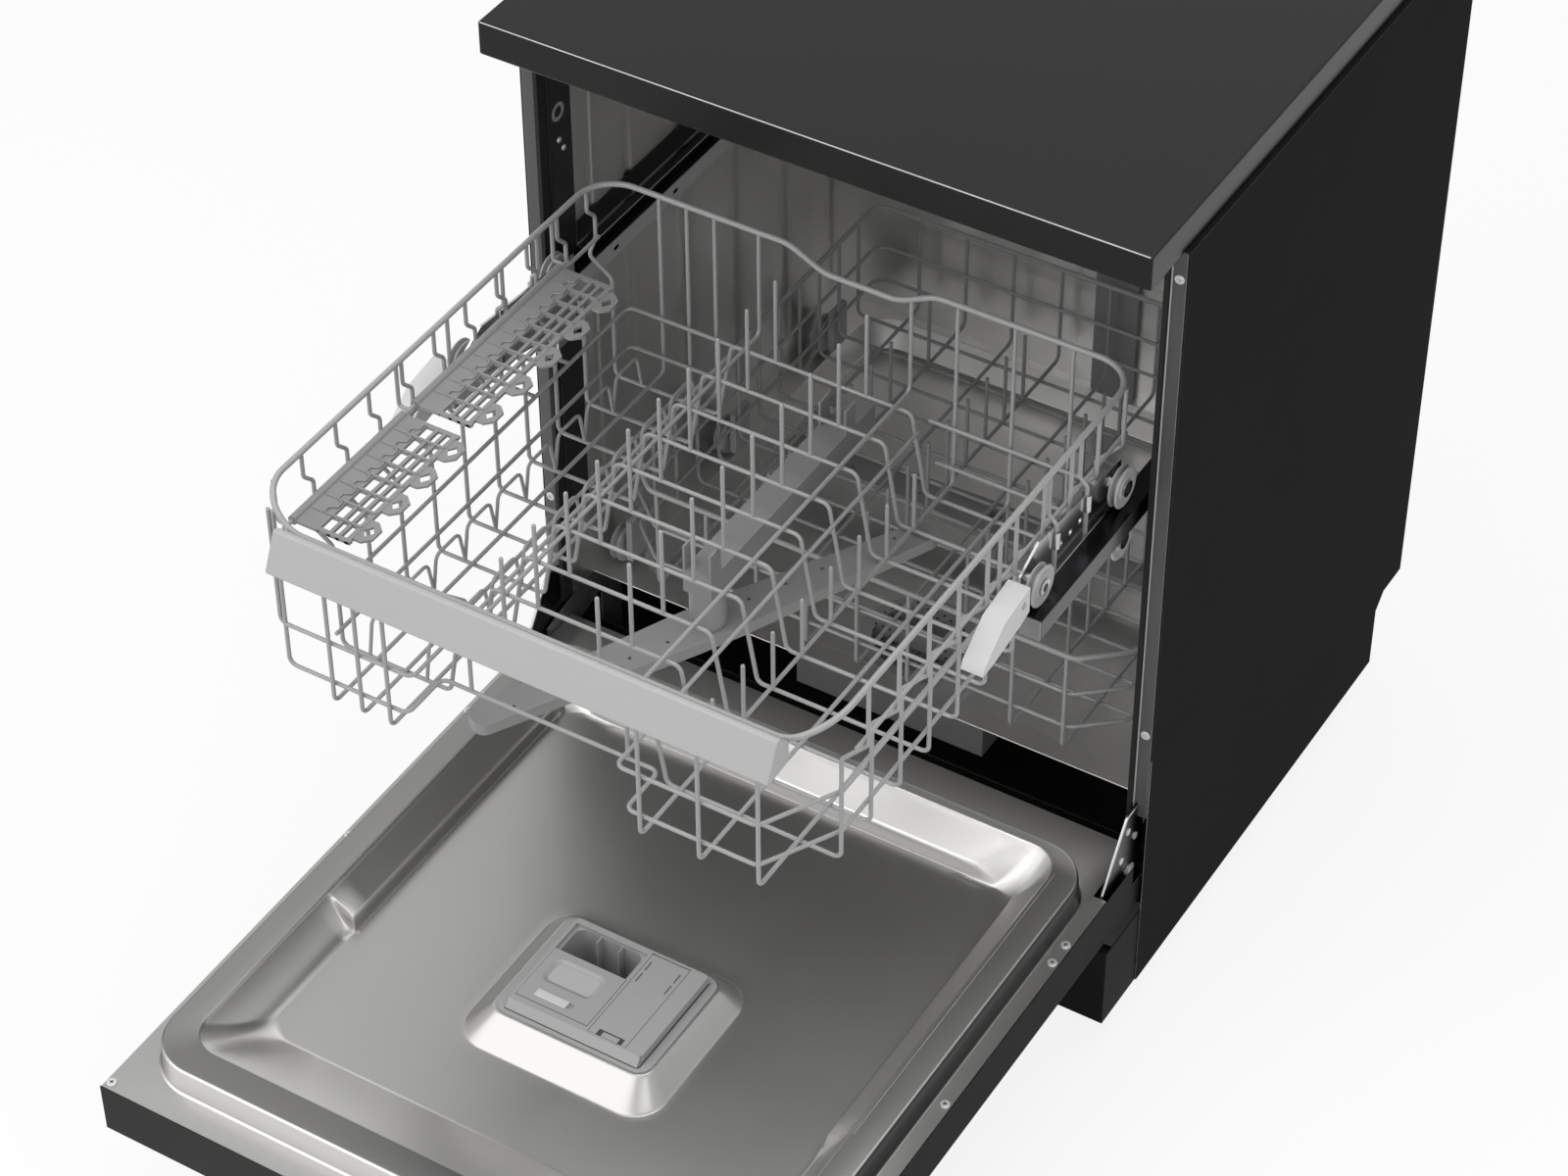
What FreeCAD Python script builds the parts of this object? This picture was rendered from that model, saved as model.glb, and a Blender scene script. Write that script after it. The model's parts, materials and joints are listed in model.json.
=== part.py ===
import FreeCAD, Part
import math
import os

V = FreeCAD.Vector

# All sizes are in millimetres. X runs to the right, Y to the back, Z up from the floor.
# Y is zero at the front edges of the side panels until each piece is moved to the shared frame.

# Cabinet
CAB_W = 598.0
CAB_H = 845.0
CAB_D = 520.0
SHEET = 1.0
FIT = 0.3
TOUCH = 0.05
HALF_W = CAB_W / 2.0
TOP_SIDE = 4.0
TOP_T = 31.0
TOP_OVERHANG = 57.5
TOP_EDGE_R = 2.5
TOP_HALF = HALF_W - TOP_SIDE
TOP_Z = CAB_H - TOP_T
PANEL_Z = 30.0
RETURN_W = 13.5
STEP_Z = 108.0
STEP_IN = 50.0
STEP_R = 14.0
STEP_Y = CAB_D - STEP_IN
PLINTH_T = 1.5
PLINTH_FRONT = -60.0
PLINTH_H = 85.0
PLINTH_LIP = 6.0

# Screws
SCREW_R = 4.2
SCREW_H = 1.4
CROSS_L = 4.0
CROSS_W = 1.0
CROSS_D = 0.8
REAR_FACE = CAB_D - SCREW_H

# Feet and base
FOOT_R = 18.0
FOOT_PAD_H = 12.0
FOOT_STEM_R = 5.0
FOOT_SIDE = 37.0
FOOT_X = HALF_W - FOOT_SIDE
FOOT_Y_FRONT = 45.0
FOOT_Y_REAR = STEP_Y - FOOT_Y_FRONT
BASE_WALL = 3.0
BASE_FLOOR = 4.0
BASE_TOP = 98.0
BASE_FRONT = 24.0
BASE_REAR_GAP = 6.0
BASE_HALF = HALF_W - SHEET
BASE_REAR = STEP_Y - BASE_REAR_GAP
RIB_COUNT = 4

# Tub
TUB_SIDE = 19.0
TUB_FRONT = 9.0
TUB_BACK_GAP = 12.0
TUB_ROOF_GAP = 19.0
TUB_HALF = HALF_W - TUB_SIDE
TUB_OUT = TUB_HALF + SHEET
TUB_REAR = CAB_D - TUB_BACK_GAP
TUB_CEIL = TOP_Z - TUB_ROOF_GAP
TUB_CORNER_R = 28.0
LEDGE_Z = 203.5
FLOOR_DROP = 27.5
FLOOR_Z = LEDGE_Z - FLOOR_DROP
RETURN_RISE = 88.5
RETURN_Z = LEDGE_Z + RETURN_RISE
SILL_Y = 44.0
LEDGE_W = 23.0
FLOOR_DRAFT = 10.0
PRESS_T = 1.6
SUMP_X = 95.0
SUMP_Y0 = 88.0
SUMP_Y1 = 312.0
SUMP_DEPTH = 52.0
SUMP_WALL = 3.0
FILTER_Y = 140.0
FILTER_R = 44.0
FILTER_HOLE_GAP = 2.0
FILTER_RIM_R = 54.0
FILTER_DEPTH = 38.0
FILTER_WALL = 2.0
STEM_Y = 277.0
STEM_R = 11.0
STEM_BORE = 7.0
STEM_CAP = 2.0
RUN_FIT = 0.06

# Front frame and gasket
FRAME_T = 1.0
FRAME_LEG = 4.0
FRAME_HALF = HALF_W - SHEET
FRAME_TOP = TOP_Z - SHEET
GASKET_T = 3.6
GASKET_BACK = 8.0
GASKET_GAP = 0.5

# Door, modelled lying open
HINGE_Y = -12.0
HINGE_Z = 171.0
DOOR_SIDE = 4.0
DOOR_TOP_GAP = 5.0
FLANGE_RISE = 7.7
DOOR_THICK = 49.7
DOOR_TAIL = 49.0
INNER_TAIL = 20.0
OUTER_T = 1.0
SEAM = 1.0
DOOR_HALF = HALF_W - DOOR_SIDE
DOOR_EDGE_Y = HINGE_Y + HINGE_Z - (TOP_Z - DOOR_TOP_GAP)
DOOR_FLANGE_Z = HINGE_Z + FLANGE_RISE
DOOR_CLOSED_FACE = HINGE_Y + FLANGE_RISE
DOOR_OUT_Z = DOOR_FLANGE_Z - DOOR_THICK
DOOR_TAIL_Y = HINGE_Y + DOOR_TAIL
INNER_TAIL_Y = HINGE_Y + INNER_TAIL
INNER_EDGE_Y = DOOR_EDGE_Y + SEAM
FLANGE_W = 17.5
FLANGE_FRONT = 28.0
FLANGE_REAR = 30.0
RIM_DRAFT = 6.0
RIM_H = 24.3
RIM_R = 46.0
RIM_HALF = DOOR_HALF - FLANGE_W
RIM_TOP_Z = DOOR_FLANGE_Z + RIM_H
RIM_FRONT = DOOR_EDGE_Y + FLANGE_FRONT
RIM_REAR = HINGE_Y - FLANGE_REAR
RIM_W_SIDE = 22.5
RIM_W_FRONT = 30.0
RIM_W_REAR = 16.0
BOWL_HALF_TOP = RIM_HALF - RIM_W_SIDE
BOWL_FRONT_TOP = RIM_FRONT + RIM_W_FRONT
BOWL_REAR_TOP = RIM_REAR - RIM_W_REAR
SLOPE_SIDE = 31.0
SLOPE_FRONT = 62.0
SLOPE_REAR = 28.0
BOWL_DROP = 8.7
BOWL_HALF = BOWL_HALF_TOP - SLOPE_SIDE
BOWL_FRONT = BOWL_FRONT_TOP + SLOPE_FRONT
BOWL_REAR = BOWL_REAR_TOP - SLOPE_REAR
BOWL_Z = DOOR_FLANGE_Z - BOWL_DROP
BOWL_R_TOP = 30.0
BOWL_R = 24.0
HINGE_NOTCH_W = 13.0
HINGE_NOTCH_L = 48.0
HINGE_NOTCH_X = DOOR_HALF - HINGE_NOTCH_W
HINGE_NOTCH_Y = HINGE_Y - HINGE_NOTCH_L
MOUND_X0 = -90.0
MOUND_X1 = 88.0
MOUND_BACK = 290.0
MOUND_L = 146.0
MOUND_H = 20.0
MOUND_SLOPE = 20.0
MOUND_R = 26.0
MOUND_Y1 = HINGE_Y - MOUND_BACK
MOUND_Y0 = MOUND_Y1 - MOUND_L
MOUND_Z = BOWL_Z + MOUND_H
DOOR_SCREW_BACK = (309.0, 132.0, 109.0)

# Hinges
ARM_SIDE = 12.2
ARM_X0 = HALF_W - ARM_SIDE
ARM_T = 2.5
ARM_TOP_Z = DOOR_FLANGE_Z - PRESS_T
ARM_REACH = 135.0
ARM_DEPTH = 30.0
ARM_RISE = 69.0
ARM_HEAD_FRONT = 6.0
ARM_HEAD_REAR = 22.0
ARM_WAIST_Y = 24.0
ARM_WAIST_Z = 24.0
ARM_HEEL_Y = 16.0
ARM_HEEL_Z = 14.0
ARM_CHIN_Y = 12.0
ARM_CHIN_Z = 22.0
ARM_LEAN = 2.0
ARM_FOOT = 45.0
ARM_BORE_R = 5.0
PIN_FIT = 0.05
BRACKET_SIDE = 16.4
BRACKET_X0 = HALF_W - BRACKET_SIDE
BRACKET_T = 2.4
BRACKET_BOSS_R = 15.0
PIN_HEAD_R = 8.0
PIN_HEAD_T = 1.6

# Control fascia
FASCIA_DEPTH = 118.0
FASCIA_T = 3.0
FASCIA_END = DOOR_EDGE_Y + FASCIA_DEPTH
GRIP_HALF = 90.0
GRIP_BACK = 38.0
GRIP_W = 46.0
GRIP_DEPTH = 24.0
GRIP_Y0 = DOOR_EDGE_Y + GRIP_BACK
GRIP_Y1 = GRIP_Y0 + GRIP_W
DISPLAY_SIDE = 33.0
DISPLAY_L = 142.0
DISPLAY_BACK = 30.0
DISPLAY_W = 40.0
DISPLAY_T = 2.0
DISPLAY_X1 = DOOR_HALF - DISPLAY_SIDE
DISPLAY_X0 = DISPLAY_X1 - DISPLAY_L
DISPLAY_Y0 = DOOR_EDGE_Y + DISPLAY_BACK
DISPLAY_Y1 = DISPLAY_Y0 + DISPLAY_W
BUTTON_SIDE = 65.0
BUTTON_BACK = 50.0
BUTTON_R = 9.0
BUTTON_H = 7.0
BUTTON_X = BUTTON_SIDE - DOOR_HALF
BUTTON_Y = DOOR_EDGE_Y + BUTTON_BACK
LATCH_HALF = 22.0
LATCH_BASE = 10.85
LATCH_REACH = 14.0
LATCH_T = 3.0
LATCH_SLOT = 4.0

# Dispenser, on the door
DISP_SIDE_LEFT = 30.0
DISP_SIDE_RIGHT = 21.0
DISP_BACK = 14.0
DISP_L = 102.0
DISP_LIP = 4.0
DISP_H = 9.0
DISP_DEPTH = 51.0
DISP_WALL = 2.0
DISP_X0 = MOUND_X0 + DISP_SIDE_LEFT
DISP_X1 = MOUND_X1 - DISP_SIDE_RIGHT
DISP_Y1 = MOUND_Y1 - DISP_BACK
DISP_Y0 = DISP_Y1 - DISP_L
DISP_TOP_Z = MOUND_Z + DISP_H
DISP_BOTTOM_Z = DISP_TOP_Z - DISP_DEPTH
CUP_SIDE = 6.0
CUP_W = 63.0
CUP_L = 70.0
CUP_DEPTH = 43.0
CUP_RIB_COUNT = 2
CUP_X0 = DISP_X0 + CUP_SIDE
CUP_X1 = CUP_X0 + CUP_W
CUP_Y1 = DISP_Y1 - CUP_SIDE
CUP_Y0 = CUP_Y1 - CUP_L
CUP_FLOOR_Z = DISP_TOP_Z - CUP_DEPTH
LID_T = 3.0
LID_LEN = 58.0
LID_TRAVEL = 32.0
LID_FRONT = DISP_Y0 + CUP_SIDE
LID_SIDE = 3.0
THUMB_DEPTH = 1.6
THUMB_FRONT = 23.0
THUMB_REAR = 7.0
LATCH_BAR_SIDE = 10.5
LATCH_BAR_BACK = 6.0
LATCH_BAR_L = 30.0
LATCH_BAR_W = 8.0
LATCH_BAR_H = 3.4
LATCH_PRESS = 2.4
FLAP_GAP = 6.0
FLAP_SIDE = 16.0
FLAP_X0 = CUP_X1 + FLAP_GAP
FLAP_X1 = DISP_X1 - FLAP_SIDE
FLAP_T = 4.0
FLAP_PIN_R = 1.0
TANK_GAP = 3.0

# Rack rails on the tub walls
RAIL_DROP = 227.0
RAIL_H = 18.0
RAIL_W = 18.0
RAIL_SIDE = 4.0
RAIL_T = 1.4
RAIL_L = 470.0
RAIL_TRAVEL = 195.0
RAIL_END_GAP = 11.0
RAIL_Z1 = TUB_CEIL - RAIL_DROP
RAIL_Z0 = RAIL_Z1 - RAIL_H
RAIL_X1 = TUB_HALF - RAIL_SIDE
RAIL_X0 = RAIL_X1 - RAIL_W
RAIL_FRONT = TUB_REAR - RAIL_END_GAP - RAIL_TRAVEL - RAIL_L
GUIDE_T = 1.2
GUIDE_W = 10.5
GUIDE_FRONT = 40.0
GUIDE_END_GAP = 8.0
GUIDE_LIP_X = TUB_HALF - GUIDE_W
GUIDE_REAR = TUB_REAR - GUIDE_END_GAP
CAP_L = 9.0

# Upper rack, modelled pulled out
RACK_TRAVEL = 465.0
RACK_END_GAP = 10.0
RACK_SIDE = 10.0
UB_LEN = 470.0
UB_RISE = 91.0
UB_HALF = RAIL_X0 - RACK_SIDE
UB_REAR = TUB_REAR - RACK_END_GAP - RACK_TRAVEL
UB_FRONT = UB_REAR - UB_LEN
UB_TOP = RAIL_Z1 + UB_RISE
UB_FRONT_DROP = 21.0
UB_MID_DROP = 107.0
UB_BAY_DROP = 186.0
UB_FRONT_TOP = UB_TOP - UB_FRONT_DROP
UB_MID_Z = UB_TOP - UB_MID_DROP
UB_BAY_Z = UB_TOP - UB_BAY_DROP
UB_MID_X = -25.0
UB_MID_HALF = 85.0
UB_BAY_RUN = 14.0
UB_SHOULDER = 22.0
UB_SHOULDER_DROP = 59.0
UB_SHOULDER_H = 25.0
UB_LOW_HALF = UB_HALF - UB_SHOULDER
UB_POD_L = 49.0
UB_POD_Y = UB_FRONT + UB_POD_L
UB_CHAMFER_X = 35.0
UB_CHAMFER_Y = 64.0
RING_R = 2.5
WIRE_R = 1.75
RING_BEND = 34.0
WIRE_BEND = 7.0
UB_CROSS_COUNT = 10
UB_CROSS_FRONT = 59.0
UB_CROSS_REAR = 21.0
UB_CROSS_Y0 = UB_FRONT + UB_CROSS_FRONT
UB_CROSS_Y1 = UB_REAR - UB_CROSS_REAR
JOG = 11.0
UB_BAND_LOW = UB_BAY_Z + 21.0
UB_BAND_MID = UB_BAY_Z + 62.0
UB_BAND_TOP = UB_BAY_Z + 131.0
TINE_H = 82.0
BAY_TINE_H = 58.0
WELD = 0.3
HANDLE_SIDE = 34.0
HANDLE_DROP = 8.0
HANDLE_H = 29.0
HANDLE_OUT_TOP = 17.0
HANDLE_OUT_LOW = 31.0
HANDLE_T = 3.0
HANDLE_HALF = UB_HALF - HANDLE_SIDE
HANDLE_TOP_Y = UB_FRONT - HANDLE_OUT_TOP
HANDLE_TOP_Z = UB_TOP - HANDLE_DROP
HANDLE_LOW_Y = UB_FRONT - HANDLE_OUT_LOW
HANDLE_LOW_Z = HANDLE_TOP_Z - HANDLE_H
HANDLE_BACK_Y = UB_FRONT - WIRE_R
RACK_MID_Y = (UB_FRONT + UB_REAR) / 2.0

# Roller brackets of the upper rack
PLATE_SIDE = 4.6
PLATE_T = 2.0
PLATE_X0 = UB_HALF + PLATE_SIDE
ROLLER_R = 17.6
ROLLER_W = 8.0
ROLLER_INSET = 1.0
ROLLER_X0 = RAIL_X0 + ROLLER_INSET
ROLLER_BACK = 50.0
ROLLER_SPAN = 133.0
ROLLER_REAR_Y = UB_REAR - ROLLER_BACK
ROLLER_FRONT_Y = ROLLER_REAR_Y - ROLLER_SPAN
ROLLER_PIN_R = 4.0
ROLLER_GAP = 0.06
ROLLER_HEAD_R = 7.0
ROLLER_HEAD_T = 1.5
ROLLER_TOP_Z = RAIL_Z1 + ROLLER_R + ROLLER_GAP
ROLLER_LOW_Z = RAIL_Z0 - ROLLER_R - ROLLER_GAP
LEVER_T = 19.0
LEVER_BACK = 36.0
LEVER_DROP = 64.0
LEVER_PIVOT_Y = ROLLER_FRONT_Y - LEVER_BACK
LEVER_PIVOT_Z = UB_TOP - LEVER_DROP
LEVER_PIN_R = 3.0
LEVER_HEAD = 9.0
LEVER_CROWN = 12.0
LEVER_NECK = 30.0
LEVER_NECK_RISE = 6.0
LEVER_CHIN = 16.0
LEVER_REACH = 62.0
LEVER_TIP = 23.0
LEVER_TIP_W = 16.0
LIFT_ROD_SIDE = 6.8
LIFT_ROD_X = UB_HALF + LIFT_ROD_SIDE
LIFT_ROD_BACK = (93.0, 43.0)
LIFT_ROD_Y = tuple(ROLLER_REAR_Y - back for back in LIFT_ROD_BACK)
LIFT = 50.0
SLEEVE_RISE = 22.0
SLEEVE_Z = RAIL_Z1 + SLEEVE_RISE
SLEEVE_H = 16.0
SLEEVE_R = 4.0
SLOT_HALF = 3.2

# Cup shelves
SHELF_SIDE = 10.0
SHELF_DROP = 41.0
SHELF_AXIS_X = SHELF_SIDE - UB_HALF
SHELF_AXIS_Z = UB_TOP - SHELF_DROP
SHELF_W = 66.0
SHELF_T = 3.0
SHELF_BARREL_R = 4.0
SHELF_FRONT_GAP = 29.0
SHELF_FRONT_L = 146.0
SHELF_SPLIT = 14.0
SHELF_REAR_L = 204.0
SHELF_FRONT = (UB_FRONT + SHELF_FRONT_GAP, UB_FRONT + SHELF_FRONT_GAP + SHELF_FRONT_L)
SHELF_REAR = (SHELF_FRONT[1] + SHELF_SPLIT, SHELF_FRONT[1] + SHELF_SPLIT + SHELF_REAR_L)
SHELF_PITCH = 18.0
SHELF_BAR = 4.0

# Upper spray arm
DUCT_HALF = 13.0
DUCT_DROP = 26.0
DUCT_H = 22.0
DUCT_Z1 = UB_MID_Z - DUCT_DROP
DUCT_Z0 = DUCT_Z1 - DUCT_H
DUCT_WALL = 2.0
HUB_R = 15.0
USPRAY_DROP = 48.0
USPRAY_GAP = 36.0
USPRAY_Z = DUCT_Z0 - USPRAY_DROP
USPRAY_R = UB_HALF - USPRAY_GAP
USPRAY_TURN = 63.0
LSPRAY_RISE = 3.5
LSPRAY_GAP = 64.0
LSPRAY_Z = LEDGE_Z + LSPRAY_RISE
LSPRAY_R = TUB_HALF - LSPRAY_GAP
ARM_HALF_W = 20.0
ARM_TIP_W = 12.0
ARM_TIP_R = 9.6
ARM_THICK = 11.0
JET_R = 1.6
JET_COUNT = 5

# Feed pipe on the rear wall
FEED_HALF = 22.0
FEED_T = 6.5
FEED_RISE = 6.0
FEED_TOP = DUCT_Z1 + FEED_RISE

# Lower rack
LB_SIDE = 32.0
LB_FRONT = 30.0
LB_END_GAP = 20.0
LB_RIDE = 28.5
LB_LOW_RISE = 26.0
LB_MID_RISE = 64.0
LB_TOP_RISE = 108.0
LB_HALF = TUB_HALF - LB_SIDE
LB_REAR = TUB_REAR - LB_END_GAP
LB_FLOOR = LEDGE_Z + LB_RIDE
LB_LOW = LB_FLOOR + LB_LOW_RISE
LB_MID = LB_FLOOR + LB_MID_RISE
LB_TOP = LB_FLOOR + LB_TOP_RISE
LB_CHAMFER_X = 40.0
LB_CHAMFER_Y = 34.0
LB_CROSS_COUNT = 11
LB_LONG_COUNT = 9
LB_TINE_H = 78.0
WHEEL_R = 18.0
WHEEL_W = 10.0
WHEEL_SIDE = 14.0
WHEEL_X0 = LB_HALF + WHEEL_SIDE
WHEEL_PIN_R = 4.0
WHEEL_COUNT = 3
WHEEL_FRONT = 45.0
WHEEL_REAR = 63.0
WHEEL_RIDE = 0.35
WHEEL_Z = LEDGE_Z + WHEEL_R + WHEEL_RIDE
CLIP_SIDE = 2.6
CLIP_T = 6.0
CLIP_HALF = 12.6
CLIP_X0 = LB_HALF + CLIP_SIDE

# Rear services
PORT_SIDE = 94.0
PORT_Z = 72.0
INLET_X = PORT_SIDE - HALF_W
DRAIN_X = HALF_W - PORT_SIDE
INLET_R = 13.2
INLET_BORE = 8.0
INLET_L = 18.0
PORT_COLLAR = 1.0
DRAIN_R = 10.5
DRAIN_BORE = 8.0
DRAIN_L = 26.0
GLAND_SIDE = 75.0
GLAND_X = DRAIN_X - GLAND_SIDE
GLAND_R = 9.0
PUMP_R = 23.0
MOTOR_R = 25.3
PUMP_L = 110.0

# The depth is moved so that the part lies centred on its origin
SHIFT_Y = -(DOOR_EDGE_Y + CAB_D) / 2.0


def box(x0, x1, y0, y1, z0, z1):
    return Part.makeBox(x1 - x0, y1 - y0, z1 - z0, V(x0, y0, z0))


def both(shape):
    return Part.makeCompound([shape, shape.mirror(V(0, 0, 0), V(1, 0, 0))])


def cyl(point, axis, radius, length):
    return Part.makeCylinder(radius, length, V(*point), V(*axis))


def tube(point, axis, radius, bore, length):
    return cyl(point, axis, radius, length).cut(cyl(point, axis, bore, length))


def rod(start, end, radius):
    run = end - start
    return Part.makeCylinder(radius, run.Length, start, run)


def prism_x(outline, x0, x1):
    points = [V(x0, y, z) for y, z in outline]
    return Part.Face(Part.makePolygon(points + points[:1])).extrude(V(x1 - x0, 0, 0))


def prism_y(outline, y0, y1):
    points = [V(x, y0, z) for x, z in outline]
    return Part.Face(Part.makePolygon(points + points[:1])).extrude(V(0, y1 - y0, 0))


def prism_z(outline, z0, z1):
    points = [V(x, y, z0) for x, y in outline]
    return Part.Face(Part.makePolygon(points + points[:1])).extrude(V(0, 0, z1 - z0))


def rounded_outline(x0, x1, y0, y1, radius, z):
    low, high = V(x0, y0, z), V(x1, y1, z)
    turn = math.sqrt(0.5) * radius
    edges = []
    corners = (
        (V(high.x - radius, low.y + radius, z), -90.0),
        (V(high.x - radius, high.y - radius, z), 0.0),
        (V(low.x + radius, high.y - radius, z), 90.0),
        (V(low.x + radius, low.y + radius, z), 180.0),
    )
    ends = []
    for centre, start in corners:
        first = math.radians(start)
        middle = math.radians(start + 45.0)
        last = math.radians(start + 90.0)
        p0 = centre + V(math.cos(first), math.sin(first), 0) * radius
        p1 = centre + V(math.copysign(turn, math.cos(middle)), math.copysign(turn, math.sin(middle)), 0)
        p2 = centre + V(math.cos(last), math.sin(last), 0) * radius
        ends.append((p0, p2))
        edges.append(Part.Arc(p0, p1, p2).toShape())
    outline = []
    for index, edge in enumerate(edges):
        outline.append(edge)
        outline.append(Part.makeLine(ends[index][1], ends[(index + 1) % len(ends)][0]))
    return Part.Wire(outline)


def rounded_block(x0, x1, y0, y1, radius, z0, z1):
    return Part.Face(rounded_outline(x0, x1, y0, y1, radius, z0)).extrude(V(0, 0, z1 - z0))


def frustum(low, high):
    return Part.makeLoft([rounded_outline(*low), rounded_outline(*high)], True, True)


def pressed(solid, thickness):
    lowered = solid.copy()
    lowered.translate(V(0, 0, -thickness))
    return solid.cut(lowered)


def bend_wire(points, radius, bend):
    path = [V(*point) for point in points]
    solids = []
    start = path[0]
    for before, corner, after in zip(path, path[1:], path[2:]):
        incoming = (corner - before).normalize()
        outgoing = (after - corner).normalize()
        turn = incoming.getAngle(outgoing)
        setback = bend * math.tan(turn / 2.0)
        enter = corner - incoming * setback
        leave = corner + outgoing * setback
        inward = (outgoing - incoming).normalize()
        centre = corner + inward * (bend / math.cos(turn / 2.0))
        section = Part.Face(Part.Wire([Part.makeCircle(radius, enter, incoming)]))
        solids.append(rod(start, enter, radius))
        solids.append(section.revolve(centre, incoming.cross(outgoing), math.degrees(turn)))
        start = leave
    solids.append(rod(start, path[-1], radius))
    return solids


def closed_wire(points, radius, bend):
    first, second = V(*points[0]), V(*points[1])
    middle = (first + second) * 0.5
    loop = [tuple(middle)] + [tuple(p) for p in points[1:]] + [tuple(points[0]), tuple(middle)]
    return bend_wire(loop, radius, bend)


def mirrored(solids):
    return [solid.mirror(V(0, 0, 0), V(1, 0, 0)) for solid in solids]


def spaced(first, last, count):
    return [first + (last - first) * index / (count - 1) for index in range(count)]


def screw_head(x, y, z, axis):
    head = cyl((0, 0, 0), (0, 0, 1), SCREW_R, SCREW_H)
    rim = [edge for edge in head.Edges if edge.BoundBox.ZMin > SCREW_H / 2.0 and edge.Closed]
    head = head.makeFillet(SCREW_H / 2.0, rim)
    for long_x, long_y in ((CROSS_L, CROSS_W), (CROSS_W, CROSS_L)):
        head = head.cut(box(-long_x / 2, long_x / 2, -long_y / 2, long_y / 2, SCREW_H - CROSS_D, SCREW_H))
    head.Placement = FreeCAD.Placement(V(x, y, z), FreeCAD.Rotation(V(0, 0, 1), V(*axis)))
    return head


def worktop():
    slab = box(-TOP_HALF, TOP_HALF, -TOP_OVERHANG, CAB_D, TOP_Z, CAB_H)
    near = -TOP_OVERHANG + TOUCH
    front = [e for e in slab.Edges if e.BoundBox.YMax < near and e.BoundBox.XLength > TOP_HALF]
    return slab.makeFillet(TOP_EDGE_R, front)


def side_panel():
    outline = [
        (0, PANEL_Z),
        (STEP_Y, PANEL_Z),
        (STEP_Y, STEP_Z - STEP_R),
        (STEP_Y + STEP_R, STEP_Z),
        (CAB_D, STEP_Z),
        (CAB_D, TOP_Z),
        (0, TOP_Z),
    ]
    sheet = prism_x(outline, HALF_W - SHEET, HALF_W)
    edge = HALF_W - SHEET - RETURN_W
    front = box(edge, HALF_W - SHEET, 0, SHEET, RETURN_Z, TOP_Z)
    top = box(edge, HALF_W - SHEET, 0, CAB_D - SHEET, TOP_Z - SHEET, TOP_Z)
    return sheet.fuse([front, top]).removeSplitter()


def rear_panel():
    half = HALF_W - SHEET - TOUCH
    sheet = box(-half, half, REAR_FACE - SHEET, REAR_FACE, STEP_Z + SHEET, TOP_Z - SHEET - TOUCH)
    shelf = box(-half, half, STEP_Y + STEP_R, REAR_FACE, STEP_Z, STEP_Z + SHEET)
    return sheet.fuse(shelf).removeSplitter()


def base_tray():
    tray = box(-BASE_HALF, BASE_HALF, BASE_FRONT, BASE_REAR, PANEL_Z, BASE_TOP)
    hollow = box(
        -BASE_HALF + BASE_WALL,
        BASE_HALF - BASE_WALL,
        BASE_FRONT + BASE_WALL,
        BASE_REAR - BASE_WALL,
        PANEL_Z + BASE_FLOOR,
        BASE_TOP,
    )
    tray = tray.cut(hollow)
    for x in (INLET_X, DRAIN_X):
        inside = BASE_REAR - 2 * BASE_WALL
        tray = tray.cut(cyl((x, inside, PORT_Z), (0, 1, 0), INLET_R - PORT_COLLAR, 3 * BASE_WALL))
    for x, y in foot_places():
        tray = tray.cut(cyl((x, y, PANEL_Z), (0, 0, 1), FOOT_STEM_R, BASE_FLOOR))
    posts = [
        box(x - BASE_WALL, x + BASE_WALL, y0, y1, PANEL_Z + BASE_FLOOR, BASE_TOP)
        for x in spaced(-BASE_HALF + SUMP_X, BASE_HALF - SUMP_X, RIB_COUNT)
        for y0, y1 in ((BASE_FRONT + BASE_WALL, SUMP_Y0 - SUMP_WALL),)
    ]
    return tray.fuse(posts).removeSplitter()


def foot_places():
    return [(x, y) for y in (FOOT_Y_FRONT, FOOT_Y_REAR) for x in (-FOOT_X, FOOT_X)]


def levelling_feet():
    feet = []
    for x, y in foot_places():
        pad = cyl((x, y, 0), (0, 0, 1), FOOT_R, FOOT_PAD_H)
        stem = cyl((x, y, FOOT_PAD_H), (0, 0, 1), FOOT_STEM_R, PANEL_Z + BASE_FLOOR - FOOT_PAD_H)
        nut = cyl((x, y, PANEL_Z - BASE_FLOOR), (0, 0, 1), 2 * FOOT_STEM_R, BASE_FLOOR)
        feet.append(pad.fuse([stem, nut]).removeSplitter())
    return Part.makeCompound(feet)


def plinth():
    top = PANEL_Z + PLINTH_H
    half = HALF_W - SHEET - FIT
    plate = box(-half, half, PLINTH_FRONT, PLINTH_FRONT + PLINTH_T, PANEL_Z, top)
    back = PLINTH_FRONT + PLINTH_T
    lip = box(-half, half, back, back + PLINTH_LIP, top - PLINTH_T, top)
    cheeks = []
    for x0 in (-half, half - PLINTH_T):
        cheeks.append(box(x0, x0 + PLINTH_T, back, BASE_FRONT, PANEL_Z, top))
    body = plate.fuse([lip] + cheeks).removeSplitter()
    corners = [
        e
        for e in body.Edges
        if e.BoundBox.YMax < PLINTH_FRONT + TOUCH and e.BoundBox.ZLength > PLINTH_H / 2
    ]
    return body.makeFillet(PLINTH_T / 2, corners)


def tub_wrap():
    wall_top = TUB_CEIL + SHEET
    outer = box(-TUB_OUT, TUB_OUT, TUB_FRONT, TUB_REAR, LEDGE_Z, wall_top)
    inner = box(-TUB_HALF, TUB_HALF, TUB_FRONT, TUB_REAR, LEDGE_Z, TUB_CEIL)
    outer = outer.makeFillet(TUB_CORNER_R + SHEET, long_top_edges(outer, wall_top))
    inner = inner.makeFillet(TUB_CORNER_R, long_top_edges(inner, TUB_CEIL))
    return outer.cut(inner)


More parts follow.
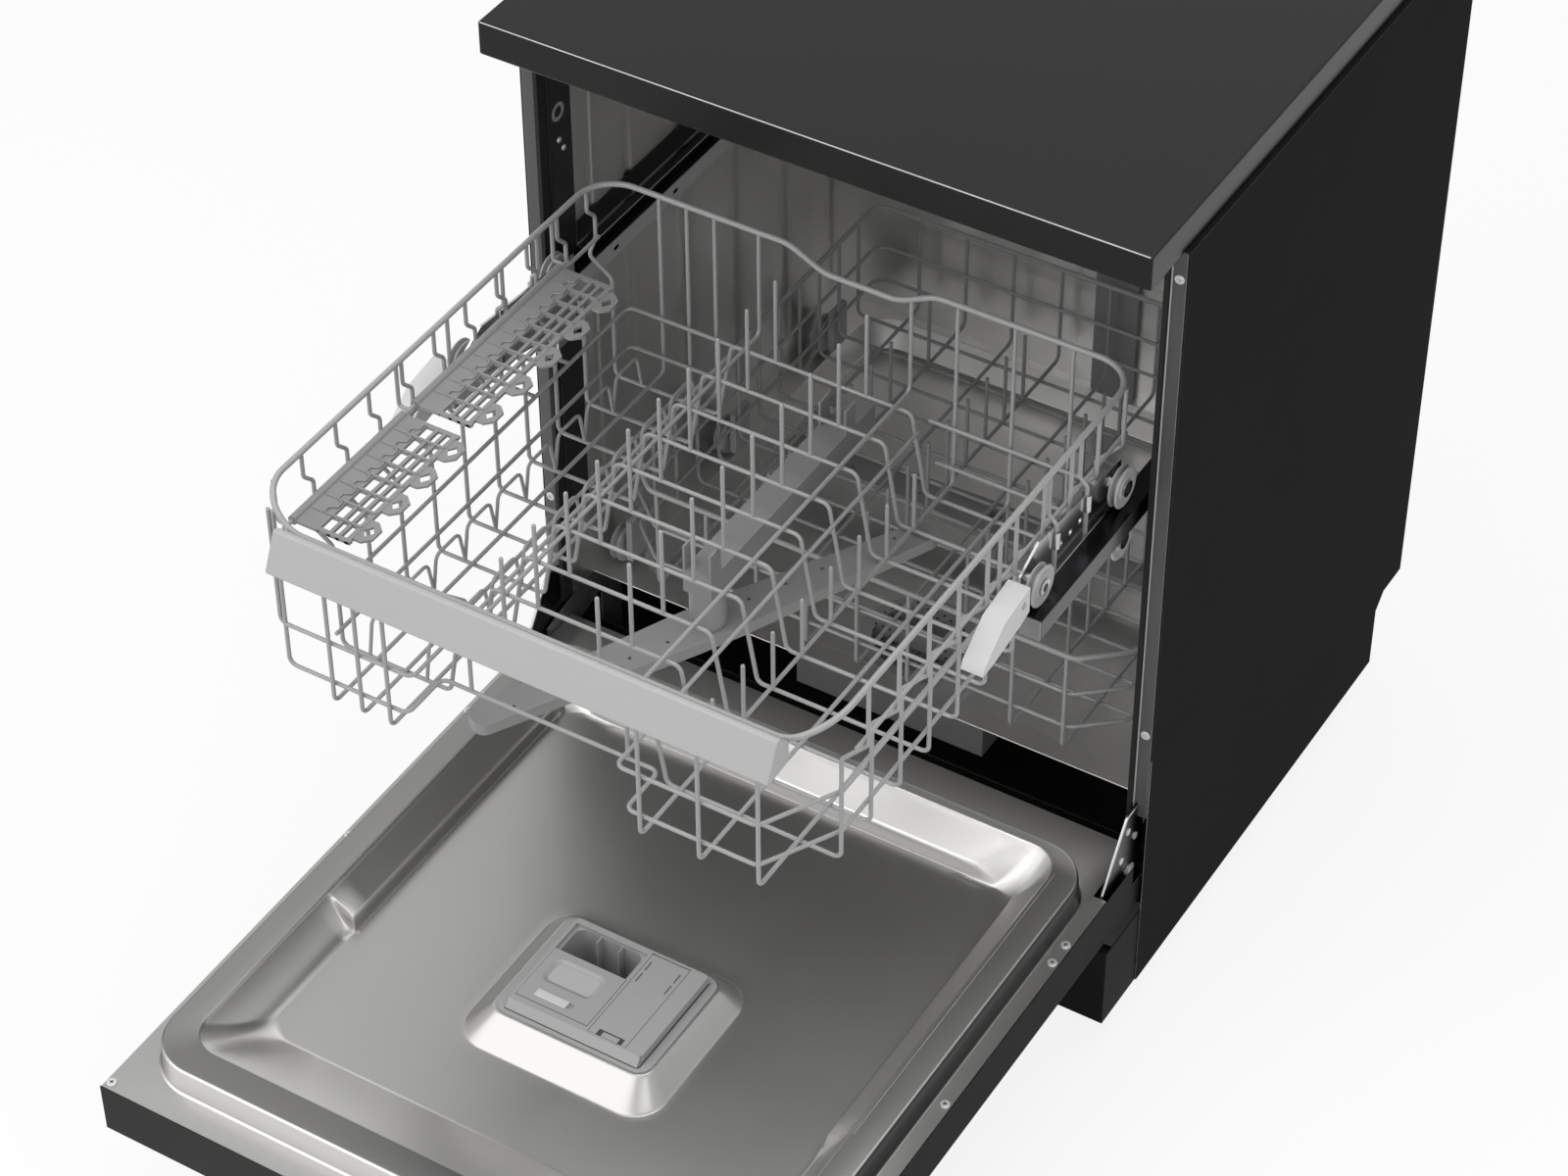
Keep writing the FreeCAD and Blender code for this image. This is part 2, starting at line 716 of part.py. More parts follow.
def long_top_edges(solid, level):
    top = [e for e in solid.Edges if e.BoundBox.ZMin > level - TOUCH]
    return [e for e in top if e.BoundBox.YLength > TUB_REAR / 2 and e.BoundBox.XLength < TOUCH]


def tub_rear_wall():
    sheet = box(-TUB_OUT, TUB_OUT, TUB_REAR, TUB_REAR + SHEET, LEDGE_Z, TUB_CEIL + SHEET)
    top = [
        e
        for e in sheet.Edges
        if e.BoundBox.ZMin > TUB_CEIL - TUB_CORNER_R and abs(e.BoundBox.YLength - SHEET) < TOUCH
    ]
    return sheet.makeFillet(TUB_CORNER_R + SHEET, top)


def tub_floor():
    block = box(-TUB_OUT, TUB_OUT, SILL_Y, TUB_REAR + SHEET, FLOOR_Z - 2 * PRESS_T, LEDGE_Z)
    edge_x = TUB_HALF - LEDGE_W
    front, rear = SILL_Y + LEDGE_W, TUB_REAR - FLOOR_DRAFT
    radius = TUB_CORNER_R
    bowl = frustum(
        (
            -edge_x + FLOOR_DRAFT,
            edge_x - FLOOR_DRAFT,
            front + FLOOR_DRAFT,
            rear - FLOOR_DRAFT,
            radius,
            FLOOR_Z,
        ),
        (-edge_x, edge_x, front, rear, radius + FLOOR_DRAFT, LEDGE_Z),
    )
    sheet = pressed(block.cut(bowl), PRESS_T)
    low = FLOOR_Z - 3 * PRESS_T
    sheet = sheet.cut(cyl((0, FILTER_Y, low), (0, 0, 1), FILTER_R + FILTER_HOLE_GAP, 4 * PRESS_T))
    return sheet.cut(cyl((0, STEM_Y, low), (0, 0, 1), STEM_R + FIT, 4 * PRESS_T))


def sump():
    top = FLOOR_Z - PRESS_T
    low = top - SUMP_DEPTH
    tank = box(-SUMP_X, SUMP_X, SUMP_Y0, SUMP_Y1, low, top)
    hollow = box(
        -SUMP_X + SUMP_WALL,
        SUMP_X - SUMP_WALL,
        SUMP_Y0 + SUMP_WALL,
        SUMP_Y1 - SUMP_WALL,
        low + SUMP_WALL,
        top,
    )
    stem = tube((0, STEM_Y, low + SUMP_WALL), (0, 0, 1), STEM_R, STEM_BORE, LSPRAY_Z - low - SUMP_WALL)
    spigot = tube((0, STEM_Y, LSPRAY_Z), (0, 0, 1), STEM_R - FILTER_WALL, STEM_BORE, ARM_THICK)
    arm_top = LSPRAY_Z + ARM_THICK
    cap = tube((0, STEM_Y, arm_top + FIT), (0, 0, 1), STEM_R + STEM_CAP, STEM_BORE, FILTER_WALL)
    neck = tube((0, STEM_Y, arm_top), (0, 0, 1), STEM_R - FILTER_WALL, STEM_BORE, FIT)
    side = V(SUMP_X - 2 * SUMP_WALL, STEM_Y - SUMP_X / 2, low + SUMP_DEPTH / 2)
    port = cyl(side, (1, 0, 0), STEM_R, 3 * SUMP_WALL)
    return tank.cut(hollow).fuse([stem, spigot, neck, cap]).cut(port).removeSplitter()


def circulation_pump():
    level = FLOOR_Z - PRESS_T - SUMP_DEPTH / 2
    y = STEM_Y - SUMP_X / 2
    inlet = cyl((SUMP_X, y, level), (1, 0, 0), STEM_R, SUMP_X / 4)
    inlet = inlet.cut(cyl((SUMP_X, y, level), (1, 0, 0), STEM_BORE, SUMP_X / 4))
    housing = cyl((SUMP_X + SUMP_X / 4, y, level - FIT), (1, 0, 0), PUMP_R, PUMP_L)
    motor = cyl((SUMP_X + SUMP_X / 2, y, level - FIT), (1, 0, 0), MOTOR_R, PUMP_L - SUMP_X / 2)
    return inlet.fuse([housing, motor]).removeSplitter()


def filter_cup():
    rim = cyl((0, FILTER_Y, FLOOR_Z + FIT), (0, 0, 1), FILTER_RIM_R, FILTER_WALL)
    body = cyl((0, FILTER_Y, FLOOR_Z + FIT - FILTER_DEPTH), (0, 0, 1), FILTER_R, FILTER_DEPTH)
    hollow = cyl(
        (0, FILTER_Y, FLOOR_Z + FIT - FILTER_DEPTH + FILTER_WALL),
        (0, 0, 1),
        FILTER_R - FILTER_WALL,
        FILTER_DEPTH + 2 * FILTER_WALL,
    )
    cross = box(
        -FILTER_R + FILTER_WALL / 2,
        FILTER_R - FILTER_WALL / 2,
        FILTER_Y - FILTER_WALL,
        FILTER_Y + FILTER_WALL,
        FLOOR_Z - FILTER_R / 4,
        FLOOR_Z + 4 * FILTER_WALL,
    )
    return rim.fuse(body).cut(hollow).fuse(cross).removeSplitter()


def spray_blade(y, z, reach, bore):
    half = ARM_HALF_W
    outline = [
        (-reach, y - ARM_TIP_W),
        (-half, y - half),
        (half, y - half),
        (reach, y - ARM_TIP_W),
        (reach, y + ARM_TIP_W),
        (half, y + half),
        (-half, y + half),
        (-reach, y + ARM_TIP_W),
    ]
    blade = prism_z(outline, z, z + ARM_THICK)
    upright = [e for e in blade.Edges if e.BoundBox.ZLength > ARM_THICK / 2]
    tips = [e for e in upright if abs(e.BoundBox.Center.x) > reach / 2]
    blade = blade.makeFillet(ARM_TIP_R, tips)
    blade = blade.cut(cyl((0, y, z), (0, 0, 1), bore, ARM_THICK))
    step = (reach - 2 * half) / JET_COUNT
    jets = []
    for side in (-1, 1):
        for index in range(JET_COUNT):
            place = (side * (2 * half + step * index), y + side * JET_R * 3, z + ARM_THICK / 2)
            jets.append(cyl(place, (0, 0, 1), JET_R, ARM_THICK))
    return blade.cut(Part.makeCompound(jets))


def lower_spray_arm():
    return spray_blade(STEM_Y, LSPRAY_Z + FIT / 2, LSPRAY_R, STEM_R - FILTER_WALL + RUN_FIT).common(
        box(-LSPRAY_R, LSPRAY_R, 0, CAB_D, LSPRAY_Z + FIT / 2, LSPRAY_Z + ARM_THICK)
    )


def front_frame():
    front, back = TUB_FRONT - FRAME_T, TUB_FRONT
    legs = []
    for side in (-1, 1):
        inner, narrow, wide = TUB_HALF, TUB_HALF + FRAME_LEG, FRAME_HALF
        for width, low, high in ((narrow, LEDGE_Z, RETURN_Z), (wide, RETURN_Z, TUB_CEIL)):
            x0, x1 = sorted((side * inner, side * width))
            legs.append(box(x0, x1, front, back, low, high))
    head = box(-FRAME_HALF, FRAME_HALF, front, back, TUB_CEIL, FRAME_TOP)
    latch_z = HINGE_Z + HINGE_Y - INNER_EDGE_Y - LATCH_SLOT
    strike = box(-LATCH_HALF, LATCH_HALF, front, back, latch_z - 2 * LATCH_T, latch_z + LATCH_T)
    return head.fuse(legs).cut(strike).removeSplitter()


def door_gasket():
    front = DOOR_CLOSED_FACE + GASKET_GAP
    inner, outer = TUB_HALF + FIT, TUB_HALF + FIT + GASKET_T
    level = TUB_CEIL + FIT
    legs = [
        box(x0, x1, front, GASKET_BACK, LEDGE_Z, level)
        for x0, x1 in ((-outer, -inner), (inner, outer))
    ]
    head = box(-outer, outer, front, GASKET_BACK, level, level + GASKET_T)
    return head.fuse(legs).removeSplitter()


def inlet_valve():
    y = BASE_REAR - BASE_WALL
    body = box(
        INLET_X - 2 * INLET_R,
        INLET_X + 2 * INLET_R,
        y - 2 * INLET_R,
        y,
        PORT_Z - INLET_R,
        PORT_Z + INLET_R,
    )
    collar = cyl((INLET_X, y, PORT_Z), (0, 1, 0), INLET_R - PORT_COLLAR, BASE_WALL)
    thread = cyl((INLET_X, BASE_REAR, PORT_Z), (0, 1, 0), INLET_R, INLET_L)
    bore = cyl((INLET_X, y - INLET_R, PORT_Z), (0, 1, 0), INLET_BORE, 3 * INLET_L)
    return body.fuse([collar, thread]).cut(bore).removeSplitter()


def drain_outlet():
    y = BASE_REAR - BASE_WALL
    flange = box(
        DRAIN_X - 2 * INLET_R,
        DRAIN_X + 2 * INLET_R,
        y - BASE_WALL,
        y,
        PORT_Z - INLET_R,
        PORT_Z + INLET_R,
    )
    collar = cyl((DRAIN_X, y, PORT_Z), (0, 1, 0), INLET_R - PORT_COLLAR, BASE_WALL)
    spigot = cyl((DRAIN_X, y + BASE_WALL, PORT_Z), (0, 1, 0), DRAIN_R, DRAIN_L)
    bore = cyl((DRAIN_X, y - BASE_WALL, PORT_Z), (0, 1, 0), DRAIN_BORE, BASE_WALL * 2 + DRAIN_L)
    return flange.fuse([collar, spigot]).cut(bore).removeSplitter()


def cord_gland():
    return tube((GLAND_X, BASE_REAR, PORT_Z), (0, 1, 0), GLAND_R, GLAND_R / 2, 2 * BASE_WALL)


def feed_pipe():
    pipe = box(-FEED_HALF, FEED_HALF, TUB_REAR - FEED_T, TUB_REAR, LEDGE_Z, FEED_TOP)
    hollow = box(
        -FEED_HALF + DUCT_WALL,
        FEED_HALF - DUCT_WALL,
        TUB_REAR - FEED_T + DUCT_WALL,
        TUB_REAR - DUCT_WALL,
        LEDGE_Z,
        FEED_TOP - DUCT_WALL,
    )
    level = (DUCT_Z0 + DUCT_Z1) / 2.0
    port = cyl((0, TUB_REAR - FEED_T, level), (0, 1, 0), DUCT_HALF / 2, 2 * DUCT_WALL)
    return pipe.cut(hollow).cut(port)


def hinge_brackets():
    tail = SILL_Y + 3 * BRACKET_BOSS_R
    outline = [
        (HINGE_Y - BRACKET_BOSS_R, HINGE_Z - BRACKET_BOSS_R),
        (HINGE_Y + BRACKET_BOSS_R, HINGE_Z - BRACKET_BOSS_R),
        (SILL_Y + BRACKET_BOSS_R, HINGE_Z),
        (SILL_Y + BRACKET_BOSS_R, BASE_TOP),
        (tail, BASE_TOP),
        (tail, RETURN_Z),
        (tail - BRACKET_BOSS_R, RETURN_Z),
        (SILL_Y, HINGE_Z + 2 * BRACKET_BOSS_R),
        (HINGE_Y - BRACKET_BOSS_R, HINGE_Z + BRACKET_BOSS_R),
    ]
    plate = prism_x(outline, BRACKET_X0, BRACKET_X0 + BRACKET_T)
    reach = ARM_X0 + ARM_T + FIT - BRACKET_X0
    pin = cyl((BRACKET_X0, HINGE_Y, HINGE_Z), (1, 0, 0), ARM_BORE_R - PIN_FIT, reach)
    spacer = cyl(
        (BRACKET_X0, HINGE_Y, HINGE_Z), (1, 0, 0), PIN_HEAD_R, ARM_X0 - FIT - BRACKET_X0
    )
    head = cyl((BRACKET_X0 + reach, HINGE_Y, HINGE_Z), (1, 0, 0), PIN_HEAD_R, PIN_HEAD_T)
    foot = box(BRACKET_X0, BASE_HALF, SILL_Y + BRACKET_BOSS_R, tail, BASE_TOP, BASE_TOP + BRACKET_T)
    return both(plate.fuse([pin, spacer, head, foot]).removeSplitter())


def hinge_arms():
    outline = [
        (HINGE_Y - ARM_REACH, HINGE_Z - ARM_DEPTH),
        (HINGE_Y - ARM_REACH, ARM_TOP_Z),
        (HINGE_NOTCH_Y, ARM_TOP_Z),
        (HINGE_NOTCH_Y + ARM_LEAN, DOOR_FLANGE_Z),
        (HINGE_Y - ARM_HEAD_FRONT, HINGE_Z + ARM_RISE),
        (HINGE_Y + ARM_HEAD_REAR, HINGE_Z + ARM_RISE),
        (HINGE_Y + ARM_WAIST_Y, HINGE_Z + ARM_WAIST_Z),
        (HINGE_Y + ARM_HEEL_Y, HINGE_Z - ARM_HEEL_Z),
        (HINGE_Y - ARM_CHIN_Y, HINGE_Z - ARM_CHIN_Z),
        (HINGE_Y - ARM_FOOT, HINGE_Z - ARM_DEPTH),
    ]
    plate = prism_x(outline, ARM_X0, ARM_X0 + ARM_T)
    return both(plate.cut(cyl((ARM_X0, HINGE_Y, HINGE_Z), (1, 0, 0), ARM_BORE_R, ARM_T)))


def cabinet_screws():
    heads = []
    x = HALF_W - SHEET - RETURN_W / 2
    for side in (-1, 1):
        for z in (RETURN_Z + 2 * RETURN_W, TOP_Z - 2 * RETURN_W):
            heads.append(screw_head(side * x, 0, z, (0, -1, 0)))
        for z in (STEP_Z + 2 * RETURN_W, CAB_H / 2, TOP_Z - 2 * RETURN_W):
            heads.append(screw_head(side * (HALF_W - RETURN_W), REAR_FACE, z, (0, 1, 0)))
    return Part.makeCompound(heads)


def door_inner_panel():
    slab = box(
        -DOOR_HALF + SEAM,
        DOOR_HALF - SEAM,
        INNER_EDGE_Y,
        INNER_TAIL_Y,
        BOWL_Z - 3 * PRESS_T,
        DOOR_FLANGE_Z,
    )
    rim = frustum(
        (-RIM_HALF, RIM_HALF, RIM_FRONT, RIM_REAR, RIM_R, DOOR_FLANGE_Z - PRESS_T),
        (
            -RIM_HALF + RIM_DRAFT,
            RIM_HALF - RIM_DRAFT,
            RIM_FRONT + RIM_DRAFT,
            RIM_REAR - RIM_DRAFT,
            RIM_R - RIM_DRAFT,
            RIM_TOP_Z,
        ),
    )
    bowl = frustum(
        (-BOWL_HALF, BOWL_HALF, BOWL_FRONT, BOWL_REAR, BOWL_R, BOWL_Z),
        (-BOWL_HALF_TOP, BOWL_HALF_TOP, BOWL_FRONT_TOP, BOWL_REAR_TOP, BOWL_R_TOP, RIM_TOP_Z),
    )
    mound = frustum(
        (MOUND_X0, MOUND_X1, MOUND_Y0, MOUND_Y1, MOUND_R, BOWL_Z - PRESS_T),
        (
            MOUND_X0 + MOUND_SLOPE,
            MOUND_X1 - MOUND_SLOPE / 2,
            MOUND_Y0 + MOUND_SLOPE,
            MOUND_Y1 - MOUND_SLOPE,
            MOUND_R / 2,
            MOUND_Z,
        ),
    )
    sheet = pressed(slab.fuse(rim).cut(bowl).fuse(mound), PRESS_T)
    window = box(
        DISP_X0 + DISP_LIP,
        DISP_X1 - DISP_LIP,
        DISP_Y0 + DISP_LIP,
        DISP_Y1 - DISP_LIP,
        BOWL_Z - 4 * PRESS_T,
        MOUND_Z,
    )
    notches = [
        box(x0, x1, HINGE_NOTCH_Y, INNER_TAIL_Y, BOWL_Z - 4 * PRESS_T, DOOR_FLANGE_Z)
        for x0, x1 in ((-DOOR_HALF, -HINGE_NOTCH_X), (HINGE_NOTCH_X, DOOR_HALF))
    ]
    slot_y = INNER_EDGE_Y + LATCH_SLOT
    slot = box(-LATCH_HALF, LATCH_HALF, slot_y, slot_y + LATCH_T, BOWL_Z, RIM_TOP_Z)
    return sheet.cut([window, slot] + notches)


def door_outer_panel():
    top = DOOR_FLANGE_Z - PRESS_T
    shell = box(-DOOR_HALF, DOOR_HALF, FASCIA_END + SEAM, DOOR_TAIL_Y, DOOR_OUT_Z, top)
    hollow = box(
        -DOOR_HALF + OUTER_T,
        DOOR_HALF - OUTER_T,
        FASCIA_END + SEAM,
        DOOR_TAIL_Y - OUTER_T,
        DOOR_OUT_Z + OUTER_T,
        top,
    )
    open_tail = [
        box(x0, x1, DOOR_TAIL_Y - OUTER_T, DOOR_TAIL_Y, DOOR_OUT_Z + OUTER_T, top)
        for x0, x1 in ((-DOOR_HALF, -TUB_HALF), (TUB_HALF, DOOR_HALF))
    ]
    relief = box(-DOOR_HALF, DOOR_HALF, HINGE_Y - FIT, DOOR_TAIL_Y, HINGE_Z - BRACKET_BOSS_R, top)
    return shell.cut(hollow).cut(open_tail + [relief])


def control_fascia():
    top = DOOR_FLANGE_Z - PRESS_T
    shell = box(-DOOR_HALF, DOOR_HALF, DOOR_EDGE_Y, FASCIA_END, DOOR_OUT_Z, top)
    lip = box(-DOOR_HALF, DOOR_HALF, DOOR_EDGE_Y, INNER_EDGE_Y - TOUCH, top, DOOR_FLANGE_Z)
    hollow = box(
        -DOOR_HALF + FASCIA_T,
        DOOR_HALF - FASCIA_T,
        DOOR_EDGE_Y + FASCIA_T,
        FASCIA_END,
        DOOR_OUT_Z + FASCIA_T,
        top,
    )
    grip = box(
        -GRIP_HALF - FASCIA_T,
        GRIP_HALF + FASCIA_T,
        GRIP_Y0 - FASCIA_T,
        GRIP_Y1 + FASCIA_T,
        DOOR_OUT_Z,
        DOOR_OUT_Z + GRIP_DEPTH + FASCIA_T,
    )
    pocket = box(-GRIP_HALF, GRIP_HALF, GRIP_Y0, GRIP_Y1, DOOR_OUT_Z, DOOR_OUT_Z + GRIP_DEPTH)
    window = box(DISPLAY_X0, DISPLAY_X1, DISPLAY_Y0, DISPLAY_Y1, DOOR_OUT_Z, DOOR_OUT_Z + DISPLAY_T)
    hole = cyl((BUTTON_X, BUTTON_Y, DOOR_OUT_Z), (0, 0, 1), BUTTON_R + FIT, FASCIA_T)
    return shell.cut(hollow).fuse([lip, grip]).cut([pocket, window, hole]).removeSplitter()


def display_strip():
    return box(
        DISPLAY_X0 + TOUCH,
        DISPLAY_X1 - TOUCH,
        DISPLAY_Y0 + TOUCH,
        DISPLAY_Y1 - TOUCH,
        DOOR_OUT_Z,
        DOOR_OUT_Z + DISPLAY_T,
    )


def power_button():
    stem = cyl((BUTTON_X, BUTTON_Y, DOOR_OUT_Z), (0, 0, 1), BUTTON_R, BUTTON_H)
    collar_z = DOOR_OUT_Z + FASCIA_T + FIT
    collar = cyl((BUTTON_X, BUTTON_Y, collar_z), (0, 0, 1), BUTTON_R + FASCIA_T, FASCIA_T)
    return stem.fuse(collar).removeSplitter()


def door_latch():
    y0 = INNER_EDGE_Y + LATCH_SLOT + FIT
    y1 = y0 + LATCH_T - 2 * FIT
    half = LATCH_HALF - FIT
    base_top = DOOR_FLANGE_Z - PRESS_T
    tip = DOOR_FLANGE_Z + LATCH_REACH
    tongue = box(-half, half, y0, y1, base_top - LATCH_REACH, tip)
    window = box(-half / 2, half / 2, y0, y1, DOOR_FLANGE_Z + LATCH_T, tip - LATCH_T)
    wide = half + LATCH_BASE
    base = box(-wide, wide, y0, y1 + LATCH_REACH, base_top - LATCH_T, base_top)
    return tongue.cut(window).fuse(base).removeSplitter()


def door_screws():
    x = DOOR_HALF - SCREW_R - 2 * SEAM
    heads = []
    for side in (-1, 1):
        for y in [INNER_EDGE_Y + RETURN_W / 2] + [HINGE_Y - back for back in DOOR_SCREW_BACK]:
            heads.append(screw_head(side * x, y, DOOR_FLANGE_Z, (0, 0, 1)))
    return Part.makeCompound(heads)


def dispenser_housing():
    lip = rounded_block(DISP_X0, DISP_X1, DISP_Y0, DISP_Y1, DISP_LIP, MOUND_Z, DISP_TOP_Z)
    body = box(
        DISP_X0 + DISP_LIP + FIT,
        DISP_X1 - DISP_LIP - FIT,
        DISP_Y0 + DISP_LIP + FIT,
        DISP_Y1 - DISP_LIP - FIT,
        DISP_BOTTOM_Z,
        MOUND_Z,
    )
    cup = box(CUP_X0, CUP_X1, CUP_Y0, CUP_Y1, CUP_FLOOR_Z, DISP_TOP_Z)
    lid_way = box(
        CUP_X0 - LID_SIDE,
        CUP_X1 + LID_SIDE,
        LID_FRONT - FIT,
        LID_FRONT + LID_LEN + LID_TRAVEL + FIT,
        DISP_TOP_Z - LID_T - FIT,
        DISP_TOP_Z,
    )
    flap_bed = box(
        FLAP_X0,
        FLAP_X1,
        DISP_Y0 + DISP_WALL,
        DISP_Y1 - DISP_WALL,
        DISP_TOP_Z - FLAP_T - FIT,
        DISP_TOP_Z,
    )
    tank = box(
        FLAP_X0 + TANK_GAP,
        FLAP_X1 - TANK_GAP,
        DISP_Y0 + DISP_LIP + TANK_GAP,
        DISP_Y1 - DISP_LIP - 2 * TANK_GAP,
        CUP_FLOOR_Z,
        DISP_TOP_Z - FLAP_T - FIT,
    )
    bx, by = latch_bar_corner()
    latch_way = box(
        bx - FIT,
        bx + LATCH_BAR_L + FIT,
        by - FIT,
        CUP_Y0,
        DISP_TOP_Z - LID_T - LATCH_PRESS,
        DISP_TOP_Z - LID_T,
    )
    ribs = [
        box(
            x - DISP_WALL / 4,
            x + DISP_WALL / 4,
            CUP_Y1 - 2 * DISP_LIP,
            CUP_Y1,
            CUP_FLOOR_Z,
            DISP_TOP_Z - LID_T - 2 * FIT,
        )
        for x in spaced(CUP_X0, CUP_X1, CUP_RIB_COUNT + 2)[1:-1]
    ]
    pin_y, pin_z = flap_axis()
    ears = cyl((FLAP_X0, pin_y, pin_z), (1, 0, 0), FLAP_PIN_R - PIN_FIT, FLAP_X1 - FLAP_X0)
    housing = lip.fuse(body).cut([cup, lid_way, latch_way, flap_bed, tank])
    return housing.fuse(ribs + [ears]).removeSplitter()


def flap_axis():
    return DISP_Y1 - DISP_WALL - FLAP_T / 2 - FIT, DISP_TOP_Z - FLAP_T / 2


def detergent_lid():
    x0 = CUP_X0 - LID_SIDE + FIT
    x1 = CUP_X1 + LID_SIDE - FIT
    z0 = DISP_TOP_Z - LID_T
    plate = box(x0, x1, LID_FRONT, LID_FRONT + LID_LEN, z0, DISP_TOP_Z)
    thumb = rounded_block(
        x0 + 2 * DISP_LIP,
        x1 - 3 * DISP_LIP,
        LID_FRONT + THUMB_FRONT,
        LID_FRONT + LID_LEN - THUMB_REAR,
        2 * DISP_LIP,
        DISP_TOP_Z - THUMB_DEPTH,
        DISP_TOP_Z,
    )
    bx, by = latch_bar_corner()
    slot = box(bx - FIT, bx + LATCH_BAR_L + FIT, by - FIT, by + LATCH_BAR_W + FIT, z0, DISP_TOP_Z)
    return plate.cut([thumb, slot])


def latch_bar_corner():
    return CUP_X0 + LATCH_BAR_SIDE, LID_FRONT + LATCH_BAR_BACK


def lid_latch_button():
    bx, by = latch_bar_corner()
    z0 = DISP_TOP_Z - LID_T + FIT
    return box(bx, bx + LATCH_BAR_L, by, by + LATCH_BAR_W, z0, z0 + LATCH_BAR_H)


def rinse_flap():
    pin_y, pin_z = flap_axis()
    x0, x1 = FLAP_X0 + FIT, FLAP_X1 - FIT
    plate = box(x0, x1, DISP_Y0 + DISP_WALL + FIT, pin_y, DISP_TOP_Z - FLAP_T, DISP_TOP_Z)
    barrel = cyl((x0, pin_y, pin_z), (1, 0, 0), FLAP_T / 2 - TOUCH, x1 - x0)
    bore = cyl((x0, pin_y, pin_z), (1, 0, 0), FLAP_PIN_R - PIN_FIT + RUN_FIT, x1 - x0)
    return plate.fuse(barrel).cut(bore).removeSplitter()


def rail_guides():
    low, high = RAIL_Z0 - FIT - GUIDE_T, RAIL_Z1 + FIT + GUIDE_T
    outer = box(GUIDE_LIP_X, TUB_HALF, GUIDE_FRONT, GUIDE_REAR, low, high)
    inner = box(
        GUIDE_LIP_X,
        TUB_HALF - GUIDE_T,
        GUIDE_FRONT,
        GUIDE_REAR,
        low + GUIDE_T,
        high - GUIDE_T,
    )
    return both(outer.cut(inner))


def rack_rails():
    back = RAIL_FRONT + RAIL_L
    outer = box(RAIL_X0, RAIL_X1, RAIL_FRONT, back, RAIL_Z0, RAIL_Z1)
    inner = box(RAIL_X0, RAIL_X1 - RAIL_T, RAIL_FRONT, back, RAIL_Z0 + RAIL_T, RAIL_Z1 - RAIL_T)
    return both(outer.cut(inner))


def rail_end_caps():
    nose = box(RAIL_X0, RAIL_X1, RAIL_FRONT - CAP_L / 3, RAIL_FRONT, RAIL_Z0, RAIL_Z1)
    low, high = RAIL_Z0 + RAIL_T, RAIL_Z1 - RAIL_T
    plug = box(RAIL_X0, RAIL_X1 - RAIL_T, RAIL_FRONT, RAIL_FRONT + CAP_L, low, high)
    return both(nose.fuse(plug).removeSplitter())


def roller_places():
    return (
        ("front", ROLLER_FRONT_Y, ROLLER_TOP_Z),
        ("rear", ROLLER_REAR_Y, ROLLER_TOP_Z),
        ("low", ROLLER_REAR_Y, ROLLER_LOW_Z),
    )


def roller_brackets():
    margin = ROLLER_R * 0.8
    outline = [
        (ROLLER_FRONT_Y - margin, ROLLER_TOP_Z - margin),
        (ROLLER_REAR_Y - margin, RAIL_Z0 - margin),
        (ROLLER_REAR_Y - margin, ROLLER_LOW_Z - margin),
        (ROLLER_REAR_Y + margin, ROLLER_LOW_Z - margin),
        (ROLLER_REAR_Y + margin, ROLLER_TOP_Z + margin),
        (ROLLER_FRONT_Y + margin, ROLLER_TOP_Z + 2 * margin),
        (ROLLER_FRONT_Y - margin, ROLLER_TOP_Z + margin),
    ]
    plate = prism_x(outline, PLATE_X0, PLATE_X0 + PLATE_T)
    first, last = LIFT_ROD_Y
    holes = [
        cyl((PLATE_X0, y, ROLLER_TOP_Z), (1, 0, 0), ROLLER_PIN_R * 0.7, PLATE_T)
        for y in spaced(first + 3 * SLOT_HALF, last - 3 * SLOT_HALF, 3)
    ]
    slots = [
        box(PLATE_X0, PLATE_X0 + PLATE_T, y - SLOT_HALF, y + SLOT_HALF, ROLLER_LOW_Z, UB_TOP)
        for y in LIFT_ROD_Y
    ]
    sleeves = [cyl((LIFT_ROD_X, y, SLEEVE_Z), (0, 0, 1), SLEEVE_R, SLEEVE_H) for y in LIFT_ROD_Y]
    bores = [cyl((LIFT_ROD_X, y, SLEEVE_Z), (0, 0, 1), WIRE_R + RUN_FIT, SLEEVE_H) for y in LIFT_ROD_Y]
    plate = plate.cut(Part.makeCompound(holes + slots)).fuse(sleeves).cut(Part.makeCompound(bores))
    pins = []
    face = PLATE_X0 + PLATE_T
    end = ROLLER_X0 + ROLLER_W + FIT
    for _, y, z in roller_places():
        pins.append(cyl((face, y, z), (1, 0, 0), ROLLER_PIN_R, end - face))
        pins.append(cyl((face, y, z), (1, 0, 0), ROLLER_HEAD_R, ROLLER_X0 - FIT - face))
        pins.append(cyl((end, y, z), (1, 0, 0), ROLLER_HEAD_R, ROLLER_HEAD_T))
    return both(plate.fuse(pins).removeSplitter())


def disc_wheel(side, x0, width, y, z, radius, pin):
    wheel = cyl((x0, y, z), (1, 0, 0), radius, width)
    wheel = wheel.makeFillet(width / 6, [e for e in wheel.Edges if e.Closed])
    groove = tube((x0 + width * 0.7, y, z), (1, 0, 0), radius * 0.78, radius * 0.5, width)
    wheel = wheel.cut(groove).cut(cyl((x0, y, z), (1, 0, 0), pin + RUN_FIT, width))
    return wheel if side > 0 else wheel.mirror(V(0, 0, 0), V(1, 0, 0))


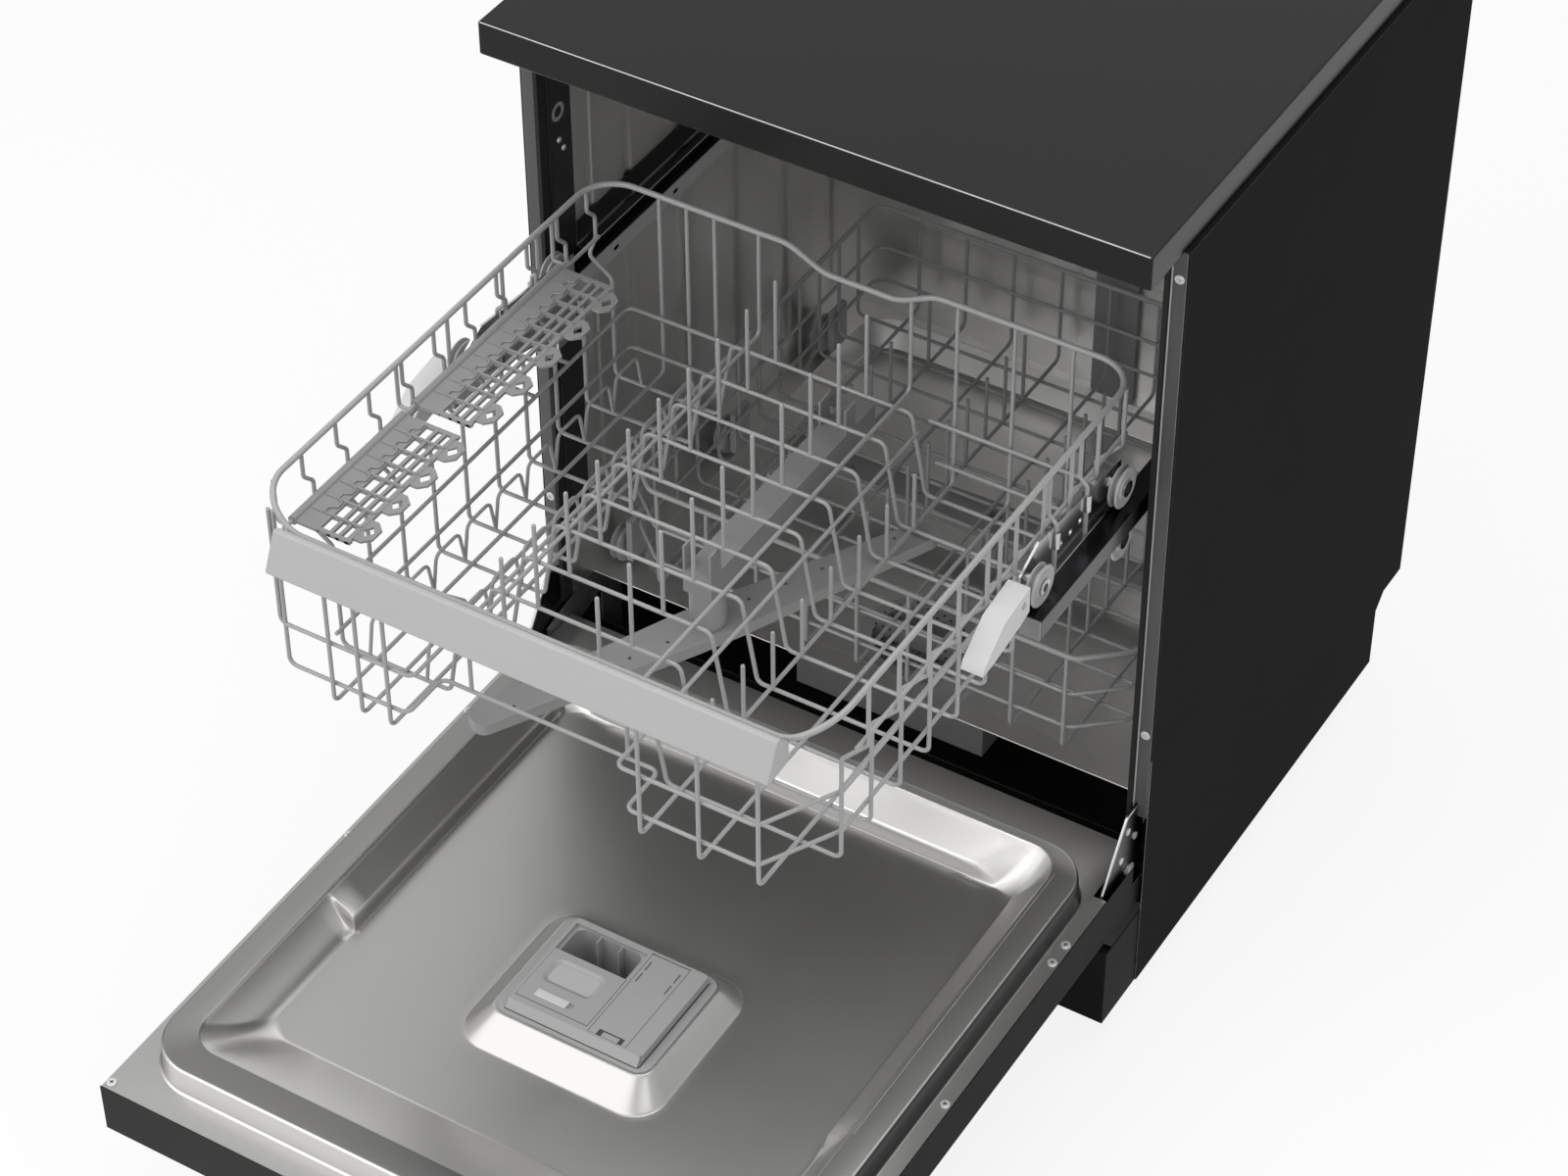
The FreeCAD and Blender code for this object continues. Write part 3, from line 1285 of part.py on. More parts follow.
def upper_ring():
    top, front = UB_TOP, UB_FRONT_TOP
    left = [
        (0, UB_FRONT, front),
        (-HANDLE_HALF - RING_R, UB_FRONT, front),
        (-UB_HALF, UB_FRONT + 4 * RING_R, top),
        (-UB_HALF, UB_REAR, top),
        (-2 * RING_BEND, UB_REAR, top),
        (-RING_BEND, UB_REAR, top - RING_BEND / 2),
        (0, UB_REAR, top - RING_BEND / 2),
    ]
    half = bend_wire(left, RING_R, RING_BEND)
    return half + mirrored(half)


def bay_spans():
    left = UB_MID_X - UB_MID_HALF - UB_BAY_RUN
    right = UB_MID_X + UB_MID_HALF + UB_BAY_RUN
    return (-UB_LOW_HALF, left), (right, UB_LOW_HALF)


def upper_cross_wire(y):
    top = UB_TOP - RING_R + WELD
    shoulder = UB_TOP - UB_SHOULDER_DROP
    low = shoulder - UB_SHOULDER_H
    (_, left), (right, _) = bay_spans()
    points = [
        (-UB_HALF, y, top),
        (-UB_HALF, y, top - 2 * JOG),
        (-UB_HALF, y + JOG, top - 3 * JOG),
        (-UB_HALF, y + JOG, top - 5 * JOG),
        (-UB_HALF, y, top - 6 * JOG),
        (-UB_LOW_HALF, y, low),
        (-UB_LOW_HALF, y, UB_BAY_Z),
        (left, y, UB_BAY_Z),
        (left + UB_BAY_RUN, y, UB_MID_Z),
        (right - UB_BAY_RUN, y, UB_MID_Z),
        (right, y, UB_BAY_Z),
        (UB_LOW_HALF, y, UB_BAY_Z),
        (UB_LOW_HALF, y, low),
        (UB_HALF, y, shoulder),
        (UB_HALF, y, top),
    ]
    return bend_wire(points, WIRE_R, WIRE_BEND)


def upper_long_wires():
    offset = 2 * WIRE_R - WELD
    front_top = UB_FRONT_TOP - RING_R + WELD
    solids = []
    for x, level, front in upper_long_places():
        dip = min(max(2 * RING_BEND - abs(x), 0), RING_BEND) / 2
        points = [(x, UB_FRONT, front_top)]
        if front > UB_FRONT:
            points.append((x, front, front_top - UB_POD_L))
        points += [
            (x, front, level + offset),
            (x, UB_REAR, level + offset),
            (x, UB_REAR, UB_TOP - dip - RING_R + WELD),
        ]
        solids += bend_wire(points, WIRE_R, WIRE_BEND)
    return solids


def upper_long_places():
    (left, left_in), (right_in, right) = bay_spans()
    bays = spaced(left + UB_CHAMFER_X, left_in - 2 * WIRE_BEND, 3)
    bays += spaced(right_in + 2 * WIRE_BEND, right - UB_CHAMFER_X, 3)
    return [(x, UB_BAY_Z, UB_FRONT) for x in bays] + [(x, UB_MID_Z, UB_POD_Y) for x in mid_long_places()]


def mid_long_places():
    reach = UB_MID_HALF - 2 * WIRE_BEND
    return UB_MID_X - reach, UB_MID_X + reach


def upper_bands():
    inset = 2 * WIRE_R - WELD
    out, front, rear = UB_LOW_HALF - inset, UB_FRONT + inset, UB_REAR - inset
    first = UB_CROSS_Y0 - JOG
    (_, left_in), (right_in, _) = bay_spans()
    paths = []
    for level, post in ((UB_BAND_LOW, UB_HALF - 2 * WIRE_BEND), (UB_BAND_MID, UB_HALF - 4 * RING_R + WELD)):
        lean = UB_BAY_RUN * (level - UB_BAY_Z) / (UB_MID_Z - UB_BAY_Z)
        x0, x1 = left_in + lean - inset, right_in - lean + inset
        left_pod = [(-post, front, UB_FRONT_TOP + JOG), (-post, front, level), (x0, front, level)]
        right_pod = [
            (x1, front, level),
            (out - UB_CHAMFER_X, front, level),
            (out, front + UB_CHAMFER_Y, level),
            (out, rear, level),
            (x1, rear, level),
        ]
        if level == UB_BAND_LOW:
            paths.append(left_pod + [(x0, UB_POD_Y, level), (x1, UB_POD_Y, level)] + right_pod)
        else:
            paths.append(left_pod + [(x0, rear, level)])
            paths.append([(x1, UB_CROSS_Y1, level)] + right_pod)
        paths.append([(-out, first, level), (-out, rear, level), (x0 - inset, rear, level)])
    solids = []
    for path in paths:
        solids += bend_wire(path, WIRE_R, WIRE_BEND)
    for x in (inset - UB_HALF, UB_HALF - inset):
        solids.append(rod(V(x, first, UB_BAND_TOP), V(x, UB_CROSS_Y1 + JOG, UB_BAND_TOP), WIRE_R))
    for x in mid_long_places():
        solids.append(rod(V(x, UB_POD_Y, UB_MID_Z + inset), V(x, UB_POD_Y, UB_BAND_LOW), WIRE_R))
    return solids


def upper_tines():
    rows = spaced(UB_CROSS_Y0, UB_CROSS_Y1, UB_CROSS_COUNT)
    solids = []
    for y in rows:
        for x in (UB_MID_X - UB_MID_HALF / 2, UB_MID_X + UB_MID_HALF / 2):
            solids.append(rod(V(x, y, UB_MID_Z + WIRE_R - WELD), V(x, y, UB_MID_Z + TINE_H), WIRE_R))
    x = UB_MID_X + UB_MID_HALF + 2 * UB_BAY_RUN
    for y in rows[1:-1]:
        solids.append(rod(V(x, y, UB_BAY_Z + WIRE_R - WELD), V(x, y, UB_BAY_Z + BAY_TINE_H), WIRE_R))
    return solids


def shelf_rod():
    x, z = SHELF_AXIS_X, SHELF_AXIS_Z
    bar = rod(V(x, SHELF_FRONT[0] - JOG, z), V(x, SHELF_REAR[1] + JOG, z), WIRE_R)
    stays = []
    for y in (SHELF_FRONT[0] - JOG / 2, (SHELF_FRONT[1] + SHELF_REAR[0]) / 2, SHELF_REAR[1] + JOG / 2):
        path = [(x, y, z), (-UB_HALF, y, z), (-UB_HALF, y, UB_TOP - RING_R + WELD)]
        stays += bend_wire(path, WIRE_R, WIRE_BEND / 2)
    return [bar] + stays


def lift_rods():
    top = UB_TOP - RING_R + WELD
    knee = SLEEVE_Z + SLEEVE_H + WIRE_BEND
    foot = SLEEVE_Z - LIFT - 2 * WIRE_R - RUN_FIT
    solids = []
    for y in LIFT_ROD_Y:
        path = [
            (UB_HALF, y, top),
            (UB_HALF, y, knee + WIRE_BEND),
            (LIFT_ROD_X, y, knee),
            (LIFT_ROD_X, y, foot),
            (UB_LOW_HALF - 2 * WIRE_R, y, foot),
        ]
        solids += bend_wire(path, WIRE_R, WIRE_BEND / 2)
    return solids + mirrored(solids)


def lever_pins():
    y, z = LEVER_PIVOT_Y, LEVER_PIVOT_Z
    stay = rod(V(UB_HALF, y, UB_TOP - RING_R + WELD), V(UB_HALF, y, z - LEVER_PIN_R), WIRE_R)
    pin = rod(V(UB_HALF, y, z), V(UB_HALF + RING_R + 2 * FIT + LEVER_T, y, z), LEVER_PIN_R)
    return [stay, pin] + mirrored([stay, pin])


def upper_basket():
    solids = upper_ring() + lift_rods() + lever_pins()
    for y in spaced(UB_CROSS_Y0, UB_CROSS_Y1, UB_CROSS_COUNT):
        solids += upper_cross_wire(y)
    solids += upper_long_wires()
    solids += upper_bands()
    solids += upper_tines()
    solids += shelf_rod()
    return Part.makeCompound(solids)


def rack_handle():
    outline = [
        (HANDLE_TOP_Y, HANDLE_TOP_Z),
        (HANDLE_LOW_Y, HANDLE_LOW_Z),
        (HANDLE_LOW_Y + HANDLE_T, HANDLE_LOW_Z - HANDLE_T / 2),
        (HANDLE_BACK_Y, HANDLE_LOW_Z),
        (HANDLE_BACK_Y, HANDLE_LOW_Z + HANDLE_T),
        (HANDLE_LOW_Y + 2 * HANDLE_T, HANDLE_LOW_Z + HANDLE_T),
        (HANDLE_TOP_Y + HANDLE_T, HANDLE_TOP_Z - HANDLE_T),
        (HANDLE_BACK_Y, HANDLE_TOP_Z - HANDLE_T),
        (HANDLE_BACK_Y, HANDLE_TOP_Z),
    ]
    return prism_x(outline, -HANDLE_HALF, HANDLE_HALF)


def cup_shelf(span):
    y0, y1 = span
    x0 = SHELF_AXIS_X
    x1 = SHELF_AXIS_X + SHELF_W
    z0 = SHELF_AXIS_Z - SHELF_T / 2
    plate = box(x0 + SHELF_BARREL_R / 2, x1, y0, y1, z0, z0 + SHELF_T)
    count = int((y1 - y0 - SHELF_BAR) / SHELF_PITCH)
    pitch = (y1 - y0 - SHELF_BAR) / count
    third = (SHELF_W - SHELF_BARREL_R - 3 * SHELF_BAR) / 3
    windows = []
    for index in range(count):
        start = y0 + SHELF_BAR + index * pitch
        for column in range(3):
            wx = x0 + SHELF_BARREL_R + SHELF_BAR / 2 + column * (third + SHELF_BAR)
            windows.append(box(wx, wx + third, start, start + pitch - SHELF_BAR, z0, z0 + SHELF_T))
    barrel = cyl((x0, y0, SHELF_AXIS_Z), (0, 1, 0), SHELF_BARREL_R, y1 - y0)
    bore = cyl((x0, y0, SHELF_AXIS_Z), (0, 1, 0), WIRE_R + RUN_FIT, y1 - y0)
    return plate.cut(Part.makeCompound(windows)).fuse(barrel).cut(bore).removeSplitter()


def height_lever(side):
    y, z = LEVER_PIVOT_Y, LEVER_PIVOT_Z
    outline = [
        (y + LEVER_HEAD, z + LEVER_CROWN),
        (y - LEVER_NECK, z + LEVER_NECK_RISE),
        (y - LEVER_REACH + LEVER_PIN_R, z - LEVER_CHIN),
        (y - LEVER_REACH, z - LEVER_TIP),
        (y - LEVER_REACH + LEVER_TIP_W, z - LEVER_TIP),
        (y - LEVER_PIN_R, z - LEVER_CHIN),
        (y + LEVER_HEAD, z - LEVER_CROWN),
    ]
    x0 = UB_HALF + RING_R + FIT
    plate = prism_x(outline, x0, x0 + LEVER_T)
    plate = plate.cut(cyl((x0, y, z), (1, 0, 0), LEVER_PIN_R + RUN_FIT, LEVER_T))
    return plate if side > 0 else plate.mirror(V(0, 0, 0), V(1, 0, 0))


def upper_spray_duct():
    rear = UB_REAR + WIRE_R
    duct = box(-DUCT_HALF, DUCT_HALF, RACK_MID_Y - HUB_R, rear, DUCT_Z0, DUCT_Z1)
    hollow = box(
        -DUCT_HALF + DUCT_WALL,
        DUCT_HALF - DUCT_WALL,
        RACK_MID_Y - HUB_R + DUCT_WALL,
        rear,
        DUCT_Z0 + DUCT_WALL,
        DUCT_Z1 - DUCT_WALL,
    )
    low = USPRAY_Z + ARM_THICK
    neck = cyl((0, RACK_MID_Y, low), (0, 0, 1), HUB_R, DUCT_Z0 - low)
    spigot = cyl((0, RACK_MID_Y, USPRAY_Z - FIT), (0, 0, 1), STEM_R - FILTER_WALL, low + FIT - USPRAY_Z)
    cap = cyl((0, RACK_MID_Y, USPRAY_Z - FIT - FILTER_WALL), (0, 0, 1), STEM_R + STEM_CAP, FILTER_WALL)
    bore = cyl((0, RACK_MID_Y, USPRAY_Z), (0, 0, 1), STEM_BORE, DUCT_Z0 - USPRAY_Z + DUCT_WALL)
    hangers = [
        box(x0, x0 + DUCT_WALL, y, y + HUB_R, DUCT_Z1, UB_MID_Z - WIRE_R)
        for y in (RACK_MID_Y - HUB_R, UB_REAR - 3 * HUB_R)
        for x0 in (-DUCT_HALF, DUCT_HALF - DUCT_WALL)
    ]
    return duct.cut(hollow).fuse([neck, spigot, cap] + hangers).cut(bore).removeSplitter()


def upper_spray_arm():
    top = USPRAY_Z + ARM_THICK - FIT / 2
    blade = spray_blade(RACK_MID_Y, USPRAY_Z, USPRAY_R, STEM_R - FILTER_WALL + RUN_FIT)
    blade = blade.common(box(-USPRAY_R, USPRAY_R, UB_FRONT, UB_REAR, USPRAY_Z, top))
    return blade.rotate(V(0, RACK_MID_Y, 0), V(0, 0, 1), USPRAY_TURN)


def lower_ring(level, radius, inset):
    cx, cy = LB_CHAMFER_X, LB_CHAMFER_Y
    half, front, rear = LB_HALF - inset, LB_FRONT + inset, LB_REAR - inset
    points = [
        (-half + cx, front, level),
        (half - cx, front, level),
        (half, front + cy, level),
        (half, rear, level),
        (-half, rear, level),
        (-half, front + cy, level),
    ]
    return closed_wire(points, radius, 2 * WIRE_BEND)


def lower_basket():
    top = LB_TOP - RING_R + WELD
    offset = 2 * WIRE_R - WELD
    solids = lower_ring(LB_TOP, RING_R, 0)
    for level in (LB_MID, LB_LOW):
        solids += lower_ring(level, WIRE_R, offset)
    rows = spaced(LB_FRONT + 2 * LB_CHAMFER_Y, LB_REAR - LB_CHAMFER_Y, LB_CROSS_COUNT)
    for y in rows:
        points = [(-LB_HALF, y, top), (-LB_HALF, y, LB_FLOOR), (LB_HALF, y, LB_FLOOR), (LB_HALF, y, top)]
        solids += bend_wire(points, WIRE_R, WIRE_BEND)
    columns = spaced(-LB_HALF + LB_CHAMFER_X + WIRE_BEND, LB_HALF - LB_CHAMFER_X - WIRE_BEND, LB_LONG_COUNT)
    for x in columns:
        level = LB_FLOOR + offset
        points = [(x, LB_FRONT, top), (x, LB_FRONT, level), (x, LB_REAR, level), (x, LB_REAR, top)]
        solids += bend_wire(points, WIRE_R, WIRE_BEND)
    for y in rows[1:-1]:
        for x in columns[1:-1:2]:
            base = LB_FLOOR + offset + WIRE_R - WELD
            solids.append(rod(V(x, y, base), V(x, y, LB_FLOOR + LB_TINE_H), WIRE_R))
    return Part.makeCompound(solids)


def wheel_places():
    return spaced(LB_FRONT + WHEEL_FRONT, LB_REAR - WHEEL_REAR, WHEEL_COUNT)


def wheel_clips():
    clips = []
    for y in wheel_places():
        end = WHEEL_X0 + WHEEL_W + FIT
        face = CLIP_X0 + CLIP_T
        plate = box(CLIP_X0, face, y - CLIP_HALF, y + CLIP_HALF, WHEEL_Z - WHEEL_R / 2, LB_LOW)
        pin = cyl((face, y, WHEEL_Z), (1, 0, 0), WHEEL_PIN_R, end - face)
        collar = cyl((face, y, WHEEL_Z), (1, 0, 0), ROLLER_HEAD_R, WHEEL_X0 - FIT - face)
        head = cyl((end, y, WHEEL_Z), (1, 0, 0), ROLLER_HEAD_R, ROLLER_HEAD_T)
        clips.append(both(plate.fuse([pin, collar, head]).removeSplitter()))
    return Part.makeCompound(clips)


def save(name, shape):
    placed = shape.copy()
    placed.translate(V(0, SHIFT_Y, 0))
    placed.exportStep("parts/" + name + ".step")


def build():
    os.makedirs("parts", exist_ok=True)
    right = side_panel()
    save("worktop", worktop())
    save("right_side_panel", right)
    save("left_side_panel", right.mirror(V(0, 0, 0), V(1, 0, 0)))
    save("rear_panel", rear_panel())
    save("base_tray", base_tray())
    save("levelling_feet", levelling_feet())
    save("plinth", plinth())
    save("tub_wrap", tub_wrap())
    save("tub_rear_wall", tub_rear_wall())
    save("tub_floor", tub_floor())
    save("sump", sump())
    save("circulation_pump", circulation_pump())
    save("filter_cup", filter_cup())
    save("lower_spray_arm", lower_spray_arm())
    save("front_frame", front_frame())
    save("door_gasket", door_gasket())
    save("inlet_valve", inlet_valve())
    save("drain_outlet", drain_outlet())
    save("cord_gland", cord_gland())
    save("feed_pipe", feed_pipe())
    save("hinge_brackets", hinge_brackets())
    save("cabinet_screws", cabinet_screws())
    save("rail_guides", rail_guides())
    save("hinge_arms", hinge_arms())
    save("door_inner_panel", door_inner_panel())
    save("door_outer_panel", door_outer_panel())
    save("control_fascia", control_fascia())
    save("display_strip", display_strip())
    save("power_button", power_button())
    save("door_latch", door_latch())
    save("door_screws", door_screws())
    save("dispenser_housing", dispenser_housing())
    save("detergent_lid", detergent_lid())
    save("lid_latch_button", lid_latch_button())
    save("rinse_flap", rinse_flap())
    save("rack_rails", rack_rails())
    save("rail_end_caps", rail_end_caps())
    save("roller_brackets", roller_brackets())
    for name, y, z in roller_places():
        for tag, side in (("left", -1), ("right", 1)):
            roller = disc_wheel(side, ROLLER_X0, ROLLER_W, y, z, ROLLER_R, ROLLER_PIN_R)
            save("roller_%s_%s" % (name, tag), roller)
    save("upper_basket", upper_basket())
    save("rack_handle", rack_handle())
    save("cup_shelf_front", cup_shelf(SHELF_FRONT))
    save("cup_shelf_rear", cup_shelf(SHELF_REAR))
    save("height_lever_left", height_lever(-1))
    save("height_lever_right", height_lever(1))
    save("upper_spray_duct", upper_spray_duct())
    save("upper_spray_arm", upper_spray_arm())
    save("lower_basket", lower_basket())
    save("wheel_clips", wheel_clips())
    for index, y in enumerate(wheel_places()):
        for tag, side in (("left", -1), ("right", 1)):
            wheel = disc_wheel(side, WHEEL_X0, WHEEL_W, y, WHEEL_Z, WHEEL_R, WHEEL_PIN_R)
            save("wheel_%d_%s" % (index + 1, tag), wheel)


build()
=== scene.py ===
"""Finishes and fine parts of a free-standing dishwasher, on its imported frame.

The door lies open and the upper rack is drawn out. Lengths are in metres: X runs to the right,
Y to the back and Z up from the floor.
"""

import json
import logging
import math
from dataclasses import dataclass
from enum import Enum
from typing import Callable, Iterable, Sequence

import bmesh
import bpy
from mathutils import Matrix, Vector


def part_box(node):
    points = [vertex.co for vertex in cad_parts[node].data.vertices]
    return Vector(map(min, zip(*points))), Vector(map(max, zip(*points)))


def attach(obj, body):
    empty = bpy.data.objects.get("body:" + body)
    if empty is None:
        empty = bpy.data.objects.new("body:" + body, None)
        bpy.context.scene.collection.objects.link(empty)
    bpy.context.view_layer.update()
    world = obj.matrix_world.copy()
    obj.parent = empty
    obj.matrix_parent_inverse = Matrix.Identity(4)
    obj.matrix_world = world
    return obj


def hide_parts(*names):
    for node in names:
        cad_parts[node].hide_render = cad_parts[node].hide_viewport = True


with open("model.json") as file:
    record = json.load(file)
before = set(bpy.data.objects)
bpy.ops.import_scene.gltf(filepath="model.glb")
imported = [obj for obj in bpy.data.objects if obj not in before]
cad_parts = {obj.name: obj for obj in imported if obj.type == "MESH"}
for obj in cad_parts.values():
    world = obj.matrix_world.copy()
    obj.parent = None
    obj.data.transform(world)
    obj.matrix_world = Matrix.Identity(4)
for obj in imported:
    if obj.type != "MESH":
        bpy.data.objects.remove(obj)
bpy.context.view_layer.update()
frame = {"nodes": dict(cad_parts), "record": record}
LOG = logging.getLogger("dishwasher")
PANEL_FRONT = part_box("right_side_panel")[0].y
MERGE = 1e-6
SIDES = (-1.0, 1.0)
LINE_RADIUS, LINE_BEND = 0.0005, 0.001

FLOAT, VECTOR, COLOUR = "NodeSocketFloat", "NodeSocketVector", "NodeSocketColor"

Colour = tuple[float, float, float]
Place = tuple[float, float, float]
Outline = list[tuple[float, float]]
BMesh, BMVert = bmesh.types.BMesh, bmesh.types.BMVert
Node, Socket, Tree = bpy.types.Node, bpy.types.NodeSocket, bpy.types.NodeTree
Piece, Material = bpy.types.Object, bpy.types.Material


def deep(y: float) -> float:
    """A depth measured back from the side panels' front edges, in the shared frame."""
    return PANEL_FRONT + y


def lerp(start: float, end: float, share: float) -> float:
    """The value that lies a share of the way from start to end."""
    return start + (end - start) * share


def smoothstep(low: float, high: float, value: float) -> float:
    """A soft step that rises from 0 at low to 1 at high."""
    share = min(1.0, max(0.0, (value - low) / (high - low)))
    return share * share * (3.0 - 2.0 * share)


def spaced(first: float, last: float, count: int) -> list[float]:
    """Evenly spaced values from first to last.

    Args:
        first: The first value.
        last: The last value.
        count: How many values there are.

    Returns:
        The values, both ends included.
    """
    return [lerp(first, last, index / (count - 1)) for index in range(count)]


class Canvas:
    """One node tree that is being drawn, with short calls to add and join nodes."""

    def __init__(self, tree: Tree) -> None:
        """Starts drawing on a tree."""
        self.tree = tree

    def add(self, kind: str, values: dict[str, object] | None = None, **settings: object) -> Node:
        """Adds a node.

        Args:
            kind: The node's type name.
            values: Input sockets by name, with the value that each one is set to.
            settings: Properties of the node itself.

        Returns:
            The new node.
        """
        node = self.tree.nodes.new(kind)
        for name, value in settings.items():
            setattr(node, name, value)
        for name, value in (values or {}).items():
            node.inputs[name].default_value = value
        return node

    def join(self, source: Socket, target: Socket) -> None:
        """Links an output socket to an input socket."""
        self.tree.links.new(source, target)

    def link(self, source: Node, output: str | int, target: Node, entry: str | int) -> None:
        """Links a node's output to another node's input."""
        self.join(source.outputs[output], target.inputs[entry])


class Effect(Enum):
    """Surface effects that several finishes share."""

    TONE = "tone_drift"
    SMUDGES = "smudges"
    BRUSHING = "brushing"
    GRAIN = "moulded_grain"
    WEAR = "edge_wear"


class EffectShop:
    """Builds each shared shader group once and places it in materials."""

    def __init__(self) -> None:
        """Starts with no group built."""
        self.groups: dict[Effect, Tree] = {}
        self.makers: dict[Effect, Callable[[Canvas, Node, Node], None]] = {
            Effect.TONE: self._tone,
            Effect.SMUDGES: self._smudges,
            Effect.BRUSHING: self._brushing,
            Effect.GRAIN: self._grain,
            Effect.WEAR: self._scuff_glint,
        }
        self.sockets: dict[Effect, tuple[tuple[str, str], ...]] = {
            Effect.TONE: (("Colour", COLOUR), ("Spread", FLOAT), ("Scale", FLOAT)),
            Effect.SMUDGES: (("Low", FLOAT), ("High", FLOAT), ("Scale", FLOAT)),
            Effect.BRUSHING: (("Stretch", VECTOR),),
            Effect.GRAIN: (("Scale", FLOAT),),
            Effect.WEAR: (("Radius", FLOAT), ("Patches", FLOAT)),
        }
        self.results: dict[Effect, tuple[str, str]] = {
            Effect.TONE: ("Colour", COLOUR),
            Effect.SMUDGES: ("Value", FLOAT),
            Effect.BRUSHING: ("Height", FLOAT),
            Effect.GRAIN: ("Height", FLOAT),
            Effect.WEAR: ("Mask", FLOAT),
        }

    def place(self, canvas: Canvas, effect: Effect, **values: object) -> Socket:
        """Places an effect in a material.

        Args:
            canvas: The material's tree.
            effect: The effect.
            values: The group's inputs by name.

        Returns:
            The effect's output socket.
        """
        node = canvas.add("ShaderNodeGroup", node_tree=self._group(effect))
        for name, value in values.items():
            node.inputs[name].default_value = value
        return node.outputs[0]

    def _group(self, effect: Effect) -> Tree:
        """The effect's group, built on first use.

        Args:
            effect: The effect.

        Returns:
            The group.
        """
        if effect not in self.groups:
            tree = bpy.data.node_groups.new(effect.value, "ShaderNodeTree")
            for name, kind in self.sockets[effect]:
                tree.interface.new_socket(name, in_out="INPUT", socket_type=kind)
            name, kind = self.results[effect]
            tree.interface.new_socket(name, in_out="OUTPUT", socket_type=kind)
            canvas = Canvas(tree)
            self.makers[effect](canvas, canvas.add("NodeGroupInput"), canvas.add("NodeGroupOutput"))
            self.groups[effect] = tree
        return self.groups[effect]

    @staticmethod
    def _noise(canvas: Canvas, detail: float, roughness: float = 0.55) -> Node:
        """A noise texture on the piece's own coordinates.

        Args:
            canvas: The group's tree.
            detail: How many finer layers it has.
            roughness: How strong the finer layers are.

        Returns:
            The texture node.
        """
        noise = canvas.add("ShaderNodeTexNoise", {"Detail": detail, "Roughness": roughness})
        canvas.join(canvas.add("ShaderNodeTexCoord").outputs["Object"], noise.inputs["Vector"])
        return noise

    def _tone(self, canvas: Canvas, given: Node, result: Node) -> None:
        """A colour that drifts lighter and darker in soft clouds.

        Args:
            canvas: The group's tree.
            given: Its inputs.
            result: Its outputs.
        """
        noise = self._noise(canvas, 3.0)
        shift = canvas.add("ShaderNodeMath", operation="MULTIPLY_ADD")
        shift.inputs[2].default_value = 1.0
        centred = canvas.add("ShaderNodeMath", operation="SUBTRACT")
        centred.inputs[1].default_value = 0.5
        tint = canvas.add("ShaderNodeHueSaturation")
        canvas.link(given, "Scale", noise, "Scale")
        canvas.link(noise, "Fac", centred, 0)
        canvas.link(centred, 0, shift, 0)
        canvas.link(given, "Spread", shift, 1)
        canvas.link(given, "Colour", tint, "Color")
        canvas.link(shift, 0, tint, "Value")
        canvas.link(tint, "Color", result, "Colour")

    def _smudges(self, canvas: Canvas, given: Node, result: Node) -> None:
        """A value that wanders between two limits, as handling marks do.

        Args:
            canvas: The group's tree.
            given: Its inputs.
            result: Its outputs.
        """
        noise = self._noise(canvas, 4.0, 0.6)
        spread = canvas.add(
            "ShaderNodeMapRange", {"From Min": 0.2, "From Max": 0.8}, interpolation_type="SMOOTHSTEP"
        )
        canvas.link(given, "Scale", noise, "Scale")
        canvas.link(noise, "Fac", spread, "Value")
        canvas.link(given, "Low", spread, "To Min")
        canvas.link(given, "High", spread, "To Max")
        canvas.link(spread, "Result", result, "Value")

    def _brushing(self, canvas: Canvas, given: Node, result: Node) -> None:
        """Fine parallel scratches, drawn out along one direction.

        Args:
            canvas: The group's tree.
            given: Its inputs.
            result: Its outputs.
        """
        mapping = canvas.add("ShaderNodeMapping")
        noise = canvas.add("ShaderNodeTexNoise", {"Scale": 1.0, "Detail": 2.0, "Roughness": 0.6})
        canvas.join(canvas.add("ShaderNodeTexCoord").outputs["Object"], mapping.inputs["Vector"])
        canvas.link(given, "Stretch", mapping, "Scale")
        canvas.link(mapping, "Vector", noise, "Vector")
        canvas.link(noise, "Fac", result, "Height")

    def _grain(self, canvas: Canvas, given: Node, result: Node) -> None:
        """The fine pebbled skin of a moulding or a powder coat.

        Args:
            canvas: The group's tree.
            given: Its inputs.
            result: Its outputs.
        """
        noise = self._noise(canvas, 2.0, 0.5)
        canvas.link(given, "Scale", noise, "Scale")
        canvas.link(noise, "Fac", result, "Height")

    def _scuff_glint(self, canvas: Canvas, given: Node, result: Node) -> None:
        """A mask along sharp edges, broken into patches, for wear and a painted highlight.

        Args:
            canvas: The group's tree.
            given: Its inputs.
            result: Its outputs.
        """
        rounded = canvas.add("ShaderNodeBevel", samples=4)
        facing = canvas.add("ShaderNodeVectorMath", operation="DOT_PRODUCT")
        edge = canvas.add("ShaderNodeMapRange", {"From Min": 0.99, "From Max": 0.75})
        noise = self._noise(canvas, 3.0)
        patch = canvas.add("ShaderNodeMath", operation="MULTIPLY")
        canvas.link(given, "Radius", rounded, "Radius")
        canvas.link(given, "Patches", noise, "Scale")
        canvas.link(rounded, "Normal", facing, 0)
        canvas.join(canvas.add("ShaderNodeNewGeometry").outputs["Normal"], facing.inputs[1])
        canvas.link(facing, "Value", edge, "Value")
        canvas.link(edge, "Result", patch, 0)
        canvas.link(noise, "Fac", patch, 1)
        canvas.link(patch, 0, result, "Mask")


EFFECTS = EffectShop()


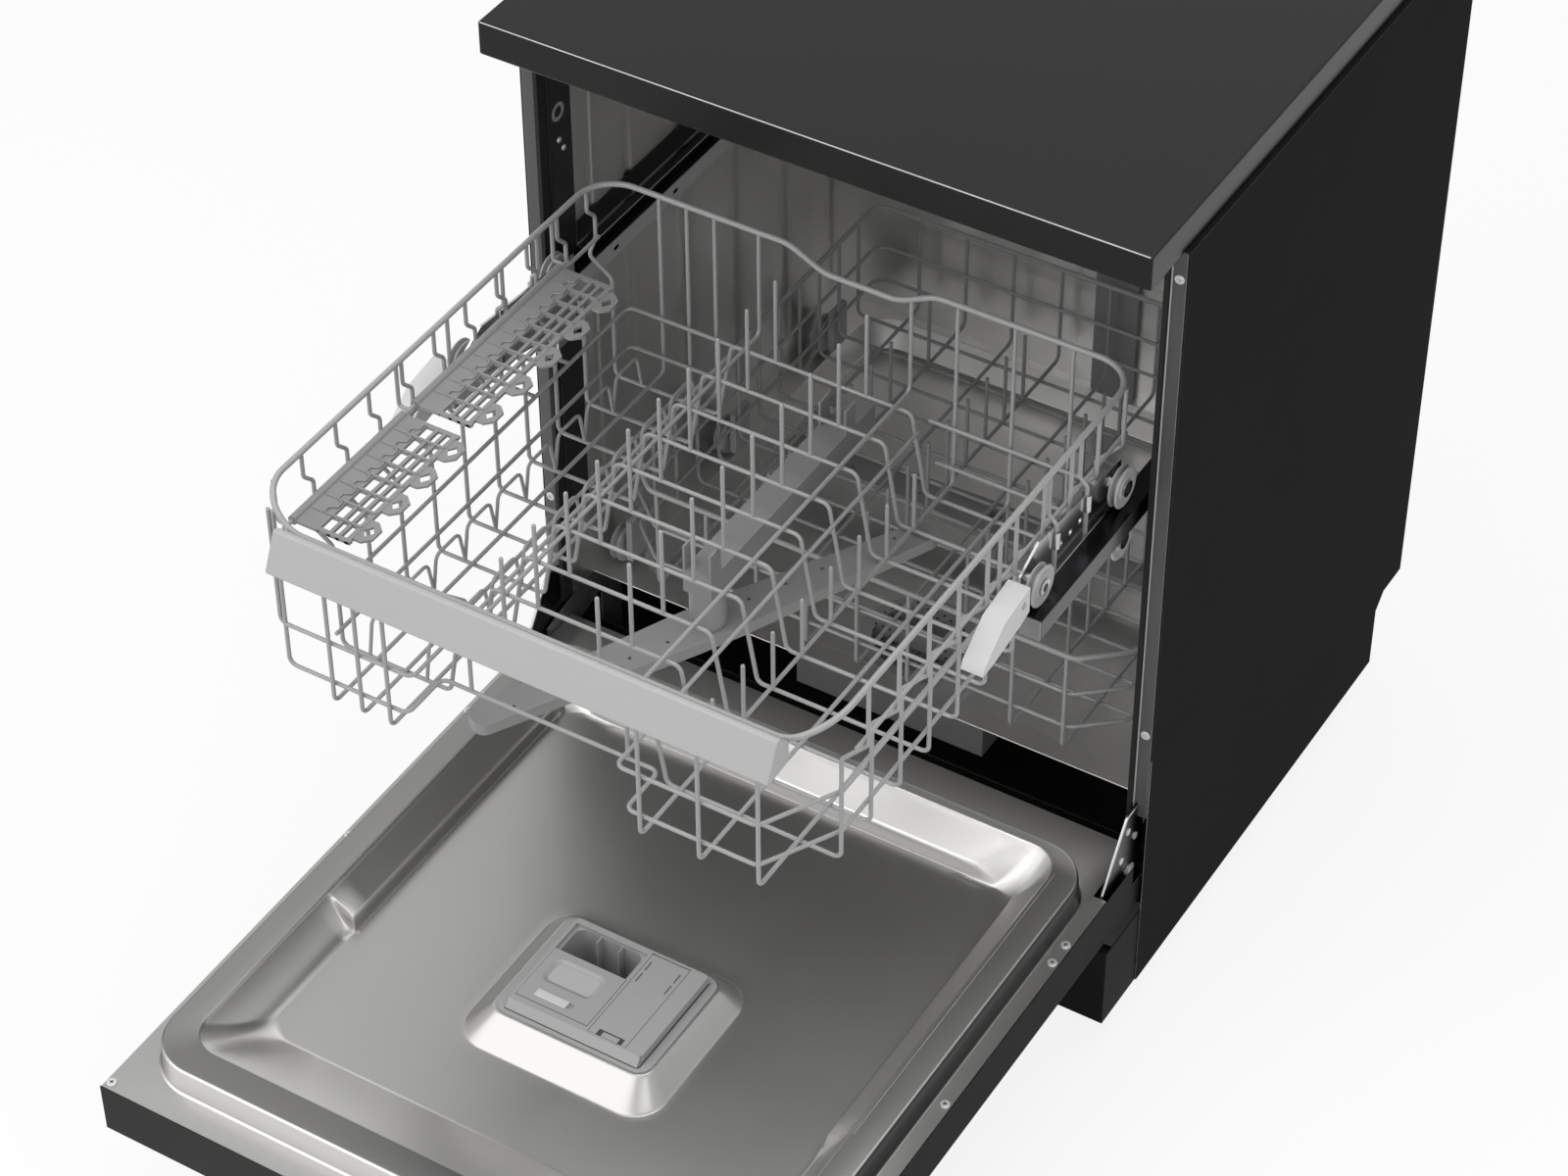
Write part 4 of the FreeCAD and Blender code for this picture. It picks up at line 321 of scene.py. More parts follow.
@dataclass(frozen=True)
class Finish:
    """How one of the record's material slots looks.

    Attributes:
        slot: The material slot.
        colour: The linear colour.
        roughness: The middle of the roughness range.
        tone: How far the colour drifts.
        tone_scale: Clouds of tone per metre.
        smudge: How far the roughness wanders, as a share of it.
        smudge_scale: Smudges per metre.
        specular: The shader's specular level.
        variant: Sets a second finish of the same slot apart.
    """

    slot: str
    colour: Colour
    roughness: float
    tone: float = 0.12
    tone_scale: float = 5.0
    smudge: float = 0.18
    smudge_scale: float = 8.0
    specular: float = 0.5
    variant: str = ""

    def key(self) -> str:
        """The finish's name among all finishes."""
        return self.slot + self.variant

    def material(self) -> Material:
        """The material, built on first use.

        Returns:
            The material.
        """
        name = self.key() + "_finish"
        made = bpy.data.materials.get(name)
        if made is None:
            made = bpy.data.materials.new(name)
            made.use_nodes = True
            shader = made.node_tree.nodes["Principled BSDF"]
            canvas = Canvas(made.node_tree)
            self.constants(shader)
            canvas.join(self.tint(canvas), shader.inputs["Base Color"])
            canvas.join(self.gloss(canvas), shader.inputs["Roughness"])
            self.relief(canvas, shader)
        return made

    def constants(self, shader: Node) -> None:
        """Sets the values that are the same all over the surface."""
        shader.inputs["Specular IOR Level"].default_value = self.specular

    def tint(self, canvas: Canvas) -> Socket:
        """The colour that drifts over the surface."""
        return EFFECTS.place(
            canvas, Effect.TONE, Colour=(*self.colour, 1.0), Spread=self.tone, Scale=self.tone_scale
        )

    def gloss(self, canvas: Canvas) -> Socket:
        """The roughness that wanders over the surface."""
        return EFFECTS.place(
            canvas,
            Effect.SMUDGES,
            Low=self.roughness * (1.0 - self.smudge),
            High=self.roughness * (1.0 + self.smudge),
            Scale=self.smudge_scale,
        )

    def relief(self, canvas: Canvas, shader: Node) -> None:
        """Adds the fine relief; the plain finish has none."""

    @staticmethod
    def bump(canvas: Canvas, height: Socket, depth: float, shader: Node) -> None:
        """Feeds a height to the shader's normal.

        Args:
            canvas: The material's tree.
            height: The height, from 0 to 1.
            depth: How far the relief stands, in metres.
            shader: The shader.
        """
        node = canvas.add("ShaderNodeBump", {"Strength": 1.0, "Distance": depth})
        canvas.join(height, node.inputs["Height"])
        canvas.link(node, "Normal", shader, "Normal")


@dataclass(frozen=True)
class SheetSteel(Finish):
    """Rolled steel with a brushed grain.

    Attributes:
        stretch: Scratches per metre along X, Y and Z.
        scratch_depth: How deep the scratches are.
        anisotropy: How far highlights are drawn out.
        metal: How metallic the surface is; a satin skin scatters the rest.
    """

    stretch: Place = (30.0, 900.0, 900.0)
    scratch_depth: float = 0.000012
    anisotropy: float = 0.25
    metal: float = 1.0

    def constants(self, shader: Node) -> None:
        """Makes the surface metal.

        Args:
            shader: The shader.
        """
        super().constants(shader)
        shader.inputs["Metallic"].default_value = self.metal
        shader.inputs["Anisotropic"].default_value = self.anisotropy

    def relief(self, canvas: Canvas, shader: Node) -> None:
        """Adds the brushed grain."""
        height = EFFECTS.place(canvas, Effect.BRUSHING, Stretch=self.stretch)
        self.bump(canvas, height, self.scratch_depth, shader)


@dataclass(frozen=True)
class SteelWithPaintedReflection(SheetSteel):
    """Brushed steel with a painted reflection, brighter in some places and duller in others.

    Attributes:
        polish: The mesh attribute that says how far the painted reflection lifts or dims a place, from -1 up.
    """

    polish: str = "polish"

    def tint(self, canvas: Canvas) -> Socket:
        """The drifting colour, brighter or duller where a reflection is painted.

        Args:
            canvas: The material's tree.

        Returns:
            The colour.
        """
        place = canvas.add("ShaderNodeAttribute", attribute_name=self.polish)
        gain = canvas.add("ShaderNodeMapRange", {"From Min": -1.0, "To Max": 2.0}, clamp=False)
        tone = canvas.add("ShaderNodeHueSaturation")
        canvas.link(place, "Fac", gain, "Value")
        canvas.join(super().tint(canvas), tone.inputs["Color"])
        canvas.link(gain, "Result", tone, "Value")
        return tone.outputs["Color"]


@dataclass(frozen=True)
class Moulded(Finish):
    """Moulded plastic, paint or laminate with a fine skin and paler edges, for slight wear and a painted
    highlight.

    Attributes:
        grain_scale: Pebbles per metre.
        grain_depth: How deep the grain is.
        scuff_glint: The grey of the edges, paler for wear and for a painted highlight.
        scuff_glint_radius: How wide the paler edges are.
    """

    grain_scale: float = 900.0
    grain_depth: float = 0.00003
    scuff_glint: float = 0.5
    scuff_glint_radius: float = 0.0012

    def tint(self, canvas: Canvas) -> Socket:
        """The drifting colour, paler along edges for wear and a painted highlight.

        Args:
            canvas: The material's tree.

        Returns:
            The colour.
        """
        mix = canvas.add("ShaderNodeMix", data_type="RGBA")
        # The edge mask pales edges for wear and for a painted highlight.
        mask = EFFECTS.place(canvas, Effect.WEAR, Radius=self.scuff_glint_radius, Patches=60.0)
        canvas.join(mask, mix.inputs["Factor"])
        canvas.join(super().tint(canvas), mix.inputs[6])
        mix.inputs[7].default_value = (self.scuff_glint, self.scuff_glint, self.scuff_glint, 1.0)
        return mix.outputs[2]

    def relief(self, canvas: Canvas, shader: Node) -> None:
        """Adds the pebbled skin."""
        height = EFFECTS.place(canvas, Effect.GRAIN, Scale=self.grain_scale)
        self.bump(canvas, height, self.grain_depth, shader)


@dataclass(frozen=True)
class Spangled(SheetSteel):
    """Galvanised sheet with its crystal pattern.

    Attributes:
        crystal_scale: Crystals per metre.
        crystal_spread: How far the crystals differ in tone.
    """

    crystal_scale: float = 70.0
    crystal_spread: float = 0.35

    def tint(self, canvas: Canvas) -> Socket:
        """Crystals of lighter and darker zinc.

        Args:
            canvas: The material's tree.

        Returns:
            The colour.
        """
        cells = canvas.add("ShaderNodeTexVoronoi", {"Scale": self.crystal_scale})
        canvas.join(canvas.add("ShaderNodeTexCoord").outputs["Object"], cells.inputs["Vector"])
        level = canvas.add("ShaderNodeMapRange", {"To Min": 1.0 - self.crystal_spread, "To Max": 1.0})
        tone = canvas.add("ShaderNodeHueSaturation")
        canvas.link(cells, "Color", level, "Value")
        canvas.join(super().tint(canvas), tone.inputs["Color"])
        canvas.link(level, "Result", tone, "Value")
        return tone.outputs["Color"]


@dataclass(frozen=True)
class Lacquered(Moulded):
    """A glossy plastic under a clear coat.

    Attributes:
        coat: The weight of the clear coat.
    """

    coat: float = 0.6

    def constants(self, shader: Node) -> None:
        """Adds the clear coat.

        Args:
            shader: The shader.
        """
        super().constants(shader)
        shader.inputs["Coat Weight"].default_value = self.coat
        shader.inputs["Coat Roughness"].default_value = 0.06


FINISHES: tuple[Finish, ...] = (
    Moulded(
        "worktop_laminate",
        (0.0075, 0.0075, 0.0077),
        0.24,
        tone=0.05,
        smudge=0.05,
        specular=0.19,
        scuff_glint=0.2,
    ),
    # A pale copy that paints the highlight along the worktop's front edge.
    Moulded("worktop_laminate", (0.5, 0.5, 0.5), 0.3, tone=0.05, variant="_edge"),
    Moulded(
        "charcoal_paint",
        (0.0165, 0.0165, 0.0168),
        0.5,
        tone=0.1,
        smudge=0.03,
        specular=0.003,
        grain_depth=0.00005,
        scuff_glint=0.16,
    ),
    Moulded(
        "charcoal_paint",
        (0.012, 0.012, 0.0122),
        0.38,
        tone=0.1,
        smudge=0.1,
        specular=0.012,
        grain_depth=0.00005,
        scuff_glint=0.16,
        variant="_front",
    ),
    # A lighter copy that paints the sheen on the folds' faces.
    Moulded("charcoal_paint", (0.06, 0.06, 0.062), 0.4, tone=0.05, smudge=0.04, variant="_fold"),
    # A pale copy that paints the highlights on the side panels' front edges and folds.
    Moulded("charcoal_paint", (0.5, 0.5, 0.5), 0.4, tone=0.05, variant="_edge"),
    Spangled("galvanised_sheet", (0.5, 0.51, 0.52), 0.45),
    Moulded("black_plastic", (0.012, 0.012, 0.0125), 0.5, specular=0.3, scuff_glint=0.06),
    SheetSteel("stainless", (0.7, 0.694, 0.682), 0.36, stretch=(700.0, 25.0, 700.0), scratch_depth=0.000005),
    # The door sheet's colour carries a painted reflection, stored on its mesh.
    SteelWithPaintedReflection(
        "stainless_door",
        (0.37, 0.366, 0.359),
        0.3,
        tone=0.05,
        smudge=0.06,
        stretch=(12.0, 120.0, 120.0),
        scratch_depth=0.000004,
        metal=0.86,
    ),
    Moulded("grey_plastic", (0.24, 0.24, 0.244), 0.45, scuff_glint=0.33),
    Moulded("frame_black", (0.01, 0.01, 0.0105), 0.35, specular=0.3, scuff_glint=0.05),
    Moulded("gasket_rubber", (0.011, 0.011, 0.011), 0.7, specular=0.25, grain_scale=500.0, scuff_glint=0.02),
    Moulded("white_plastic", (0.56, 0.56, 0.557), 0.38, tone=0.04, scuff_glint=0.66),
    SheetSteel("screw_steel", (0.62, 0.62, 0.63), 0.34, smudge=0.1, metal=0.5),
    SheetSteel("bright_steel", (0.5, 0.5, 0.51), 0.2),
    # A near-black copy that paints the dark reflection on the rails.
    SheetSteel("bright_steel", (0.05, 0.05, 0.053), 0.22, variant="_rail"),
    # A paler, less metallic copy for the rails' pierced faces and the painted highlights on the guides' lips.
    SheetSteel("bright_steel", (0.45, 0.45, 0.455), 0.36, smudge=0.1, metal=0.4, variant="_face"),
    SheetSteel("bright_steel", (0.05, 0.052, 0.056), 0.36, smudge=0.1, variant="_arm"),
    Moulded("fascia_plastic", (0.013, 0.013, 0.0135), 0.4, specular=0.12, scuff_glint=0.06),
    Lacquered("display_gloss", (0.004, 0.004, 0.005), 0.12, scuff_glint=0.02),
    Moulded("dispenser_plastic", (0.33, 0.33, 0.332), 0.42, tone=0.05, scuff_glint=0.36),
    Moulded("dispenser_plastic", (0.04, 0.04, 0.041), 0.5, tone=0.05, scuff_glint=0.06, variant="_shade"),
    Moulded("dispenser_plastic", (0.42, 0.42, 0.424), 0.4, tone=0.05, scuff_glint=0.44, variant="_pale"),
    Moulded("roller_plastic", (0.36, 0.36, 0.365), 0.4, scuff_glint=0.5),
    Moulded("roller_plastic", (0.2, 0.2, 0.205), 0.4, scuff_glint=0.3, variant="_cap"),
    Moulded("coated_wire", (0.32, 0.32, 0.325), 0.36, tone=0.08, scuff_glint=0.4),
    Moulded("handle_plastic", (0.38, 0.38, 0.384), 0.45, tone=0.04, scuff_glint=0.38),
    Moulded("shelf_plastic", (0.24, 0.24, 0.245), 0.44, scuff_glint=0.32),
)
FINISH_OF = {finish.key(): finish for finish in FINISHES}
SLOT_OF = {part["node"]: part["material_slot"] for part in frame["record"]["subparts"]}
BODY_OF = {node: body for body, nodes in frame["record"]["behaviour"]["bodies"].items() for node in nodes}


def object_from(name: str, shape: BMesh) -> Piece:
    """Turns a finished bmesh into an object of the scene.

    Args:
        name: The piece's name.
        shape: The bmesh, which is freed.

    Returns:
        The object.
    """
    mesh = bpy.data.meshes.new(name)
    shape.to_mesh(mesh)
    shape.free()
    made = bpy.data.objects.new(name, mesh)
    bpy.context.scene.collection.objects.link(made)
    return made


def plain(obj: Piece) -> Piece:
    """Turns an object's modifiers into a plain mesh.

    Args:
        obj: The object.

    Returns:
        The same object, with no modifiers.
    """
    evaluated = obj.evaluated_get(bpy.context.evaluated_depsgraph_get())
    mesh = bpy.data.meshes.new_from_object(evaluated)
    old = obj.data
    obj.modifiers.clear()
    obj.data = mesh
    bpy.data.meshes.remove(old)
    mesh.name = obj.name
    return obj


def shaded(obj: Piece, angle: float = 40.0) -> Piece:
    """Shades an object smooth, with sharp edges past an angle.

    Args:
        obj: The object.
        angle: The angle in degrees.

    Returns:
        The same object.
    """
    obj.data.shade_smooth()
    obj.data.set_sharp_from_angle(angle=math.radians(angle))
    return obj


def facing_out(name: str, shape: BMesh) -> Piece:
    """Turns the faces of a closed shape outwards and makes an object of it.

    Args:
        name: The piece's name.
        shape: The shape, which is freed.

    Returns:
        The object.
    """
    bmesh.ops.recalc_face_normals(shape, faces=shape.faces)
    return object_from(name, shape)


def thickened(name: str, shape: BMesh, thickness: float, angle: float) -> Piece:
    """Gives a sheet its thickness, behind its shown side.

    Args:
        name: The piece's name.
        shape: The sheet, which is freed.
        thickness: The thickness.
        angle: The angle in degrees past which its edges are sharp.

    Returns:
        The object.
    """
    made = object_from(name, shape)
    wall = made.modifiers.new("sheet", "SOLIDIFY")
    wall.thickness = thickness
    wall.offset = -1.0
    return shaded(plain(made), angle)


def hand_in(obj: Piece, body: str, slot: str, *nodes: str, variant: str = "") -> None:
    """Gives a piece its finish and body.

    Args:
        obj: The piece.
        body: The body that it moves with.
        slot: The material slot of its finish.
        nodes: The nodes that it stands for.
        variant: The slot's second finish, if the piece has that one.
    """
    obj.data.materials.clear()
    obj.data.materials.append(FINISH_OF[slot + variant].material())
    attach(obj, body)
    if nodes:
        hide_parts(*nodes)
    LOG.info("%s rides on %s with %s", obj.name, body, slot)


def rounded_off(name: str, shape: BMesh, width: float) -> Piece:
    """Rounds a shape's sharp edges.

    Args:
        name: The piece's name.
        shape: The shape, which is freed.
        width: How far the rounding reaches from the edge.

    Returns:
        The object.
    """
    flat = math.radians(0.5)
    bmesh.ops.dissolve_limit(shape, angle_limit=flat, verts=shape.verts, edges=shape.edges)
    made = object_from(name, shape)
    bevel = made.modifiers.new("rounding", "BEVEL")
    bevel.width = width
    bevel.segments = 3
    bevel.limit_method = "ANGLE"
    bevel.angle_limit = math.radians(30.0)
    made.modifiers.new("flat_faces", "WEIGHTED_NORMAL")
    made.data.shade_smooth()
    return plain(made)


def softened(node: str, width: float, variant: str = "") -> None:
    """Hands in a copy of a node with its sharp edges rounded, which stands for the node.

    Args:
        node: The node.
        width: How far the rounding reaches from the edge.
        variant: The slot's second finish, if the piece has that one.
    """
    shape = bmesh.new()
    shape.from_mesh(frame["nodes"][node].data)
    bmesh.ops.remove_doubles(shape, verts=shape.verts, dist=MERGE)
    made = rounded_off(node + "_soft", shape, width)
    hand_in(made, BODY_OF[node], SLOT_OF[node], node, variant=variant)


def islands(node: str) -> list[tuple[Vector, Vector]]:
    """The boxes of a node's separate solids.

    Args:
        node: The node.

    Returns:
        The low and high corner of each solid's box.
    """
    shape = bmesh.new()
    shape.from_mesh(frame["nodes"][node].data)
    bmesh.ops.remove_doubles(shape, verts=shape.verts, dist=MERGE)
    left = set(shape.verts)
    boxes = []
    while left:
        group, edge = set(), {left.pop()}
        while edge:
            group |= edge
            edge = {link.other_vert(vert) for vert in edge for link in vert.link_edges} - group
        left -= group
        spans = [[vert.co[axis] for vert in group] for axis in range(3)]
        boxes.append((Vector(map(min, spans)), Vector(map(max, spans))))
    shape.free()
    return boxes


def plate(shape: BMesh, outer: Sequence[Place], holes: Sequence[Sequence[Place]], push: Place) -> None:
    """Adds a flat plate with holes to a mesh.

    Args:
        shape: The mesh.
        outer: The plate's outline.
        holes: The outlines of its holes.
        push: The way from the outlined face to the other face.
    """
    edges = []
    for outline in (outer, *holes):
        verts = [shape.verts.new(point) for point in outline]
        edges += [shape.edges.new((verts[index - 1], verts[index])) for index in range(len(verts))]
    way = Vector(push)
    filled = bmesh.ops.triangle_fill(shape, edges=edges, use_beauty=True, normal=way.normalized())
    faces = [item for item in filled["geom"] if isinstance(item, bmesh.types.BMFace)]
    other = {vert: shape.verts.new(vert.co + way) for edge in edges for vert in edge.verts}
    for face in faces:
        shape.faces.new([other[vert] for vert in face.verts])
    for edge in edges:
        first, second = edge.verts
        shape.faces.new((first, second, other[second], other[first]))


def block(shape: BMesh, low: Place, high: Place) -> None:
    """Adds a box between two corners to a mesh.

    Args:
        shape: The mesh.
        low: The low corner.
        high: The high corner.
    """
    size = Vector(high) - Vector(low)
    middle = (Vector(high) + Vector(low)) / 2.0
    matrix = Matrix.Translation(middle) @ Matrix.Diagonal((*size, 1.0))
    bmesh.ops.create_cube(shape, size=1.0, matrix=matrix)


def closed_band(shape: BMesh, rings: Sequence[Sequence[BMVert]]) -> None:
    """Joins rings of points into a closed skin, the last ring to the first.

    Args:
        shape: The mesh.
        rings: The rings, all with the same count of points.
    """
    for index, ring in enumerate(rings):
        before = rings[index - 1]
        for spot in range(len(ring)):
            shape.faces.new((before[spot - 1], before[spot], ring[spot], ring[spot - 1]))


def open_sheet(shape: BMesh, rows: Sequence[Sequence[BMVert]]) -> None:
    """Joins rows of points into an open sheet.

    Args:
        shape: The mesh.
        rows: The rows, all with the same count of points.
    """
    for first, second in zip(rows, rows[1:]):
        for index in range(len(first) - 1):
            shape.faces.new((first[index], first[index + 1], second[index + 1], second[index]))


def oblong(x: float, y: float, half_long: float, half_wide: float, steps: int = 6) -> Outline:
    """The outline of a slot with round ends, its length along the first axis.

    Args:
        x: The slot's middle on the first axis.
        y: The slot's middle on the second axis.
        half_long: Half its length.
        half_wide: Half its width.
        steps: Faces round each end.

    Returns:
        The points of the outline.
    """
    points = []
    for sign in (1.0, -1.0):
        for index in range(steps + 1):
            angle = math.radians(-90.0 + 180.0 * index / steps) + (0.0 if sign > 0.0 else math.pi)
            centre = x + sign * (half_long - half_wide)
            points.append((centre + half_wide * math.cos(angle), y + half_wide * math.sin(angle)))
    return points


def turned(
    name: str, profile: Sequence[tuple[float, float]], start: Place, side: float, steps: int = 40
) -> Piece:
    """A piece turned on a lathe, its axis along X.

    Args:
        name: The piece's name.
        profile: Its closed outline, as radius and way along the axis.
        start: Where the way along the axis is 0.
        side: 1 if the axis runs to the right, -1 if it runs to the left.
        steps: Faces round the axis.

    Returns:
        The object.
    """
    shape = bmesh.new()
    rings = []
    for radius, along in profile:
        ring = []
        for index in range(steps):
            angle = math.tau * index / steps
            offset = (side * along, radius * math.cos(angle), radius * math.sin(angle))
            ring.append(shape.verts.new(Vector(start) + Vector(offset)))
        rings.append(ring)
    closed_band(shape, rings)
    return shaded(facing_out(name, shape))


@dataclass(frozen=True)
class Spot:
    """A place where a pattern stands.

    Attributes:
        place: The place.
        facing: The direction that the pattern's Z axis takes.
    """

    place: Place
    facing: Place = (0.0, 0.0, 1.0)


class Form(Enum):
    """The Geometry Nodes forms."""

    PATTERN = "pattern_on_points"
    WIRES = "wires_along_paths"
    BARS = "row_of_bars"


class FormShop:
    """Builds each Geometry Nodes form once and grows pieces from it."""

    def __init__(self) -> None:
        """Starts with no form built."""
        self.trees: dict[Form, Tree] = {}
        self.makers: dict[Form, Callable[[Canvas, Node], Socket]] = {
            Form.PATTERN: self._pattern,
            Form.WIRES: self._wires,
            Form.BARS: self._bars,
        }
        self.sockets: dict[Form, tuple[tuple[str, str], ...]] = {
            Form.PATTERN: (("Pattern", "NodeSocketObject"),),
            Form.WIRES: (("Radius", FLOAT), ("Bend", FLOAT)),
            Form.BARS: (("Count", "NodeSocketInt"), ("Start", VECTOR), ("Step", VECTOR), ("Size", VECTOR)),
        }

    def pattern(
        self, name: str, draw: Callable[[BMesh], None], spots: Sequence[Spot], body: str, slot: str
    ) -> None:
        """Repeats a small pattern at many spots and hands the piece in.

        Args:
            name: The piece's name.
            draw: Draws the pattern about the origin.
            spots: Where the pattern stands.
            body: The body that the piece moves with.
            slot: The material slot of its finish.
        """
        shape = bmesh.new()
        draw(shape)
        bmesh.ops.recalc_face_normals(shape, faces=shape.faces)
        mesh = bpy.data.meshes.new(name + "_pattern")
        shape.to_mesh(mesh)
        shape.free()
        sample = shaded(bpy.data.objects.new(mesh.name, mesh))
        points = bmesh.new()
        layer = points.verts.layers.float_vector.new("facing")
        for spot in spots:
            points.verts.new(spot.place)[layer] = Vector(spot.facing)
        self._grow(object_from(name, points), Form.PATTERN, body, slot, Pattern=sample)
        bpy.data.objects.remove(sample)
        bpy.data.meshes.remove(mesh)

    def wires(
        self,
        name: str,
        paths: Iterable[Sequence[Place]],
        radius: float,
        bend: float,
        body: str,
        slot: str,
        variant: str = "",
    ) -> None:
        """Bends round wires along paths and hands the piece in.

        Args:
            name: The piece's name.
            paths: The corner points of each wire.
            radius: The wires' radius.
            bend: The radius of their bends.
            body: The body that the piece moves with.
            slot: The material slot of its finish.
            variant: The slot's second finish, if the piece has that one.
        """
        shape = bmesh.new()
        for path in paths:
            verts = [shape.verts.new(point) for point in path]
            for first, second in zip(verts, verts[1:]):
                shape.edges.new((first, second))
        self._grow(object_from(name, shape), Form.WIRES, body, slot, variant, Radius=radius, Bend=bend)

    def bars(
        self, name: str, count: int, start: Place, step: Place, size: Place, body: str, slot: str
    ) -> None:
        """Sets equal bars in a row and hands the piece in.

        Args:
            name: The piece's name.
            count: How many bars there are.
            start: The first bar's middle.
            step: The way from one bar to the next.
            size: The bars' size.
            body: The body that the piece moves with.
            slot: The material slot of its finish.
        """
        base = object_from(name, bmesh.new())
        self._grow(base, Form.BARS, body, slot, Count=count, Start=start, Step=step, Size=size)

    def _grow(
        self, base: Piece, form: Form, body: str, slot: str, variant: str = "", **values: object
    ) -> None:
        """Grows a form on a base, leaves the plain mesh and hands it in.

        Args:
            base: The object that the form grows on.
            form: The form.
            body: The body that the piece moves with.
            slot: The material slot of its finish.
            variant: The slot's second finish, if the piece has that one.
            values: The form's inputs by name.
        """
        tree = self._tree(form)
        modifier = base.modifiers.new(form.value, "NODES")
        modifier.node_group = tree
        values["Finish"] = FINISH_OF[slot + variant].material()
        for item in tree.interface.items_tree:
            if item.name in values:
                modifier[item.identifier] = values[item.name]
        hand_in(plain(base), body, slot, variant=variant)

    def _tree(self, form: Form) -> Tree:
        """The form's tree, built on first use.

        Args:
            form: The form.

        Returns:
            The tree.
        """
        if form not in self.trees:
            tree = bpy.data.node_groups.new(form.value, "GeometryNodeTree")
            tree.interface.new_socket("Geometry", in_out="INPUT", socket_type="NodeSocketGeometry")
            for name, kind in (*self.sockets[form], ("Finish", "NodeSocketMaterial")):
                tree.interface.new_socket(name, in_out="INPUT", socket_type=kind)
            tree.interface.new_socket("Geometry", in_out="OUTPUT", socket_type="NodeSocketGeometry")
            canvas = Canvas(tree)
            given = canvas.add("NodeGroupInput")
            solid = canvas.add("GeometryNodeRealizeInstances")
            dressed = canvas.add("GeometryNodeSetMaterial")
            canvas.join(self.makers[form](canvas, given), solid.inputs["Geometry"])
            canvas.link(solid, "Geometry", dressed, "Geometry")
            canvas.link(given, "Finish", dressed, "Material")
            canvas.join(dressed.outputs["Geometry"], canvas.add("NodeGroupOutput").inputs["Geometry"])
            self.trees[form] = tree
        return self.trees[form]

    @staticmethod
    def _pattern(canvas: Canvas, given: Node) -> Socket:
        """Copies of an object on points, each turned to face its own way.

        Args:
            canvas: The form's tree.
            given: Its inputs.

        Returns:
            The copies.
        """
        info = canvas.add("GeometryNodeObjectInfo")
        facing = canvas.add("GeometryNodeInputNamedAttribute", {"Name": "facing"}, data_type="FLOAT_VECTOR")
        turn = canvas.add("FunctionNodeAlignRotationToVector", axis="Z")
        copies = canvas.add("GeometryNodeInstanceOnPoints")
        canvas.link(given, "Pattern", info, "Object")
        canvas.link(facing, "Attribute", turn, "Vector")
        canvas.link(given, "Geometry", copies, "Points")
        canvas.link(info, "Geometry", copies, "Instance")
        canvas.link(turn, "Rotation", copies, "Rotation")
        return copies.outputs["Instances"]

    @staticmethod
    def _wires(canvas: Canvas, given: Node) -> Socket:
        """Round wires along edges, with bent corners.

        Args:
            canvas: The form's tree.
            given: Its inputs.

        Returns:
            The wires.
        """
        line = canvas.add("GeometryNodeMeshToCurve")
        bent = canvas.add("GeometryNodeFilletCurve", {"Count": 5, "Limit Radius": True}, mode="POLY")
        section = canvas.add("GeometryNodeCurvePrimitiveCircle", {"Resolution": 10})
        wire = canvas.add("GeometryNodeCurveToMesh", {"Fill Caps": True})
        soft = canvas.add("GeometryNodeSetShadeSmooth")
        canvas.link(given, "Geometry", line, "Mesh")
        canvas.link(line, "Curve", bent, "Curve")
        canvas.link(given, "Bend", bent, "Radius")
        canvas.link(given, "Radius", section, "Radius")
        canvas.link(bent, "Curve", wire, "Curve")
        canvas.link(section, "Curve", wire, "Profile Curve")
        canvas.link(wire, "Mesh", soft, "Geometry")
        return soft.outputs["Geometry"]

    @staticmethod
    def _bars(canvas: Canvas, given: Node) -> Socket:
        """Equal boxes in a row.

        Args:
            canvas: The form's tree.
            given: Its inputs.

        Returns:
            The boxes.
        """
        row = canvas.add("GeometryNodeMeshLine")
        bar = canvas.add("GeometryNodeMeshCube")
        copies = canvas.add("GeometryNodeInstanceOnPoints")
        canvas.link(given, "Count", row, "Count")
        canvas.link(given, "Start", row, "Start Location")
        canvas.link(given, "Step", row, "Offset")
        canvas.link(given, "Size", bar, "Size")
        canvas.link(row, "Mesh", copies, "Points")
        canvas.link(bar, "Mesh", copies, "Instance")
        return copies.outputs["Instances"]


FORMS = FormShop()


def disc(shape: BMesh, radius: float, height: float) -> None:
    """Draws a low cylinder that stands on the origin.

    Args:
        shape: The mesh that it is drawn in.
        radius: Its radius.
        height: Its height.
    """
    matrix = Matrix.Translation((0.0, 0.0, height / 2.0))
    bmesh.ops.create_cone(
        shape, cap_ends=True, segments=20, radius1=radius, radius2=radius, depth=height, matrix=matrix
    )


